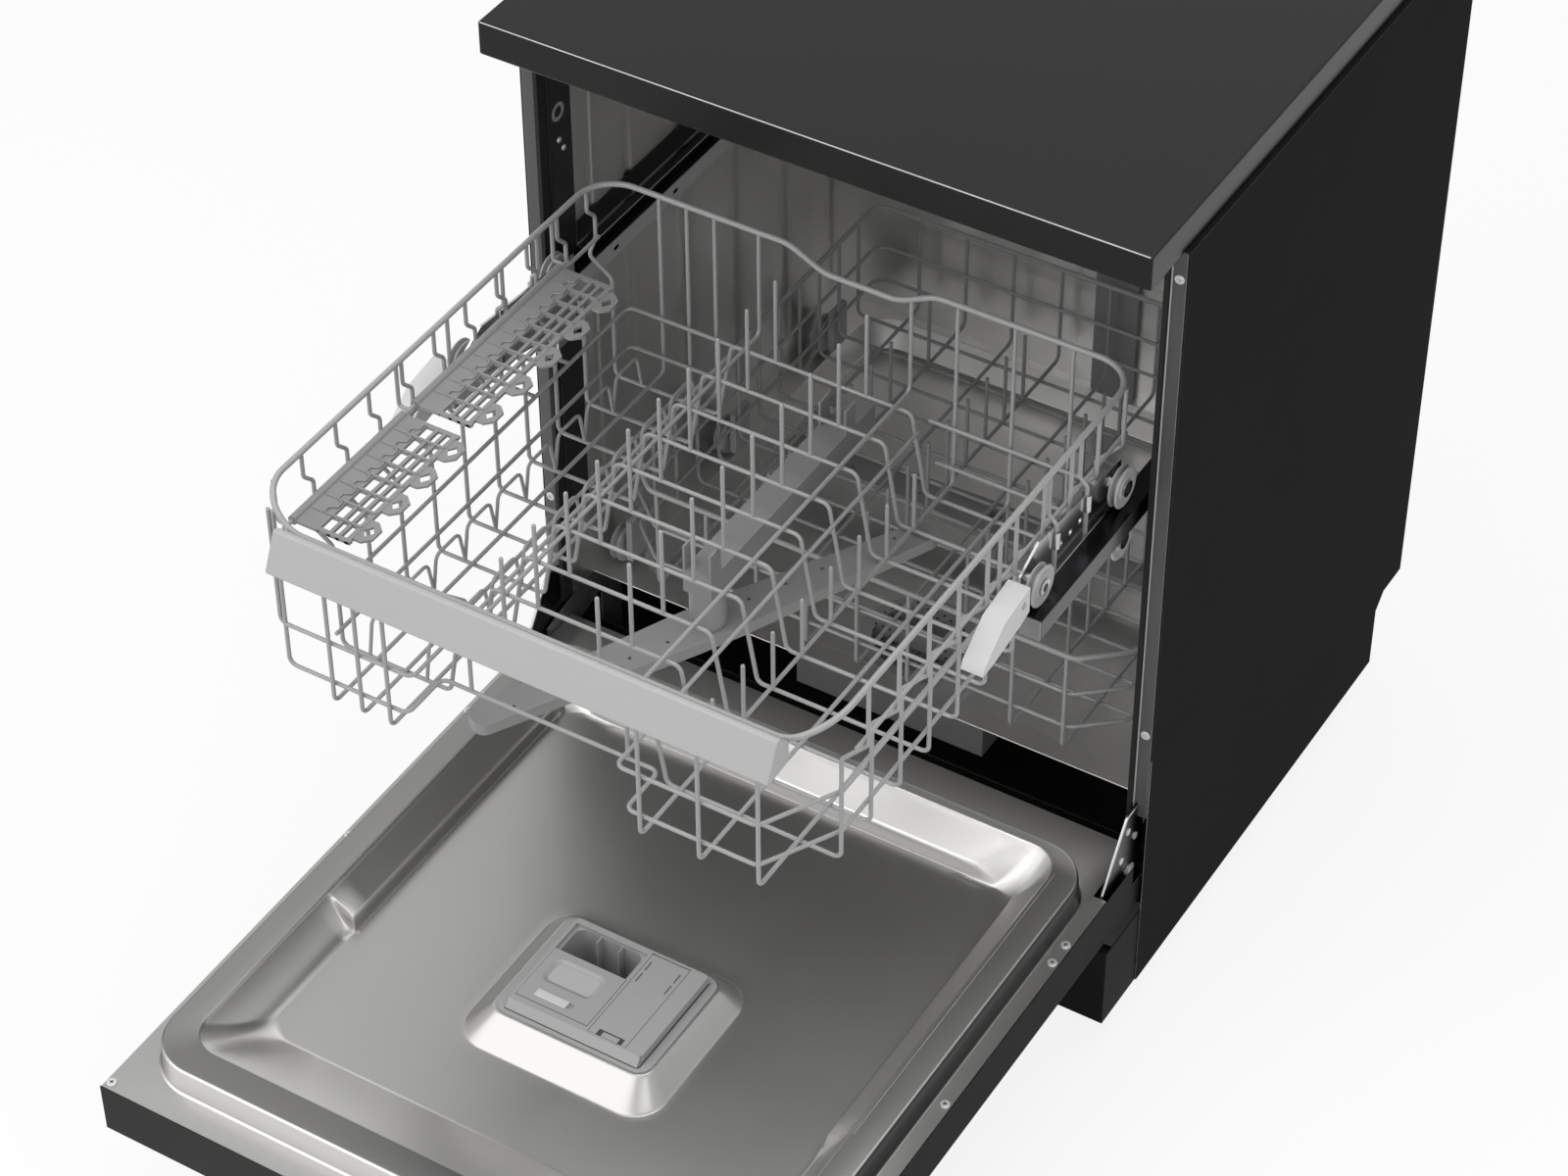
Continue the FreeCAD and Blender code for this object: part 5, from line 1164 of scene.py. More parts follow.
@dataclass
class Studio:
    """The stage: floor, lamps, world and camera.

    Attributes:
        camera_place: Where the camera stands.
        camera_turn: The camera's turn about X, Y and Z, in degrees.
        lens: The focal length in millimetres, on a 36 mm sensor.
        floor_size: The side of the floor.
        floor_glow: The share of the floor's colour that the camera sees as plain white.
        ambient: The strength of the world's light on matt surfaces.
    """

    camera_place: Place = (1.30116, -2.14243, 2.64471)
    camera_turn: Place = (48.1013, 0.2765, 31.2967)
    lens: float = 94.24
    floor_size: float = 30.0
    floor_glow: float = 0.86
    ambient: float = 0.42

    def build(self) -> None:
        """Sets the whole stage."""
        self._camera()
        self._world()
        self._floor()
        self._lamp("key_softbox", (-1.6, -2.5, 3.2), (0.0, -0.2, 0.5), 4.2, 110.0)
        self._lamp("fill_softbox", (2.4, -1.8, 2.0), (0.1, 0.2, 0.5), 2.0, 24.0)
        self._lamp("top_softbox", (0.2, 0.6, 3.4), (0.0, 0.1, 0.5), 2.4, 40.0)
        bpy.context.scene.view_settings.view_transform = "Standard"

    def _camera(self) -> None:
        """Stands the camera high at the front right."""
        data = bpy.data.cameras.new("camera")
        data.lens = self.lens
        data.sensor_width = 36.0
        camera = bpy.data.objects.new("camera", data)
        camera.location = self.camera_place
        camera.rotation_euler = [math.radians(turn) for turn in self.camera_turn]
        bpy.context.scene.collection.objects.link(camera)
        bpy.context.scene.camera = camera

    @staticmethod
    def _seen(canvas: Canvas) -> Socket:
        """A mask that is 1 for what the camera, a reflection or a clear piece shows.

        Args:
            canvas: The tree of the world or the floor.

        Returns:
            The mask.
        """
        path = canvas.add("ShaderNodeLightPath")
        first = canvas.add("ShaderNodeMath", operation="MAXIMUM")
        second = canvas.add("ShaderNodeMath", operation="MAXIMUM")
        canvas.link(path, "Is Camera Ray", first, 0)
        canvas.link(path, "Is Glossy Ray", first, 1)
        canvas.link(first, 0, second, 0)
        canvas.link(path, "Is Transmission Ray", second, 1)
        return second.outputs[0]

    def _world(self) -> None:
        """A white room that lights matt surfaces softly."""
        world = bpy.data.worlds.new("studio")
        world.use_nodes = True
        bpy.context.scene.world = world
        canvas = Canvas(world.node_tree)
        strength = canvas.add("ShaderNodeMapRange", {"To Min": self.ambient, "To Max": 1.0})
        background = world.node_tree.nodes["Background"]
        background.inputs["Color"].default_value = (1.0, 1.0, 1.0, 1.0)
        canvas.join(self._seen(canvas), strength.inputs["Value"])
        canvas.link(strength, "Result", background, "Strength")

    def _floor(self) -> None:
        """A pale floor that keeps a soft shadow."""
        shape = bmesh.new()
        bmesh.ops.create_grid(shape, x_segments=1, y_segments=1, size=self.floor_size / 2.0)
        floor = object_from("floor", shape)
        material = bpy.data.materials.new("pale_floor")
        material.use_nodes = True
        canvas = Canvas(material.node_tree)
        shader = material.node_tree.nodes["Principled BSDF"]
        shader.inputs["Base Color"].default_value = (0.86, 0.86, 0.86, 1.0)
        shader.inputs["Roughness"].default_value = 0.8
        glow = canvas.add("ShaderNodeEmission", {"Strength": 1.0})
        share = canvas.add("ShaderNodeMath", operation="MULTIPLY")
        share.inputs[1].default_value = self.floor_glow
        mix = canvas.add("ShaderNodeMixShader")
        canvas.join(self._seen(canvas), share.inputs[0])
        canvas.link(share, 0, mix, "Fac")
        canvas.link(shader, "BSDF", mix, 1)
        canvas.link(glow, "Emission", mix, 2)
        canvas.join(mix.outputs["Shader"], material.node_tree.nodes["Material Output"].inputs["Surface"])
        floor.data.materials.append(material)

    @staticmethod
    def _lamp(name: str, place: Place, aim: Place, size: float, power: float) -> None:
        """Hangs one softbox.

        Args:
            name: Its name.
            place: Where it hangs.
            aim: The point that it faces.
            size: Its side.
            power: Its power in watts.
        """
        data = bpy.data.lights.new(name, "AREA")
        data.shape = "SQUARE"
        data.size = size
        data.energy = power
        lamp = bpy.data.objects.new(name, data)
        lamp.location = place
        lamp.rotation_euler = (Vector(aim) - Vector(place)).to_track_quat("-Z", "Y").to_euler()
        bpy.context.scene.collection.objects.link(lamp)


@dataclass(frozen=True)
class Ring:
    """A rounded rectangle seen from above, one line of a pressed sheet.

    Attributes:
        left: Its lowest X.
        right: Its highest X.
        front: Its lowest Y.
        rear: Its highest Y.
        radius: Its corner radius.
        level: Its height.
    """

    left: float
    right: float
    front: float
    rear: float
    radius: float
    level: float

    def inset(self, step: float, level: float) -> "Ring":
        """A ring drawn in by a step on every side, at another height."""
        return Ring(
            self.left + step,
            self.right - step,
            self.front + step,
            self.rear - step,
            max(self.radius - step, MERGE),
            level,
        )

    def toward(self, other: "Ring", share: float, level: float | None = None) -> "Ring":
        """A ring that lies a share of the way to another one.

        Args:
            other: The other ring.
            share: The share of the way.
            level: Its height, where that isn't the same share of the way.

        Returns:
            The new ring.
        """
        return Ring(
            lerp(self.left, other.left, share),
            lerp(self.right, other.right, share),
            lerp(self.front, other.front, share),
            lerp(self.rear, other.rear, share),
            lerp(self.radius, other.radius, share),
            lerp(self.level, other.level, share) if level is None else level,
        )


@dataclass(frozen=True)
class RingPoint:
    """One point of a ring, with the direction that it faces.

    Attributes:
        x: Its X.
        y: Its Y.
        face_x: The X of its outward direction.
        face_y: The Y of its outward direction.
    """

    x: float
    y: float
    face_x: float
    face_y: float


class Band(Enum):
    """The bands of the pressed panel, from the flange inward."""

    FOOT = "foot"
    WALL = "wall"
    TOP = "top"
    SLOPE = "slope"
    BOWL = "bowl"


@dataclass
class DoorPan:
    """The pressed stainless inner panel of the door, with its rim, bowl and mound.

    Attributes:
        half: Half the flange's width.
        flange: The flange's height.
        rim_half: Half the rim's width at its foot.
        rim_height: How far the rim stands above the flange.
        rim_radius: The rim's corner radius.
        bowl_drop: How far the bowl's floor lies below the flange.
        step: The depth at which the side slopes change.
        step_half: Half the length of that change.
        thickness: The sheet's thickness.
        corner_steps: Faces in each corner.
        cross_steps: Faces along the front and rear.
        fore_steps: Faces along a side before the change.
        aft_steps: Faces along a side behind the change.
        wall_steps: The rim's outer wall, as ways in from its foot and up from the flange.
    """

    half: float = 0.294
    flange: float = 0.1787
    rim_half: float = 0.2776
    rim_height: float = 0.0243
    rim_radius: float = 0.046
    bowl_drop: float = 0.0087
    step: float = deep(-0.402)
    step_half: float = 0.0028
    thickness: float = 0.0014
    corner_steps: int = 14
    cross_steps: int = 22
    fore_steps: int = 9
    aft_steps: int = 14
    wall_steps: tuple[tuple[float, float], ...] = (
        (-0.0028, 0.0), (-0.0014, 0.0003), (-0.0005, 0.0012), (0.0, 0.0028), (0.0012, 0.0212),
        (0.0016, 0.0226), (0.0024, 0.0236), (0.0036, 0.0242), (0.0050, 0.0243),
    )

    def build(self) -> None:
        """Builds the pan and hands it in."""
        shape = bmesh.new()
        # Each point carries a painted reflection: dull on the rim's side walls and front top, bright at the
        # front wall, the rear and the front slope.
        shape.verts.layers.float.new(SteelWithPaintedReflection.polish)
        rim, heel, edge = self._rim(), 1, len(self.wall_steps) - 2
        loops = [self._loop(shape, ring, Band.FOOT) for ring in rim[:heel]]
        loops += [self._loop(shape, ring, Band.WALL) for ring in rim[heel:edge]]
        loops += [self._loop(shape, ring, Band.TOP) for ring in rim[edge:]]
        loops += [self._loop(shape, ring, Band.SLOPE, share) for ring, share in self._slope()]
        loops += [self._loop(shape, ring, Band.BOWL) for ring in self._floor_and_mound()]
        for outer, inner in zip(loops, loops[1:]):
            self._bridge(shape, outer, inner)
        self._flange(shape, loops[0])
        bmesh.ops.recalc_face_normals(shape, faces=shape.faces)
        self._face_up(shape)
        pan = thickened("door_pan", shape, self.thickness, 50.0)
        hand_in(pan, "door", "stainless_door", "door_inner_panel")
        self._rim_lines()

    def _rim_lines(self) -> None:
        """The bright lines along the inner edges of the rim's sides."""
        mouth, reach, gap = self._mouth(), 0.003, 0.02
        level = self.flange + self.rim_height
        sides = (mouth.left - reach, mouth.right + reach)
        paths = [((x, self.step, level), (x, mouth.rear - gap, level)) for x in sides]
        FORMS.wires("rim_lines", paths, 0.0004, LINE_BEND, "door", "stainless_door")

    def _foot(self) -> Ring:
        """The rim's outline where it meets the flange."""
        half, radius = self.rim_half, self.rim_radius
        return Ring(-half, half, deep(-0.622), deep(-0.042), radius, self.flange)

    def _mouth(self) -> Ring:
        """The bowl's outline at the top of the rim."""
        level = self.flange + self.rim_height
        return Ring(-0.250, 0.250, deep(-0.592), deep(-0.055), 0.028, level)

    def _basin(self) -> Ring:
        """The bowl's outline at its floor."""
        level = self.flange - self.bowl_drop
        return Ring(-0.224, 0.224, deep(-0.530), deep(-0.086), 0.024, level)

    def _rim(self) -> list[Ring]:
        """The rings from the flange up to the bowl's mouth.

        Returns:
            The rings, the lowest first.
        """
        foot, top = self._foot(), self.rim_height
        rings = [foot.inset(step, self.flange + rise) for step, rise in self.wall_steps]
        mouth = self._mouth()
        level = self.flange + top
        rings.append(mouth.inset(-0.0022, level))
        rings.append(mouth.inset(-0.0009, level - 0.0003))
        return rings

    def _slope(self) -> list[tuple[Ring, float]]:
        """The rings down the bowl's sides, each with its share of the way down.

        Returns:
            The rings and their shares, the highest first.
        """
        mouth, basin = self._mouth(), self._basin()
        shares = (0.0, 0.02, 0.05, 0.09, 0.16, 0.27, 0.42, 0.57, 0.7, 0.8, 0.87, 0.92, 0.95, 0.975, 0.99, 1.0)
        return [(mouth.toward(basin, share), share) for share in shares]

    def _floor_and_mound(self) -> list[Ring]:
        """The rings across the bowl's floor and up the mound to the dispenser's window.

        Returns:
            The rings, the outermost first.
        """
        basin = self._basin()
        base = Ring(-0.094, 0.096, deep(-0.457), deep(-0.289), 0.029, basin.level)
        top = Ring(-0.071, 0.077, deep(-0.429), deep(-0.309), 0.013, basin.level + 0.02)
        rings = [basin.toward(base, share) for share in (0.03, 0.3, 0.65, 0.95)]
        rise = ((0.0, 0.0), (0.03, 0.004), (0.06, 0.018), (0.09, 0.042), (0.12, 0.074), (0.3, 0.277))
        rise += ((0.5, 0.503), (0.7, 0.729), (0.88, 0.932), (0.91, 0.963))
        rise += ((0.94, 0.985), (0.97, 0.997), (1.0, 1.0))
        for share, height in rise:
            rings.append(base.toward(top, share, lerp(base.level, top.level, height)))
        rings.append(Ring(-0.056, 0.063, deep(-0.414), deep(-0.320), 0.002, top.level))
        return rings

    def _points(self, ring: Ring) -> list[RingPoint]:
        """The points round a ring, against the clock from its front left corner.

        Args:
            ring: The ring.

        Returns:
            The points.
        """
        radius = ring.radius
        low, high = ring.front + radius, ring.rear - radius
        across = spaced(ring.left + radius, ring.right - radius, self.cross_steps + 1)
        along = self._stations(low, high)
        points = [RingPoint(x, ring.front, 0.0, -1.0) for x in across[:-1]]
        points += self._corner(ring.right - radius, low, radius, -90.0)
        points += [RingPoint(ring.right, y, 1.0, 0.0) for y in along[:-1]]
        points += self._corner(ring.right - radius, high, radius, 0.0)
        points += [RingPoint(x, ring.rear, 0.0, 1.0) for x in across[:0:-1]]
        points += self._corner(ring.left + radius, high, radius, 90.0)
        points += [RingPoint(ring.left, y, -1.0, 0.0) for y in along[:0:-1]]
        points += self._corner(ring.left + radius, low, radius, 180.0)
        return points

    def _stations(self, low: float, high: float) -> list[float]:
        """The depths of the points along a side, close together at the change of slope.

        Args:
            low: The first depth.
            high: The last depth.

        Returns:
            The depths, both ends included.
        """
        first, last = self.step - self.step_half, self.step + self.step_half
        if low >= first or high <= last:
            return spaced(low, high, self.fore_steps + self.aft_steps + 5)
        middle = spaced(first, last, 5)
        fore = spaced(low, first, self.fore_steps + 1)[:-1]
        aft = spaced(last, high, self.aft_steps + 1)[1:]
        return fore + middle + aft

    def _corner(self, x: float, y: float, radius: float, start: float) -> list[RingPoint]:
        """The points of one corner, without its last one.

        Args:
            x: The X of the corner's centre.
            y: The Y of its centre.
            radius: Its radius.
            start: The direction of its first point, in degrees.

        Returns:
            The points.
        """
        points = []
        for index in range(self.corner_steps):
            angle = math.radians(start + 90.0 * index / self.corner_steps)
            face_x, face_y = math.cos(angle), math.sin(angle)
            points.append(RingPoint(x + radius * face_x, y + radius * face_y, face_x, face_y))
        return points

    def _loop(self, shape: BMesh, ring: Ring, band: Band, share: float = 0.0) -> list[BMVert]:
        """Adds a ring's points to the mesh.

        Args:
            shape: The mesh.
            ring: The ring.
            band: The band that the ring is part of.
            share: A slope ring's share of the way down.

        Returns:
            The ring's points in the mesh.
        """
        polish = shape.verts.layers.float[SteelWithPaintedReflection.polish]
        verts = []
        for point in self._points(ring):
            level = self._slope_level(point, ring, share) if band is Band.SLOPE else ring.level
            vert = shape.verts.new((point.x, point.y, level))
            vert[polish] = self._painted_reflection(point, band)
            verts.append(vert)
        return verts

    @staticmethod
    def _painted_reflection(point: RingPoint, band: Band) -> float:
        """How far the painted reflection at a point lifts or dims the plain sheet's colour.

        Args:
            point: The point.
            band: The band that it is part of.

        Returns:
            The painted reflection: below 0 on the walls and rim, painted dull, above 0 at the front and rear,
                painted bright.
        """
        ahead, behind = smoothstep(0.3, 0.9, -point.face_y), smoothstep(0.3, 0.9, point.face_y)
        left, right = smoothstep(0.3, 0.9, -point.face_x), smoothstep(0.3, 0.9, point.face_x)
        if band is Band.FOOT:
            return behind
        if band is Band.WALL:
            return 0.8 * ahead + 1.2 * behind - 0.9 * (left + right)
        if band is Band.TOP:
            return 1.2 * behind - 0.52 * ahead - 0.35 * left * (1.0 - ahead)
        if band is Band.SLOPE:
            return 0.9 * ahead + 0.3 * behind
        return 0.0

    def _slope_level(self, point: RingPoint, ring: Ring, share: float) -> float:
        """The height of a point of the bowl's sides.

        Args:
            point: The point.
            ring: Its ring.
            share: The ring's share of the way down.

        Returns:
            The height.
        """
        mouth, basin = self._mouth(), self._basin()
        hollow = 1.0 + 0.7 * abs(point.face_x)
        bare = 1.0 - (1.0 - share) ** hollow
        drop = lerp(bare, self._raised_drop(share), self._raised(point, ring))
        return lerp(mouth.level - 0.001, basin.level, drop)

    @staticmethod
    def _raised_drop(share: float) -> float:
        """How far the raised side panels have dropped, from 0 at the rim to 1 at the floor.

        Args:
            share: The share of the way in from the rim.

        Returns:
            The drop.
        """
        groove = 0.05 * smoothstep(0.0, 0.06, share)
        plane = 0.60 * max(0.0, share - 0.05) / 0.95
        shoulder = 0.35 * smoothstep(0.86, 1.0, share) ** 1.2
        return groove + plane + shoulder

    def _raised(self, point: RingPoint, ring: Ring) -> float:
        """Where the side panels are raised: 1 on them, 0 off them.

        Args:
            point: A point of the bowl's sides.
            ring: Its ring.

        Returns:
            The mask.
        """
        if abs(point.face_x) > abs(point.face_y):
            behind = smoothstep(self.step - self.step_half, self.step + self.step_half, point.y)
            return behind * smoothstep(0.86, 0.99, abs(point.face_x))
        if point.face_y < 0.0:
            return 0.0
        room = ring.right - ring.radius - abs(point.x)
        return smoothstep(0.0, 0.02, room)

    @staticmethod
    def _bridge(shape: BMesh, outer: Sequence[BMVert], inner: Sequence[BMVert]) -> None:
        """Joins two loops with a band of faces.

        Args:
            shape: The mesh.
            outer: The outer loop.
            inner: The inner loop.
        """
        count = len(outer)
        for index in range(count):
            after = (index + 1) % count
            shape.faces.new((outer[index], outer[after], inner[after], inner[index]))

    def _flange(self, shape: BMesh, foot: Sequence[BMVert]) -> None:
        """Adds the flat flange round the rim, notched for the hinge arms.

        Args:
            shape: The mesh.
            foot: The rim's lowest loop.
        """
        front, tail = deep(-0.649), deep(0.008)
        notch_x, notch_y = 0.282, deep(-0.060)
        half = self.half
        outline = [
            (-half, front),
            (half, front),
            (half, notch_y),
            (notch_x, notch_y),
            (notch_x, tail),
            (-notch_x, tail),
            (-notch_x, notch_y),
            (-half, notch_y),
        ]
        verts = [shape.verts.new((x, y, self.flange)) for x, y in outline]
        edges = [shape.edges.new((verts[index - 1], verts[index])) for index in range(len(verts))]
        for index, vert in enumerate(foot):
            edges.append(shape.edges.get((vert, foot[index - 1])))
        bmesh.ops.triangle_fill(shape, edges=edges, use_beauty=True)

    @staticmethod
    def _face_up(shape: BMesh) -> None:
        """Turns the sheet so that its shown side faces up.

        Args:
            shape: The mesh.
        """
        shape.faces.ensure_lookup_table()
        total = sum(face.normal.z * face.calc_area() for face in shape.faces)
        if total < 0.0:
            bmesh.ops.reverse_faces(shape, faces=shape.faces)


@dataclass
class Cabinet:
    """The outer casing, with the trim round its opening and the vents at its back.

    Attributes:
        edge: The inner edge of the side panels' front folds.
        trim_front: Where the black trim of the opening starts.
        trim_rear: Where it ends.
        trim_low: The height at which the trim starts.
        trim_high: The height at which it ends.
        trim_thickness: How thick the trim is.
        fold_low: The height at which the folds' faces start.
        fold_high: The height at which they end.
        fold_width: The width of the folds' faces, which carry a painted sheen.
        line_width: The width of the painted highlights on their edges.
        wall: Half the tub's width.
        stud_place: The guide studs' depth and height.
        screw_places: The depth and height of each small screw.
        louvre_rows: Rows of louvres in the rear panel.
        louvre_columns: Columns of louvres.
    """

    edge: float = 0.2845
    trim_front: float = deep(0.0095)
    trim_rear: float = deep(0.0392)
    trim_low: float = 0.2925
    trim_high: float = 0.766
    trim_thickness: float = 0.0016
    fold_low: float = 0.226
    fold_high: float = 0.812
    fold_width: float = 0.0125
    line_width: float = 0.0011
    wall: float = 0.28
    stud_place: tuple[float, float] = (deep(0.021), 0.718)
    screw_places: tuple[tuple[float, float], ...] = ((deep(0.021), 0.690), (deep(0.027), 0.679))
    louvre_rows: int = 6
    louvre_columns: int = 4

    def build(self) -> None:
        """Builds and dresses the casing."""
        softened("worktop", 0.0018)
        softened("plinth", 0.0007, "_front")
        softened("left_side_panel", 0.0008)
        softened("right_side_panel", 0.0008)
        softened("levelling_feet", 0.0008)
        self._worktop_glint_line()
        self._panel_glint_lines()
        self._trim()
        self._studs()
        self._back()

    @staticmethod
    def _worktop_glint_line() -> None:
        """A painted highlight: a pale line along the worktop's upper front edge."""
        low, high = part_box("worktop")
        inset, end = 0.0007, 0.002
        y, z = low.y + inset, high.z - inset
        path = ((low.x + end, y, z), (high.x - end, y, z))
        FORMS.wires("worktop_edge", [path], LINE_RADIUS, LINE_BEND, "cabinet", "worktop_laminate", "_edge")

    def _panel_glint_lines(self) -> None:
        """A painted highlight: a pale line along each side panel's outer front edge."""
        low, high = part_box("right_side_panel")
        radius = 0.0006
        x, y = high.x - radius, low.y + radius
        paths = [((side * x, y, low.z + 0.002), (side * x, y, self.fold_high)) for side in SIDES]
        FORMS.wires("panel_edges", paths, radius, LINE_BEND, "cabinet", "charcoal_paint", "_edge")

    def _trim(self) -> None:
        """The black trim inside the opening, with a painted sheen on the face and a painted highlight on the
        edge of each fold.
        """
        trim, bright, face = bmesh.new(), bmesh.new(), bmesh.new()
        skin, sunk = 0.0001, deep(0.0002)
        for side in SIDES:
            low, high = sorted((side * (self.wall - skin), side * (self.wall - self.trim_thickness)))
            block(trim, (low, self.trim_front, self.trim_low), (high, self.trim_rear, self.trim_high))
            low, high = sorted((side * (self.edge - skin), side * (self.edge + self.line_width)))
            block(bright, (low, deep(-0.0006), self.fold_low), (high, sunk, self.fold_high))
            low, high = sorted((side * (self.edge + skin), side * (self.edge + self.fold_width)))
            block(face, (low, deep(-0.0003), self.fold_low), (high, sunk, self.fold_high))
        hand_in(object_from("opening_trim", trim), "cabinet", "frame_black")
        # The fold edges carry a painted highlight and the fold faces a painted sheen.
        hand_in(object_from("fold_edges", bright), "cabinet", "charcoal_paint", variant="_edge")
        hand_in(object_from("fold_faces", face), "cabinet", "charcoal_paint", variant="_fold")

    def _studs(self) -> None:
        """The guide stud and two small screws on each side of the opening."""
        studs, screws = [], []
        for side in SIDES:
            x, inward = side * (self.wall - self.trim_thickness), (-side, 0.0, 0.0)
            studs.append(Spot((x, *self.stud_place), inward))
            screws += [Spot((x, *place), inward) for place in self.screw_places]
        FORMS.pattern("guide_studs", self._draw_stud, studs, "cabinet", "grey_plastic")
        FORMS.pattern("trim_screws", self._draw_head, screws, "cabinet", "screw_steel")

    @staticmethod
    def _draw_stud(shape: BMesh) -> None:
        """A ring with a hollow middle.

        Args:
            shape: The mesh that it is drawn in.
        """
        profile = ((0.0050, 0.0), (0.0086, 0.0), (0.0086, 0.0003))
        profile += ((0.0080, 0.00045), (0.0056, 0.00045), (0.0050, 0.0003))
        steps, rings = 24, []
        turns = [math.tau * index / steps for index in range(steps)]
        for radius, height in profile:
            places = [(radius * math.cos(turn), radius * math.sin(turn), height) for turn in turns]
            rings.append([shape.verts.new(place) for place in places])
        closed_band(shape, rings)

    @staticmethod
    def _draw_head(shape: BMesh) -> None:
        """A domed screw head."""
        bmesh.ops.create_uvsphere(
            shape, u_segments=16, v_segments=8, radius=0.0028, matrix=Matrix.Diagonal((1.0, 1.0, 0.45, 1.0))
        )

    def _back(self) -> None:
        """The louvres and ribs of the rear panel."""
        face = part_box("rear_panel")[1].y
        spots = []
        for x in spaced(-0.17, 0.17, self.louvre_columns):
            for z in spaced(0.20, 0.32, self.louvre_rows):
                spots.append(Spot((x, face, z), (0.0, 1.0, 0.0)))
        FORMS.pattern("rear_louvres", self._draw_louvre, spots, "cabinet", "galvanised_sheet")
        start, step, size = (-0.22, face + 0.0004, 0.575), (0.11, 0.0, 0.0), (0.014, 0.0008, 0.36)
        FORMS.bars("rear_ribs", 5, start, step, size, "cabinet", "galvanised_sheet")

    @staticmethod
    def _draw_louvre(shape: BMesh) -> None:
        """A pressed louvre, 70 mm wide."""
        matrix = Matrix.Diagonal((0.035, 0.0048, 0.00115, 1.0))
        bmesh.ops.create_uvsphere(shape, u_segments=24, v_segments=10, radius=1.0, matrix=matrix)


@dataclass
class Tub:
    """The stainless tub, with pressed ribs, rail strips and filter.

    Attributes:
        half: Half its width.
        front: Where it starts.
        rear: Where it ends.
        floor: The height of its ledge.
        ceiling: The height of its ceiling.
        corner: The radius between wall and ceiling.
        rib_places: The depths of the pressed ribs.
        rib_half: Half a rib's width.
        rib_depth: How far a rib is pressed out.
        thickness: The sheet's thickness.
    """

    half: float = 0.28
    front: float = deep(0.009)
    rear: float = deep(0.508)
    floor: float = 0.2035
    ceiling: float = 0.795
    corner: float = 0.028
    rib_places: tuple[float, ...] = (0.064, 0.121, 0.205, 0.288, 0.372, 0.455)
    rib_half: float = 0.0075
    rib_depth: float = 0.0024
    thickness: float = 0.001

    def build(self) -> None:
        """Builds the lining and strips and dresses the tub's fittings."""
        self._lining()
        self._strips()
        self._filter_holes()
        softened("tub_floor", 0.0012)
        softened("lower_spray_arm", 0.0012)
        softened("filter_cup", 0.0008)

    def _lining(self) -> None:
        """The walls and ceiling in one folded sheet."""
        shape = bmesh.new()
        depths = self._depths()
        rows = []
        for x, z, out_x, out_z in self._section():
            row = []
            for y in depths:
                push = self.rib_depth * self._rib(y) * self._reach(x, z)
                row.append(shape.verts.new((x + out_x * push, y, z + out_z * push)))
            rows.append(row)
        open_sheet(shape, rows)
        bmesh.ops.recalc_face_normals(shape, faces=shape.faces)
        shape.faces.ensure_lookup_table()
        if shape.faces[0].normal.x < 0.0:
            bmesh.ops.reverse_faces(shape, faces=shape.faces)
        lining = thickened("tub_lining", shape, self.thickness, 60.0)
        hand_in(lining, "cabinet", "stainless", "tub_wrap")

    def _depths(self) -> list[float]:
        """The depths at which the sheet is drawn, close together on the ribs.

        Returns:
            The depths, the lowest first.
        """
        depths = spaced(self.front, self.rear, 26)
        shares = (-1.0, -0.7, -0.4, 0.0, 0.4, 0.7, 1.0)
        for place in self.rib_places:
            depths += [deep(place) + share * self.rib_half for share in shares]
        return sorted(set(depths))

    def _section(self) -> list[tuple[float, float, float, float]]:
        """The sheet's section: X, Z and the outward direction of each point, from the left ledge.

        Returns:
            The points of the section.
        """
        spring, reach = self.ceiling - self.corner, self.half - self.corner
        wall = [(-self.half, z, -1.0, 0.0) for z in spaced(self.floor, spring, 40)]
        bend = []
        for index in range(1, 9):
            angle = math.pi - math.pi / 2.0 * index / 9
            out_x, out_z = math.cos(angle), math.sin(angle)
            bend.append((-reach + self.corner * out_x, spring + self.corner * out_z, out_x, out_z))
        roof = [(x, self.ceiling, 0.0, 1.0) for x in spaced(-reach, reach, 31)]
        left = wall + bend
        return left + roof + [(-x, z, -out_x, out_z) for x, z, out_x, out_z in reversed(left)]

    def _rib(self, y: float) -> float:
        """How far the ribs stand out at a depth, from 0 to 1."""
        nearest = min(abs(y - deep(place)) for place in self.rib_places)
        return 1.0 - smoothstep(0.25 * self.rib_half, self.rib_half, nearest)

    def _reach(self, x: float, z: float) -> float:
        """Where the ribs run: 1 along the walls and the ceiling, 0 at their ends.

        Args:
            x: A point's X.
            z: Its height.

        Returns:
            The mask.
        """
        if abs(x) > self.half - MERGE:
            return smoothstep(0.235, 0.255, z) * (1.0 - smoothstep(0.735, 0.755, z))
        return 1.0 - smoothstep(0.2, 0.225, abs(x))

    def _strips(self) -> None:
        """The slotted steel strip below each rail guide and the black strip above it."""
        steel, black = bmesh.new(), bmesh.new()
        front, rear = deep(0.042), deep(0.498)
        for side in SIDES:
            x = side * (self.half - 0.0001)
            outline = ((front, 0.5205), (rear, 0.5205), (rear, 0.5455), (front, 0.5455))
            slots = [oblong(y, 0.533, 0.006, 0.0028) for y in spaced(front + 0.03, rear - 0.03, 6)]
            outer = [(x, y, z) for y, z in outline]
            holes = [[(x, y, z) for y, z in slot] for slot in slots]
            plate(steel, outer, holes, (-side * 0.0012, 0.0, 0.0))
            low, high = sorted((x, x - side * 0.0012))
            block(black, (low, front, 0.5725), (high, rear, 0.5935))
        hand_in(facing_out("guide_strips", steel), "cabinet", "stainless")
        hand_in(object_from("guide_covers", black), "cabinet", "frame_black")

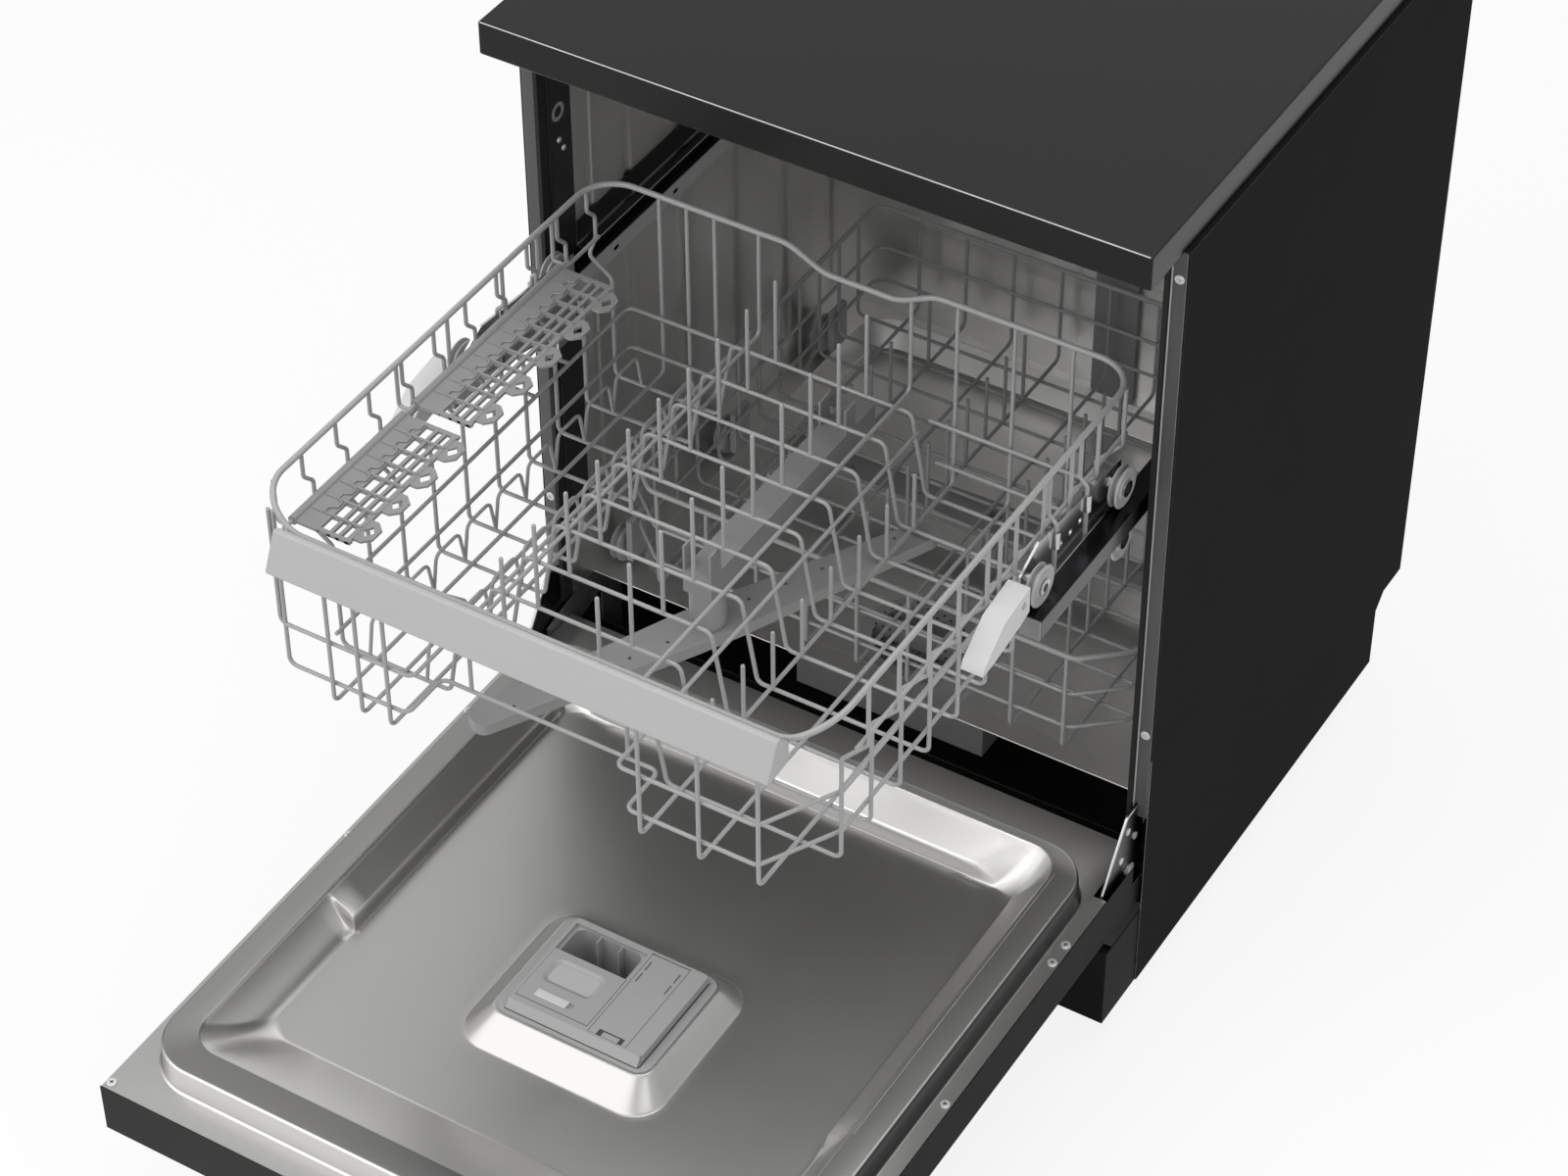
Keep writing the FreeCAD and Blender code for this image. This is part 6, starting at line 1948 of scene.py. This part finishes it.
    @staticmethod
    def _filter_holes() -> None:
        """The fine holes round the filter's rim, as black discs that paint the shade inside them."""
        low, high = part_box("filter_cup")
        middle = (low + high) / 2.0
        spots = []
        for ring in range(3):
            radius = 0.026 + 0.007 * ring
            count = 18 + 6 * ring
            for index in range(count):
                angle = math.tau * index / count
                place = (middle.x + radius * math.cos(angle), middle.y + radius * math.sin(angle), high.z)
                spots.append(Spot(place))
        FORMS.pattern(
            "filter_holes", lambda shape: disc(shape, 0.0012, 0.0003), spots, "filter", "black_plastic"
        )


@dataclass
class DoorShell:
    """The door's outer skin, fascia, hinges and flange fittings.

    Attributes:
        cross_reach: Half the length of a screw's cross recess.
        cross_half: Half the width of its slots.
    """

    cross_reach: float = 0.0014
    cross_half: float = 0.00032

    def build(self) -> None:
        """Builds and dresses the shell."""
        softened("control_fascia", 0.0012)
        softened("door_outer_panel", 0.0005, "_front")
        softened("hinge_arms", 0.0006, "_arm")
        softened("power_button", 0.0008)
        softened("display_strip", 0.0006)
        self._crosses()
        self._hinge_edges()
        self._display_marks()

    def _crosses(self) -> None:
        """The cross recesses of the flange screws, in black that paints the shade inside them."""
        heads = islands("door_screws")
        spots = [Spot(((low.x + high.x) / 2.0, (low.y + high.y) / 2.0, high.z)) for low, high in heads]
        FORMS.pattern("screw_recesses", self._draw_cross, spots, "door", "black_plastic")

    def _draw_cross(self, shape: BMesh) -> None:
        """A flat cross, sunk in the screw's head.

        Args:
            shape: The mesh that it is drawn in.
        """
        sunk, proud = -0.0002, 0.0001
        for x, y in ((self.cross_reach, self.cross_half), (self.cross_half, self.cross_reach)):
            block(shape, (-x, -y, sunk), (x, y, proud))

    @staticmethod
    def _hinge_edges() -> None:
        """The bright folded front edge of each hinge arm, and its bolts."""
        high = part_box("hinge_arms")[1]
        paths, bolts = [], []
        for side in SIDES:
            x = side * (high.x - 0.0008)
            paths.append(((x, deep(-0.0575), 0.1800), (x, deep(-0.0190), 0.2380), (x, deep(0.0085), 0.2385)))
            for y, z in ((-0.018, 0.222), (-0.004, 0.206), (-0.028, 0.196)):
                bolts.append(Spot((side * high.x, deep(y), z), (side, 0.0, 0.0)))
        FORMS.wires("hinge_edges", paths, 0.0014, 0.004, "door", "bright_steel")
        FORMS.pattern("hinge_bolts", lambda shape: disc(shape, 0.0034, 0.0014), bolts, "door", "screw_steel")

    @staticmethod
    def _display_marks() -> None:
        """Plain segments on the display."""
        low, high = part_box("display_strip")
        middle = (low + high) / 2.0
        start = (low.x + 0.014, middle.y, low.z + 0.00005)
        step, size = (0.0142, 0.0, 0.0), (0.0065, 0.0016, 0.0003)
        FORMS.bars("display_marks", 9, start, step, size, "door", "white_plastic")


@dataclass
class Dispenser:
    """The detergent dispenser on the door, with its bezel, lid and flap.

    Attributes:
        top: The height of its face.
        base: The height of the mound that it stands on.
        skirt_top: The depth of the skirt's upper edge.
        skirt_foot: The depth of the skirt's lower edge.
        dish_middle: X and depth of the thumb dish's middle.
        dish_half: Half the thumb dish's width and length.
        dish_depth: How deep the thumb dish is.
        dish_corner: Its corner radius.
    """

    top: float = 0.199
    base: float = 0.19
    skirt_top: float = deep(-0.4179)
    skirt_foot: float = deep(-0.4235)
    dish_middle: tuple[float, float] = (-0.025, deep(-0.375))
    dish_half: tuple[float, float] = (0.0245, 0.0142)
    dish_depth: float = 0.0019
    dish_corner: float = 0.008

    def build(self) -> None:
        """Builds and dresses the dispenser's parts."""
        softened("dispenser_housing", 0.0006)
        softened("lid_latch_button", 0.0007)
        softened("rinse_flap", 0.0005)
        self._lid()
        self._bezel()
        self._skirt()
        self._cup_corners()
        self._seams()
        self._flap_marks()

    def _dish(self, x: float, y: float) -> float:
        """How deep the thumb dish is at a point.

        Args:
            x: The point's X.
            y: Its Y.

        Returns:
            The depth.
        """
        past_x = abs(x - self.dish_middle[0]) - self.dish_half[0] + self.dish_corner
        past_y = abs(y - self.dish_middle[1]) - self.dish_half[1] + self.dish_corner
        inside = min(max(past_x, past_y), 0.0)
        outside = math.hypot(max(past_x, 0.0), max(past_y, 0.0)) + inside - self.dish_corner
        return self.dish_depth * (1.0 - smoothstep(-0.004, 0.0, outside))

    def _lid(self) -> None:
        """The sliding lid, with its thumb dish and the slot for the latch bar."""
        low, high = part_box("detergent_lid")
        bar_low, bar_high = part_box("lid_latch_button")
        play, draft, slot_depth = 0.0002, 0.00004, 0.0022
        slots = [
            (bar_low.x - play, bar_high.x + play, bar_low.y - play, bar_high.y + play),
            (bar_high.x + 0.0001, bar_high.x + 0.005, bar_low.y + 0.001, bar_high.y - 0.001),
        ]
        across = spaced(low.x, high.x, 70)
        along = spaced(low.y, high.y, 60)
        for left, right, front, rear in slots:
            across += [left - draft, left, right, right + draft]
            along += [front - draft, front, rear, rear + draft]
        shape = bmesh.new()
        rows = []
        for y in sorted(set(along)):
            row = []
            for x in sorted(set(across)):
                cut = any(left <= x <= right and front <= y <= rear for left, right, front, rear in slots)
                level = high.z - (slot_depth if cut else self._dish(x, y))
                row.append(shape.verts.new((x, y, level)))
            rows.append(row)
        open_sheet(shape, rows)
        rim = rows[0] + [row[-1] for row in rows[1:-1]] + rows[-1][::-1] + [row[0] for row in rows[-2:0:-1]]
        under = [shape.verts.new((vert.co.x, vert.co.y, low.z)) for vert in rim]
        for index in range(len(rim)):
            shape.faces.new((rim[index - 1], under[index - 1], under[index], rim[index]))
        shape.faces.new(under[::-1])
        hand_in(shaded(facing_out("lid_dished", shape), 35.0), "lid", "dispenser_plastic", "detergent_lid")
        self._dish_floor(high.z - self.dish_depth)

    def _dish_floor(self, level: float) -> None:
        """The paler floor of the thumb dish.

        Args:
            level: The height of the dish's floor.
        """
        shape = bmesh.new()
        (x, y), (wide, long), soft = self.dish_middle, self.dish_half, 0.0042
        outline = self._rounded(x - wide + soft, x + wide - soft, y - long + soft, y + long - soft, 0.0045)
        plate(shape, [(x, y, level - 0.0002) for x, y in outline], (), (0.0, 0.0, 0.00025))
        hand_in(facing_out("lid_dish", shape), "lid", "dispenser_plastic", variant="_pale")

    def _bezel(self) -> None:
        """The flat border on the mound's top."""
        shape = bmesh.new()
        outer = self._rounded(-0.0697, 0.0757, deep(-0.4277), deep(-0.3103), 0.012)
        inner = self._rounded(-0.0585, 0.0655, deep(-0.4165), deep(-0.3175), 0.003)
        plate(
            shape,
            [(x, y, self.base) for x, y in outer],
            [[(x, y, self.base) for x, y in inner]],
            (0.0, 0.0, 0.0006),
        )
        hand_in(facing_out("dispenser_bezel", shape), "door", "dispenser_plastic")

    @staticmethod
    def _rounded(left: float, right: float, front: float, rear: float, radius: float) -> Outline:
        """The outline of a rounded rectangle, against the clock.

        Args:
            left: Its lowest X.
            right: Its highest X.
            front: Its lowest Y.
            rear: Its highest Y.
            radius: Its corner radius.

        Returns:
            The points of the outline.
        """
        corners = ((right, front, -90.0), (right, rear, 0.0), (left, rear, 90.0), (left, front, 180.0))
        points = []
        for x, y, start in corners:
            middle_x = x - radius if x == right else x + radius
            middle_y = y + radius if y == front else y - radius
            for index in range(9):
                angle = math.radians(start + 90.0 * index / 8)
                points.append((middle_x + radius * math.cos(angle), middle_y + radius * math.sin(angle)))
        return points

    def _skirt(self) -> None:
        """The sloped skirt below the front edge, with the dark joint at its foot."""
        shape = bmesh.new()
        section = ((self.skirt_top, self.top - 0.0004), (self.skirt_foot, self.base + 0.0009))
        section += ((self.skirt_foot, self.base + 0.0002), (self.skirt_top, self.base + 0.0002))
        plate(shape, [(-0.0595, y, z) for y, z in section], (), (0.1255, 0.0, 0.0))
        hand_in(facing_out("dispenser_skirt", shape), "door", "dispenser_plastic")
        level = self.base + 0.0006
        path = (
            (-0.0602, self.skirt_foot + 0.0004, level),
            (-0.0602, self.skirt_foot - 0.0002, level),
            (0.0675, self.skirt_foot - 0.0002, level),
            (0.0675, deep(-0.3165), level),
        )
        FORMS.wires("dispenser_joint", [path], 0.0005, 0.003, "door", "black_plastic")

    @staticmethod
    def _cup_corners() -> None:
        """The rounded rear corners of the cup."""
        shape = bmesh.new()
        radius, rear, level = 0.008, deep(-0.322), 0.1955
        for side, x in ((1.0, -0.054), (-1.0, 0.009)):
            outline = [(x, rear, level)]
            for index in range(9):
                angle = math.radians(90.0 * index / 8)
                away = radius * (1.0 - math.sin(angle)), radius * (1.0 - math.cos(angle))
                outline.append((x + side * away[0], rear - away[1], level))
            plate(shape, outline, (), (0.0, 0.0, -0.0385))
        hand_in(shaded(facing_out("cup_corners", shape)), "door", "dispenser_plastic")

    def _seams(self) -> None:
        """The dark joints beside the lid and the flap."""
        shape = bmesh.new()
        lines = ((0.0120, -0.4120, -0.3545), (0.0151, -0.4155, -0.3180), (0.0509, -0.4155, -0.3180))
        half, low, high = 0.0002, self.top - 0.0004, self.top + 0.00008
        for x, front, rear in lines:
            block(shape, (x - half, deep(front), low), (x + half, deep(rear), high))
        block(shape, (-0.057, deep(-0.4126), low), (0.012, deep(-0.4120), high))
        hand_in(object_from("dispenser_seams", shape), "door", "black_plastic")

    def _flap_marks(self) -> None:
        """The flap's two broken lines, dark to paint the shade in its slots, and its notched catch, with
        painted shade in the notch.
        """
        dark, tab = bmesh.new(), bmesh.new()
        for x in (0.019, 0.0465):
            for y in (-0.3325, -0.3465):
                low = (x - 0.0005, deep(y - 0.0053), self.top - 0.0002)
                block(dark, low, (x + 0.0005, deep(y + 0.0053), self.top + 0.0001))
        block(dark, (0.0225, deep(-0.4157), self.top - 0.0003), (0.0465, deep(-0.4093), self.top + 0.0001))
        hand_in(object_from("flap_lines", dark), "flap", "dispenser_plastic", variant="_shade")
        block(tab, (0.0275, deep(-0.4158), self.top - 0.0002), (0.0428, deep(-0.4112), self.top + 0.0008))
        hand_in(object_from("flap_catch", tab), "flap", "dispenser_plastic")


@dataclass
class RackRunners:
    """The rails, rollers and wheels that the racks run on.

    Attributes:
        roller_start: Where the rollers' inner faces lie.
        roller_width: The rollers' width.
        wheel_start: Where the wheels' inner faces lie.
        wheel_width: The wheels' width.
        section: A spool's outline, as shares of its radius and of its width.
    """

    roller_start: float = 0.259
    roller_width: float = 0.008
    wheel_start: float = 0.262
    wheel_width: float = 0.010
    section: tuple[tuple[float, float], ...] = (
        (0.23, 0.0), (0.93, 0.0), (1.0, 0.10), (1.0, 0.20), (0.70, 0.36), (0.70, 0.62), (1.0, 0.80),
        (1.0, 0.90), (0.95, 1.0), (0.80, 1.0), (0.75, 0.91), (0.52, 0.89), (0.47, 0.99), (0.23, 0.99),
    )

    def build(self) -> None:
        """Builds the rollers and wheels and dresses the rails."""
        for node in frame["nodes"]:
            if node.startswith("roller_") and node != "roller_brackets":
                self._spool(node, self.roller_start, self.roller_width)
            elif node.startswith("wheel_") and node != "wheel_clips":
                self._spool(node, self.wheel_start, self.wheel_width)
        softened("rail_end_caps", 0.0016, "_cap")
        softened("wheel_clips", 0.0012)
        # The rails take the near-black copy, a painted dark reflection.
        softened("rack_rails", 0.0005, "_rail")
        softened("rail_guides", 0.0004)
        self._rivets()
        self._rail_faces()

    @staticmethod
    def _rail_faces() -> None:
        """The pierced inner faces of the rails, with painted highlights along the edges of rails and guides.
        """
        low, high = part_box("rack_rails")
        inner = high.x - 0.018
        shape = bmesh.new()
        rails, guides = [], []
        front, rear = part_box("rail_guides")[0].y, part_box("rail_guides")[1].y
        for side in SIDES:
            x, bottom, top = side * (inner + 0.0001), low.z + 0.0008, high.z - 0.0008
            start, end, middle = low.y + 0.002, high.y - 0.002, (bottom + top) / 2.0
            outline = ((start, bottom), (end, bottom), (end, top), (start, top))
            holes = [oblong(y, middle, 0.004, 0.002) for y in spaced(low.y + 0.05, high.y - 0.05, 5)]
            plate(
                shape,
                [(x, y, z) for y, z in outline],
                [[(x, y, z) for y, z in hole] for hole in holes],
                (-side * 0.0004, 0.0, 0.0),
            )
            rails.append(((x, low.y + 0.001, high.z - 0.0003), (x, high.y - 0.001, high.z - 0.0003)))
            lip, level = side * 0.2697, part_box("rail_guides")[1].z
            guides.append(((lip, front + 0.001, level), (lip, rear - 0.001, level)))
        body = BODY_OF["rack_rails"]
        hand_in(facing_out("rail_faces", shape), body, "bright_steel", variant="_face")
        # Pale wires that paint the highlights along the rails' top edges and the guides' lips.
        FORMS.wires("rail_lines", rails, LINE_RADIUS, LINE_BEND, body, "bright_steel")
        body = BODY_OF["rail_guides"]
        FORMS.wires("guide_lines", guides, LINE_RADIUS, LINE_BEND, body, "bright_steel", "_face")

    def _spool(self, node: str, start: float, width: float) -> None:
        """A flanged spool in a node's place.

        Args:
            node: The node.
            start: The distance of its inner face from the middle plane.
            width: Its width.
        """
        low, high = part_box(node)
        middle = (low + high) / 2.0
        rim = (high.z - low.z) / 2.0
        side = math.copysign(1.0, middle.x)
        profile = [(radius * rim, along * width) for radius, along in self.section]
        spool = turned(node + "_spool", profile, (side * start, middle.y, middle.z), side)
        hand_in(spool, BODY_OF[node], SLOT_OF[node], node)

    @staticmethod
    def _rivets() -> None:
        """The hollow ends of the rollers' pins, as black discs that paint the shade inside them."""
        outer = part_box("roller_brackets")[1].x
        spots = []
        for place in ("front", "rear", "low"):
            low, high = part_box(f"roller_{place}_right")
            middle = (low + high) / 2.0
            for side in SIDES:
                spots.append(Spot((side * outer, middle.y, middle.z), (side, 0.0, 0.0)))
        FORMS.pattern(
            "pin_hollows", lambda shape: disc(shape, 0.0036, 0.0002), spots, "carriage", "black_plastic"
        )


@dataclass
class CupShelf:
    """One folding shelf of the rack, with slats and tabs.

    Attributes:
        node: The node that it stands for.
        front: Where it starts.
        rear: Where it ends.
        axis: The X of its pivot.
        level: The height of its pivot.
        thickness: The thickness of its plate.
        pitch: The distance between its slats.
        barrel: The radius of the barrel round its pivot.
        bars: Its solid strip and long bars, as ways from the pivot.
    """

    node: str
    front: float
    rear: float
    axis: float = -0.238
    level: float = 0.618
    thickness: float = 0.003
    pitch: float = 0.018
    barrel: float = 0.004
    bars: tuple[tuple[float, float], ...] = ((0.0035, 0.024), (0.032, 0.035), (0.040, 0.043), (0.048, 0.052))

    def build(self) -> None:
        """Builds the shelf's plate, slats, ridges and tabs."""
        self._plate()
        self._slats()
        self._ridges()
        self._tabs()

    def _plate(self) -> None:
        """The barrel, the solid strip and the long bars."""
        shape = bmesh.new()
        low, high = self.level - self.thickness / 2.0, self.level + self.thickness / 2.0
        for start, end in self.bars:
            block(shape, (self.axis + start, self.front, low), (self.axis + end, self.rear, high))
        for y in (self.front, self.rear - 0.004):
            block(shape, (self.axis + 0.023, y, low + 0.0002), (self.axis + 0.053, y + 0.004, high - 0.0002))
        turn = Matrix.Rotation(math.pi / 2.0, 4, "X")
        place = Matrix.Translation((self.axis, (self.front + self.rear) / 2.0, self.level))
        bmesh.ops.create_cone(
            shape,
            cap_ends=True,
            segments=24,
            radius1=self.barrel,
            radius2=self.barrel,
            depth=self.rear - self.front,
            matrix=place @ turn,
        )
        made = shaded(object_from(self.node + "_plate", shape))
        hand_in(made, *self._dress(), self.node)

    def _dress(self) -> tuple[str, str]:
        """The shelf's body and material slot."""
        return BODY_OF[self.node], SLOT_OF[self.node]

    def _count(self) -> int:
        """How many slats fit between the ends."""
        return int((self.rear - self.front) / self.pitch) - 1

    def _first(self) -> float:
        """The depth of the first slat."""
        return (self.front + self.rear - (self._count() - 1) * self.pitch) / 2.0

    def _slats(self) -> None:
        """The slats across the open half."""
        start = (self.axis + 0.028, self._first(), self.level + 0.0003)
        step, size = (0.0, self.pitch, 0.0), (0.046, 0.002, self.thickness + 0.0012)
        FORMS.bars(self.node + "_slats", self._count(), start, step, size, *self._dress())

    def _ridges(self) -> None:
        """The stepped ridge along the solid strip."""
        path = []
        for index in range(self._count()):
            y = self._first() + index * self.pitch
            for x, shift in ((0.016, 0.0), (0.016, 0.006), (0.022, 0.009), (0.022, 0.015)):
                path.append((self.axis + x, y + shift, self.level + 0.0022))
        FORMS.wires(self.node + "_ridge", [path], 0.0009, 0.0008, *self._dress())

    def _tabs(self) -> None:
        """The tabs with diamond holes along the inner edge."""
        count = int((self.rear - self.front) / (2.0 * self.pitch))
        step = (self.rear - self.front) / count
        spots = [
            Spot((self.axis + 0.050, self.front + step * (index + 0.5), self.level)) for index in range(count)
        ]
        FORMS.pattern(self.node + "_tabs", self._draw_tab, spots, *self._dress())

    @staticmethod
    def _draw_tab(shape: BMesh) -> None:
        """A tab, 25 mm long, with a diamond hole.

        Args:
            shape: The mesh that it is drawn in.
        """
        outline = ((0.0, -0.0125), (0.009, -0.0125), (0.0155, -0.006))
        outline += ((0.0155, 0.0065), (0.009, 0.0125), (0.0, 0.0125))
        hole = ((0.0035, 0.0), (0.0082, -0.0062), (0.0125, 0.0), (0.0082, 0.0062))
        level = -0.0011
        plate(
            shape,
            [(x, y, level) for x, y in outline],
            [[(x, y, level) for x, y in hole]],
            (0.0, 0.0, 0.0022),
        )


@dataclass
class UpperRack:
    """The upper rack with its handle, levers and wires.

    Attributes:
        tine_radius: The radius of the rounded tips.
        tine_rows: The depths of the first and last row of tines.
        row_count: How many rows there are.
        tall_tines: The X of the tall tines.
        tall_top: The height of their tips.
        short_tine: The X of the short tines and the height of their tips.
        bay_floor: The height of the bays' floor.
        holders: The X of the bent holders.
        holder_high: How far the holders stand above the floor.
        handle_reach: How far the handle's ends stand out past its core.
    """

    tine_radius: float = 0.00178
    tine_rows: tuple[float, float] = (deep(-0.378), deep(0.012))
    row_count: int = 10
    tall_tines: tuple[float, float] = (-0.0675, 0.0175)
    tall_top: float = 0.634
    short_tine: tuple[float, float] = (0.088, 0.531)
    bay_floor: float = 0.473
    holders: tuple[float, float] = (-0.200, -0.146)
    holder_high: float = 0.034
    handle_reach: float = 0.005

    def build(self) -> None:
        """Builds and dresses the rack."""
        self._handle()
        softened("height_lever_left", 0.0016)
        softened("height_lever_right", 0.0016)
        softened("upper_spray_arm", 0.0012)
        softened("upper_spray_duct", 0.0012)
        self._tips()
        self._arches()

    def _handle(self) -> None:
        """The handle, a bar whose face leans out at its foot."""
        low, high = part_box("rack_handle")
        half = high.x + self.handle_reach
        section = (
            (low.y + 0.0140, high.z),
            (low.y + 0.0185, high.z),
            (high.y, high.z - 0.0110),
            (high.y, low.z),
            (low.y + 0.0030, low.z - 0.0020),
            (low.y - 0.0004, low.z - 0.0008),
        )
        shape = bmesh.new()
        plate(shape, [(-half, y, z) for y, z in section], (), (2.0 * half, 0.0, 0.0))
        bmesh.ops.recalc_face_normals(shape, faces=shape.faces)
        bar = rounded_off("handle_bar", shape, 0.0013)
        hand_in(bar, BODY_OF["rack_handle"], SLOT_OF["rack_handle"], "rack_handle")

    def _tips(self) -> None:
        """The rounded tips of the tines."""
        spots = []
        for index, y in enumerate(spaced(*self.tine_rows, self.row_count)):
            spots += [Spot((x, y, self.tall_top)) for x in self.tall_tines]
            if 0 < index < self.row_count - 1:
                spots.append(Spot((self.short_tine[0], y, self.short_tine[1])))
        FORMS.pattern("tine_tips", self._draw_tip, spots, "upper_rack", "coated_wire")

    def _draw_tip(self, shape: BMesh) -> None:
        """A small ball."""
        bmesh.ops.create_uvsphere(shape, u_segments=12, v_segments=8, radius=self.tine_radius)

    def _arches(self) -> None:
        """The bent wire holders in the left bay."""
        rows = spaced(*self.tine_rows, self.row_count)
        paths = []
        for first, second in zip(rows, rows[1:]):
            middle, reach = (first + second) / 2.0, (second - first) * 0.36
            for x in self.holders:
                low, high = self.bay_floor + 0.0015, self.bay_floor + self.holder_high
                paths.append(
                    (
                        (x, first, low),
                        (x, middle - reach, high),
                        (x, middle + reach, high),
                        (x, second, low),
                    )
                )
        FORMS.wires("glass_holders", paths, 0.0015, 0.007, "upper_rack", "coated_wire")


def dress_frame() -> None:
    """Gives every node that still shows the finish of its slot."""
    for name, node in frame["nodes"].items():
        if not node.hide_render:
            node.data.materials.clear()
            node.data.materials.append(FINISH_OF[SLOT_OF[name]].material())
            LOG.info("%s is dressed with %s", name, SLOT_OF[name])


def main() -> None:
    """Builds the stage and every sub-assembly, in order."""
    logging.basicConfig(level=logging.INFO, format="%(message)s")
    Studio().build()
    shelves = (
        CupShelf("cup_shelf_front", deep(-0.408), deep(-0.262)),
        CupShelf("cup_shelf_rear", deep(-0.248), deep(-0.044)),
    )
    door = (DoorShell(), DoorPan(), Dispenser())
    racks = (RackRunners(), *shelves, UpperRack())
    for assembly in (Cabinet(), Tub(), *door, *racks):
        assembly.build()
        LOG.info("%s is done", type(assembly).__name__)
    dress_frame()


if __name__ == "__main__":
    main()
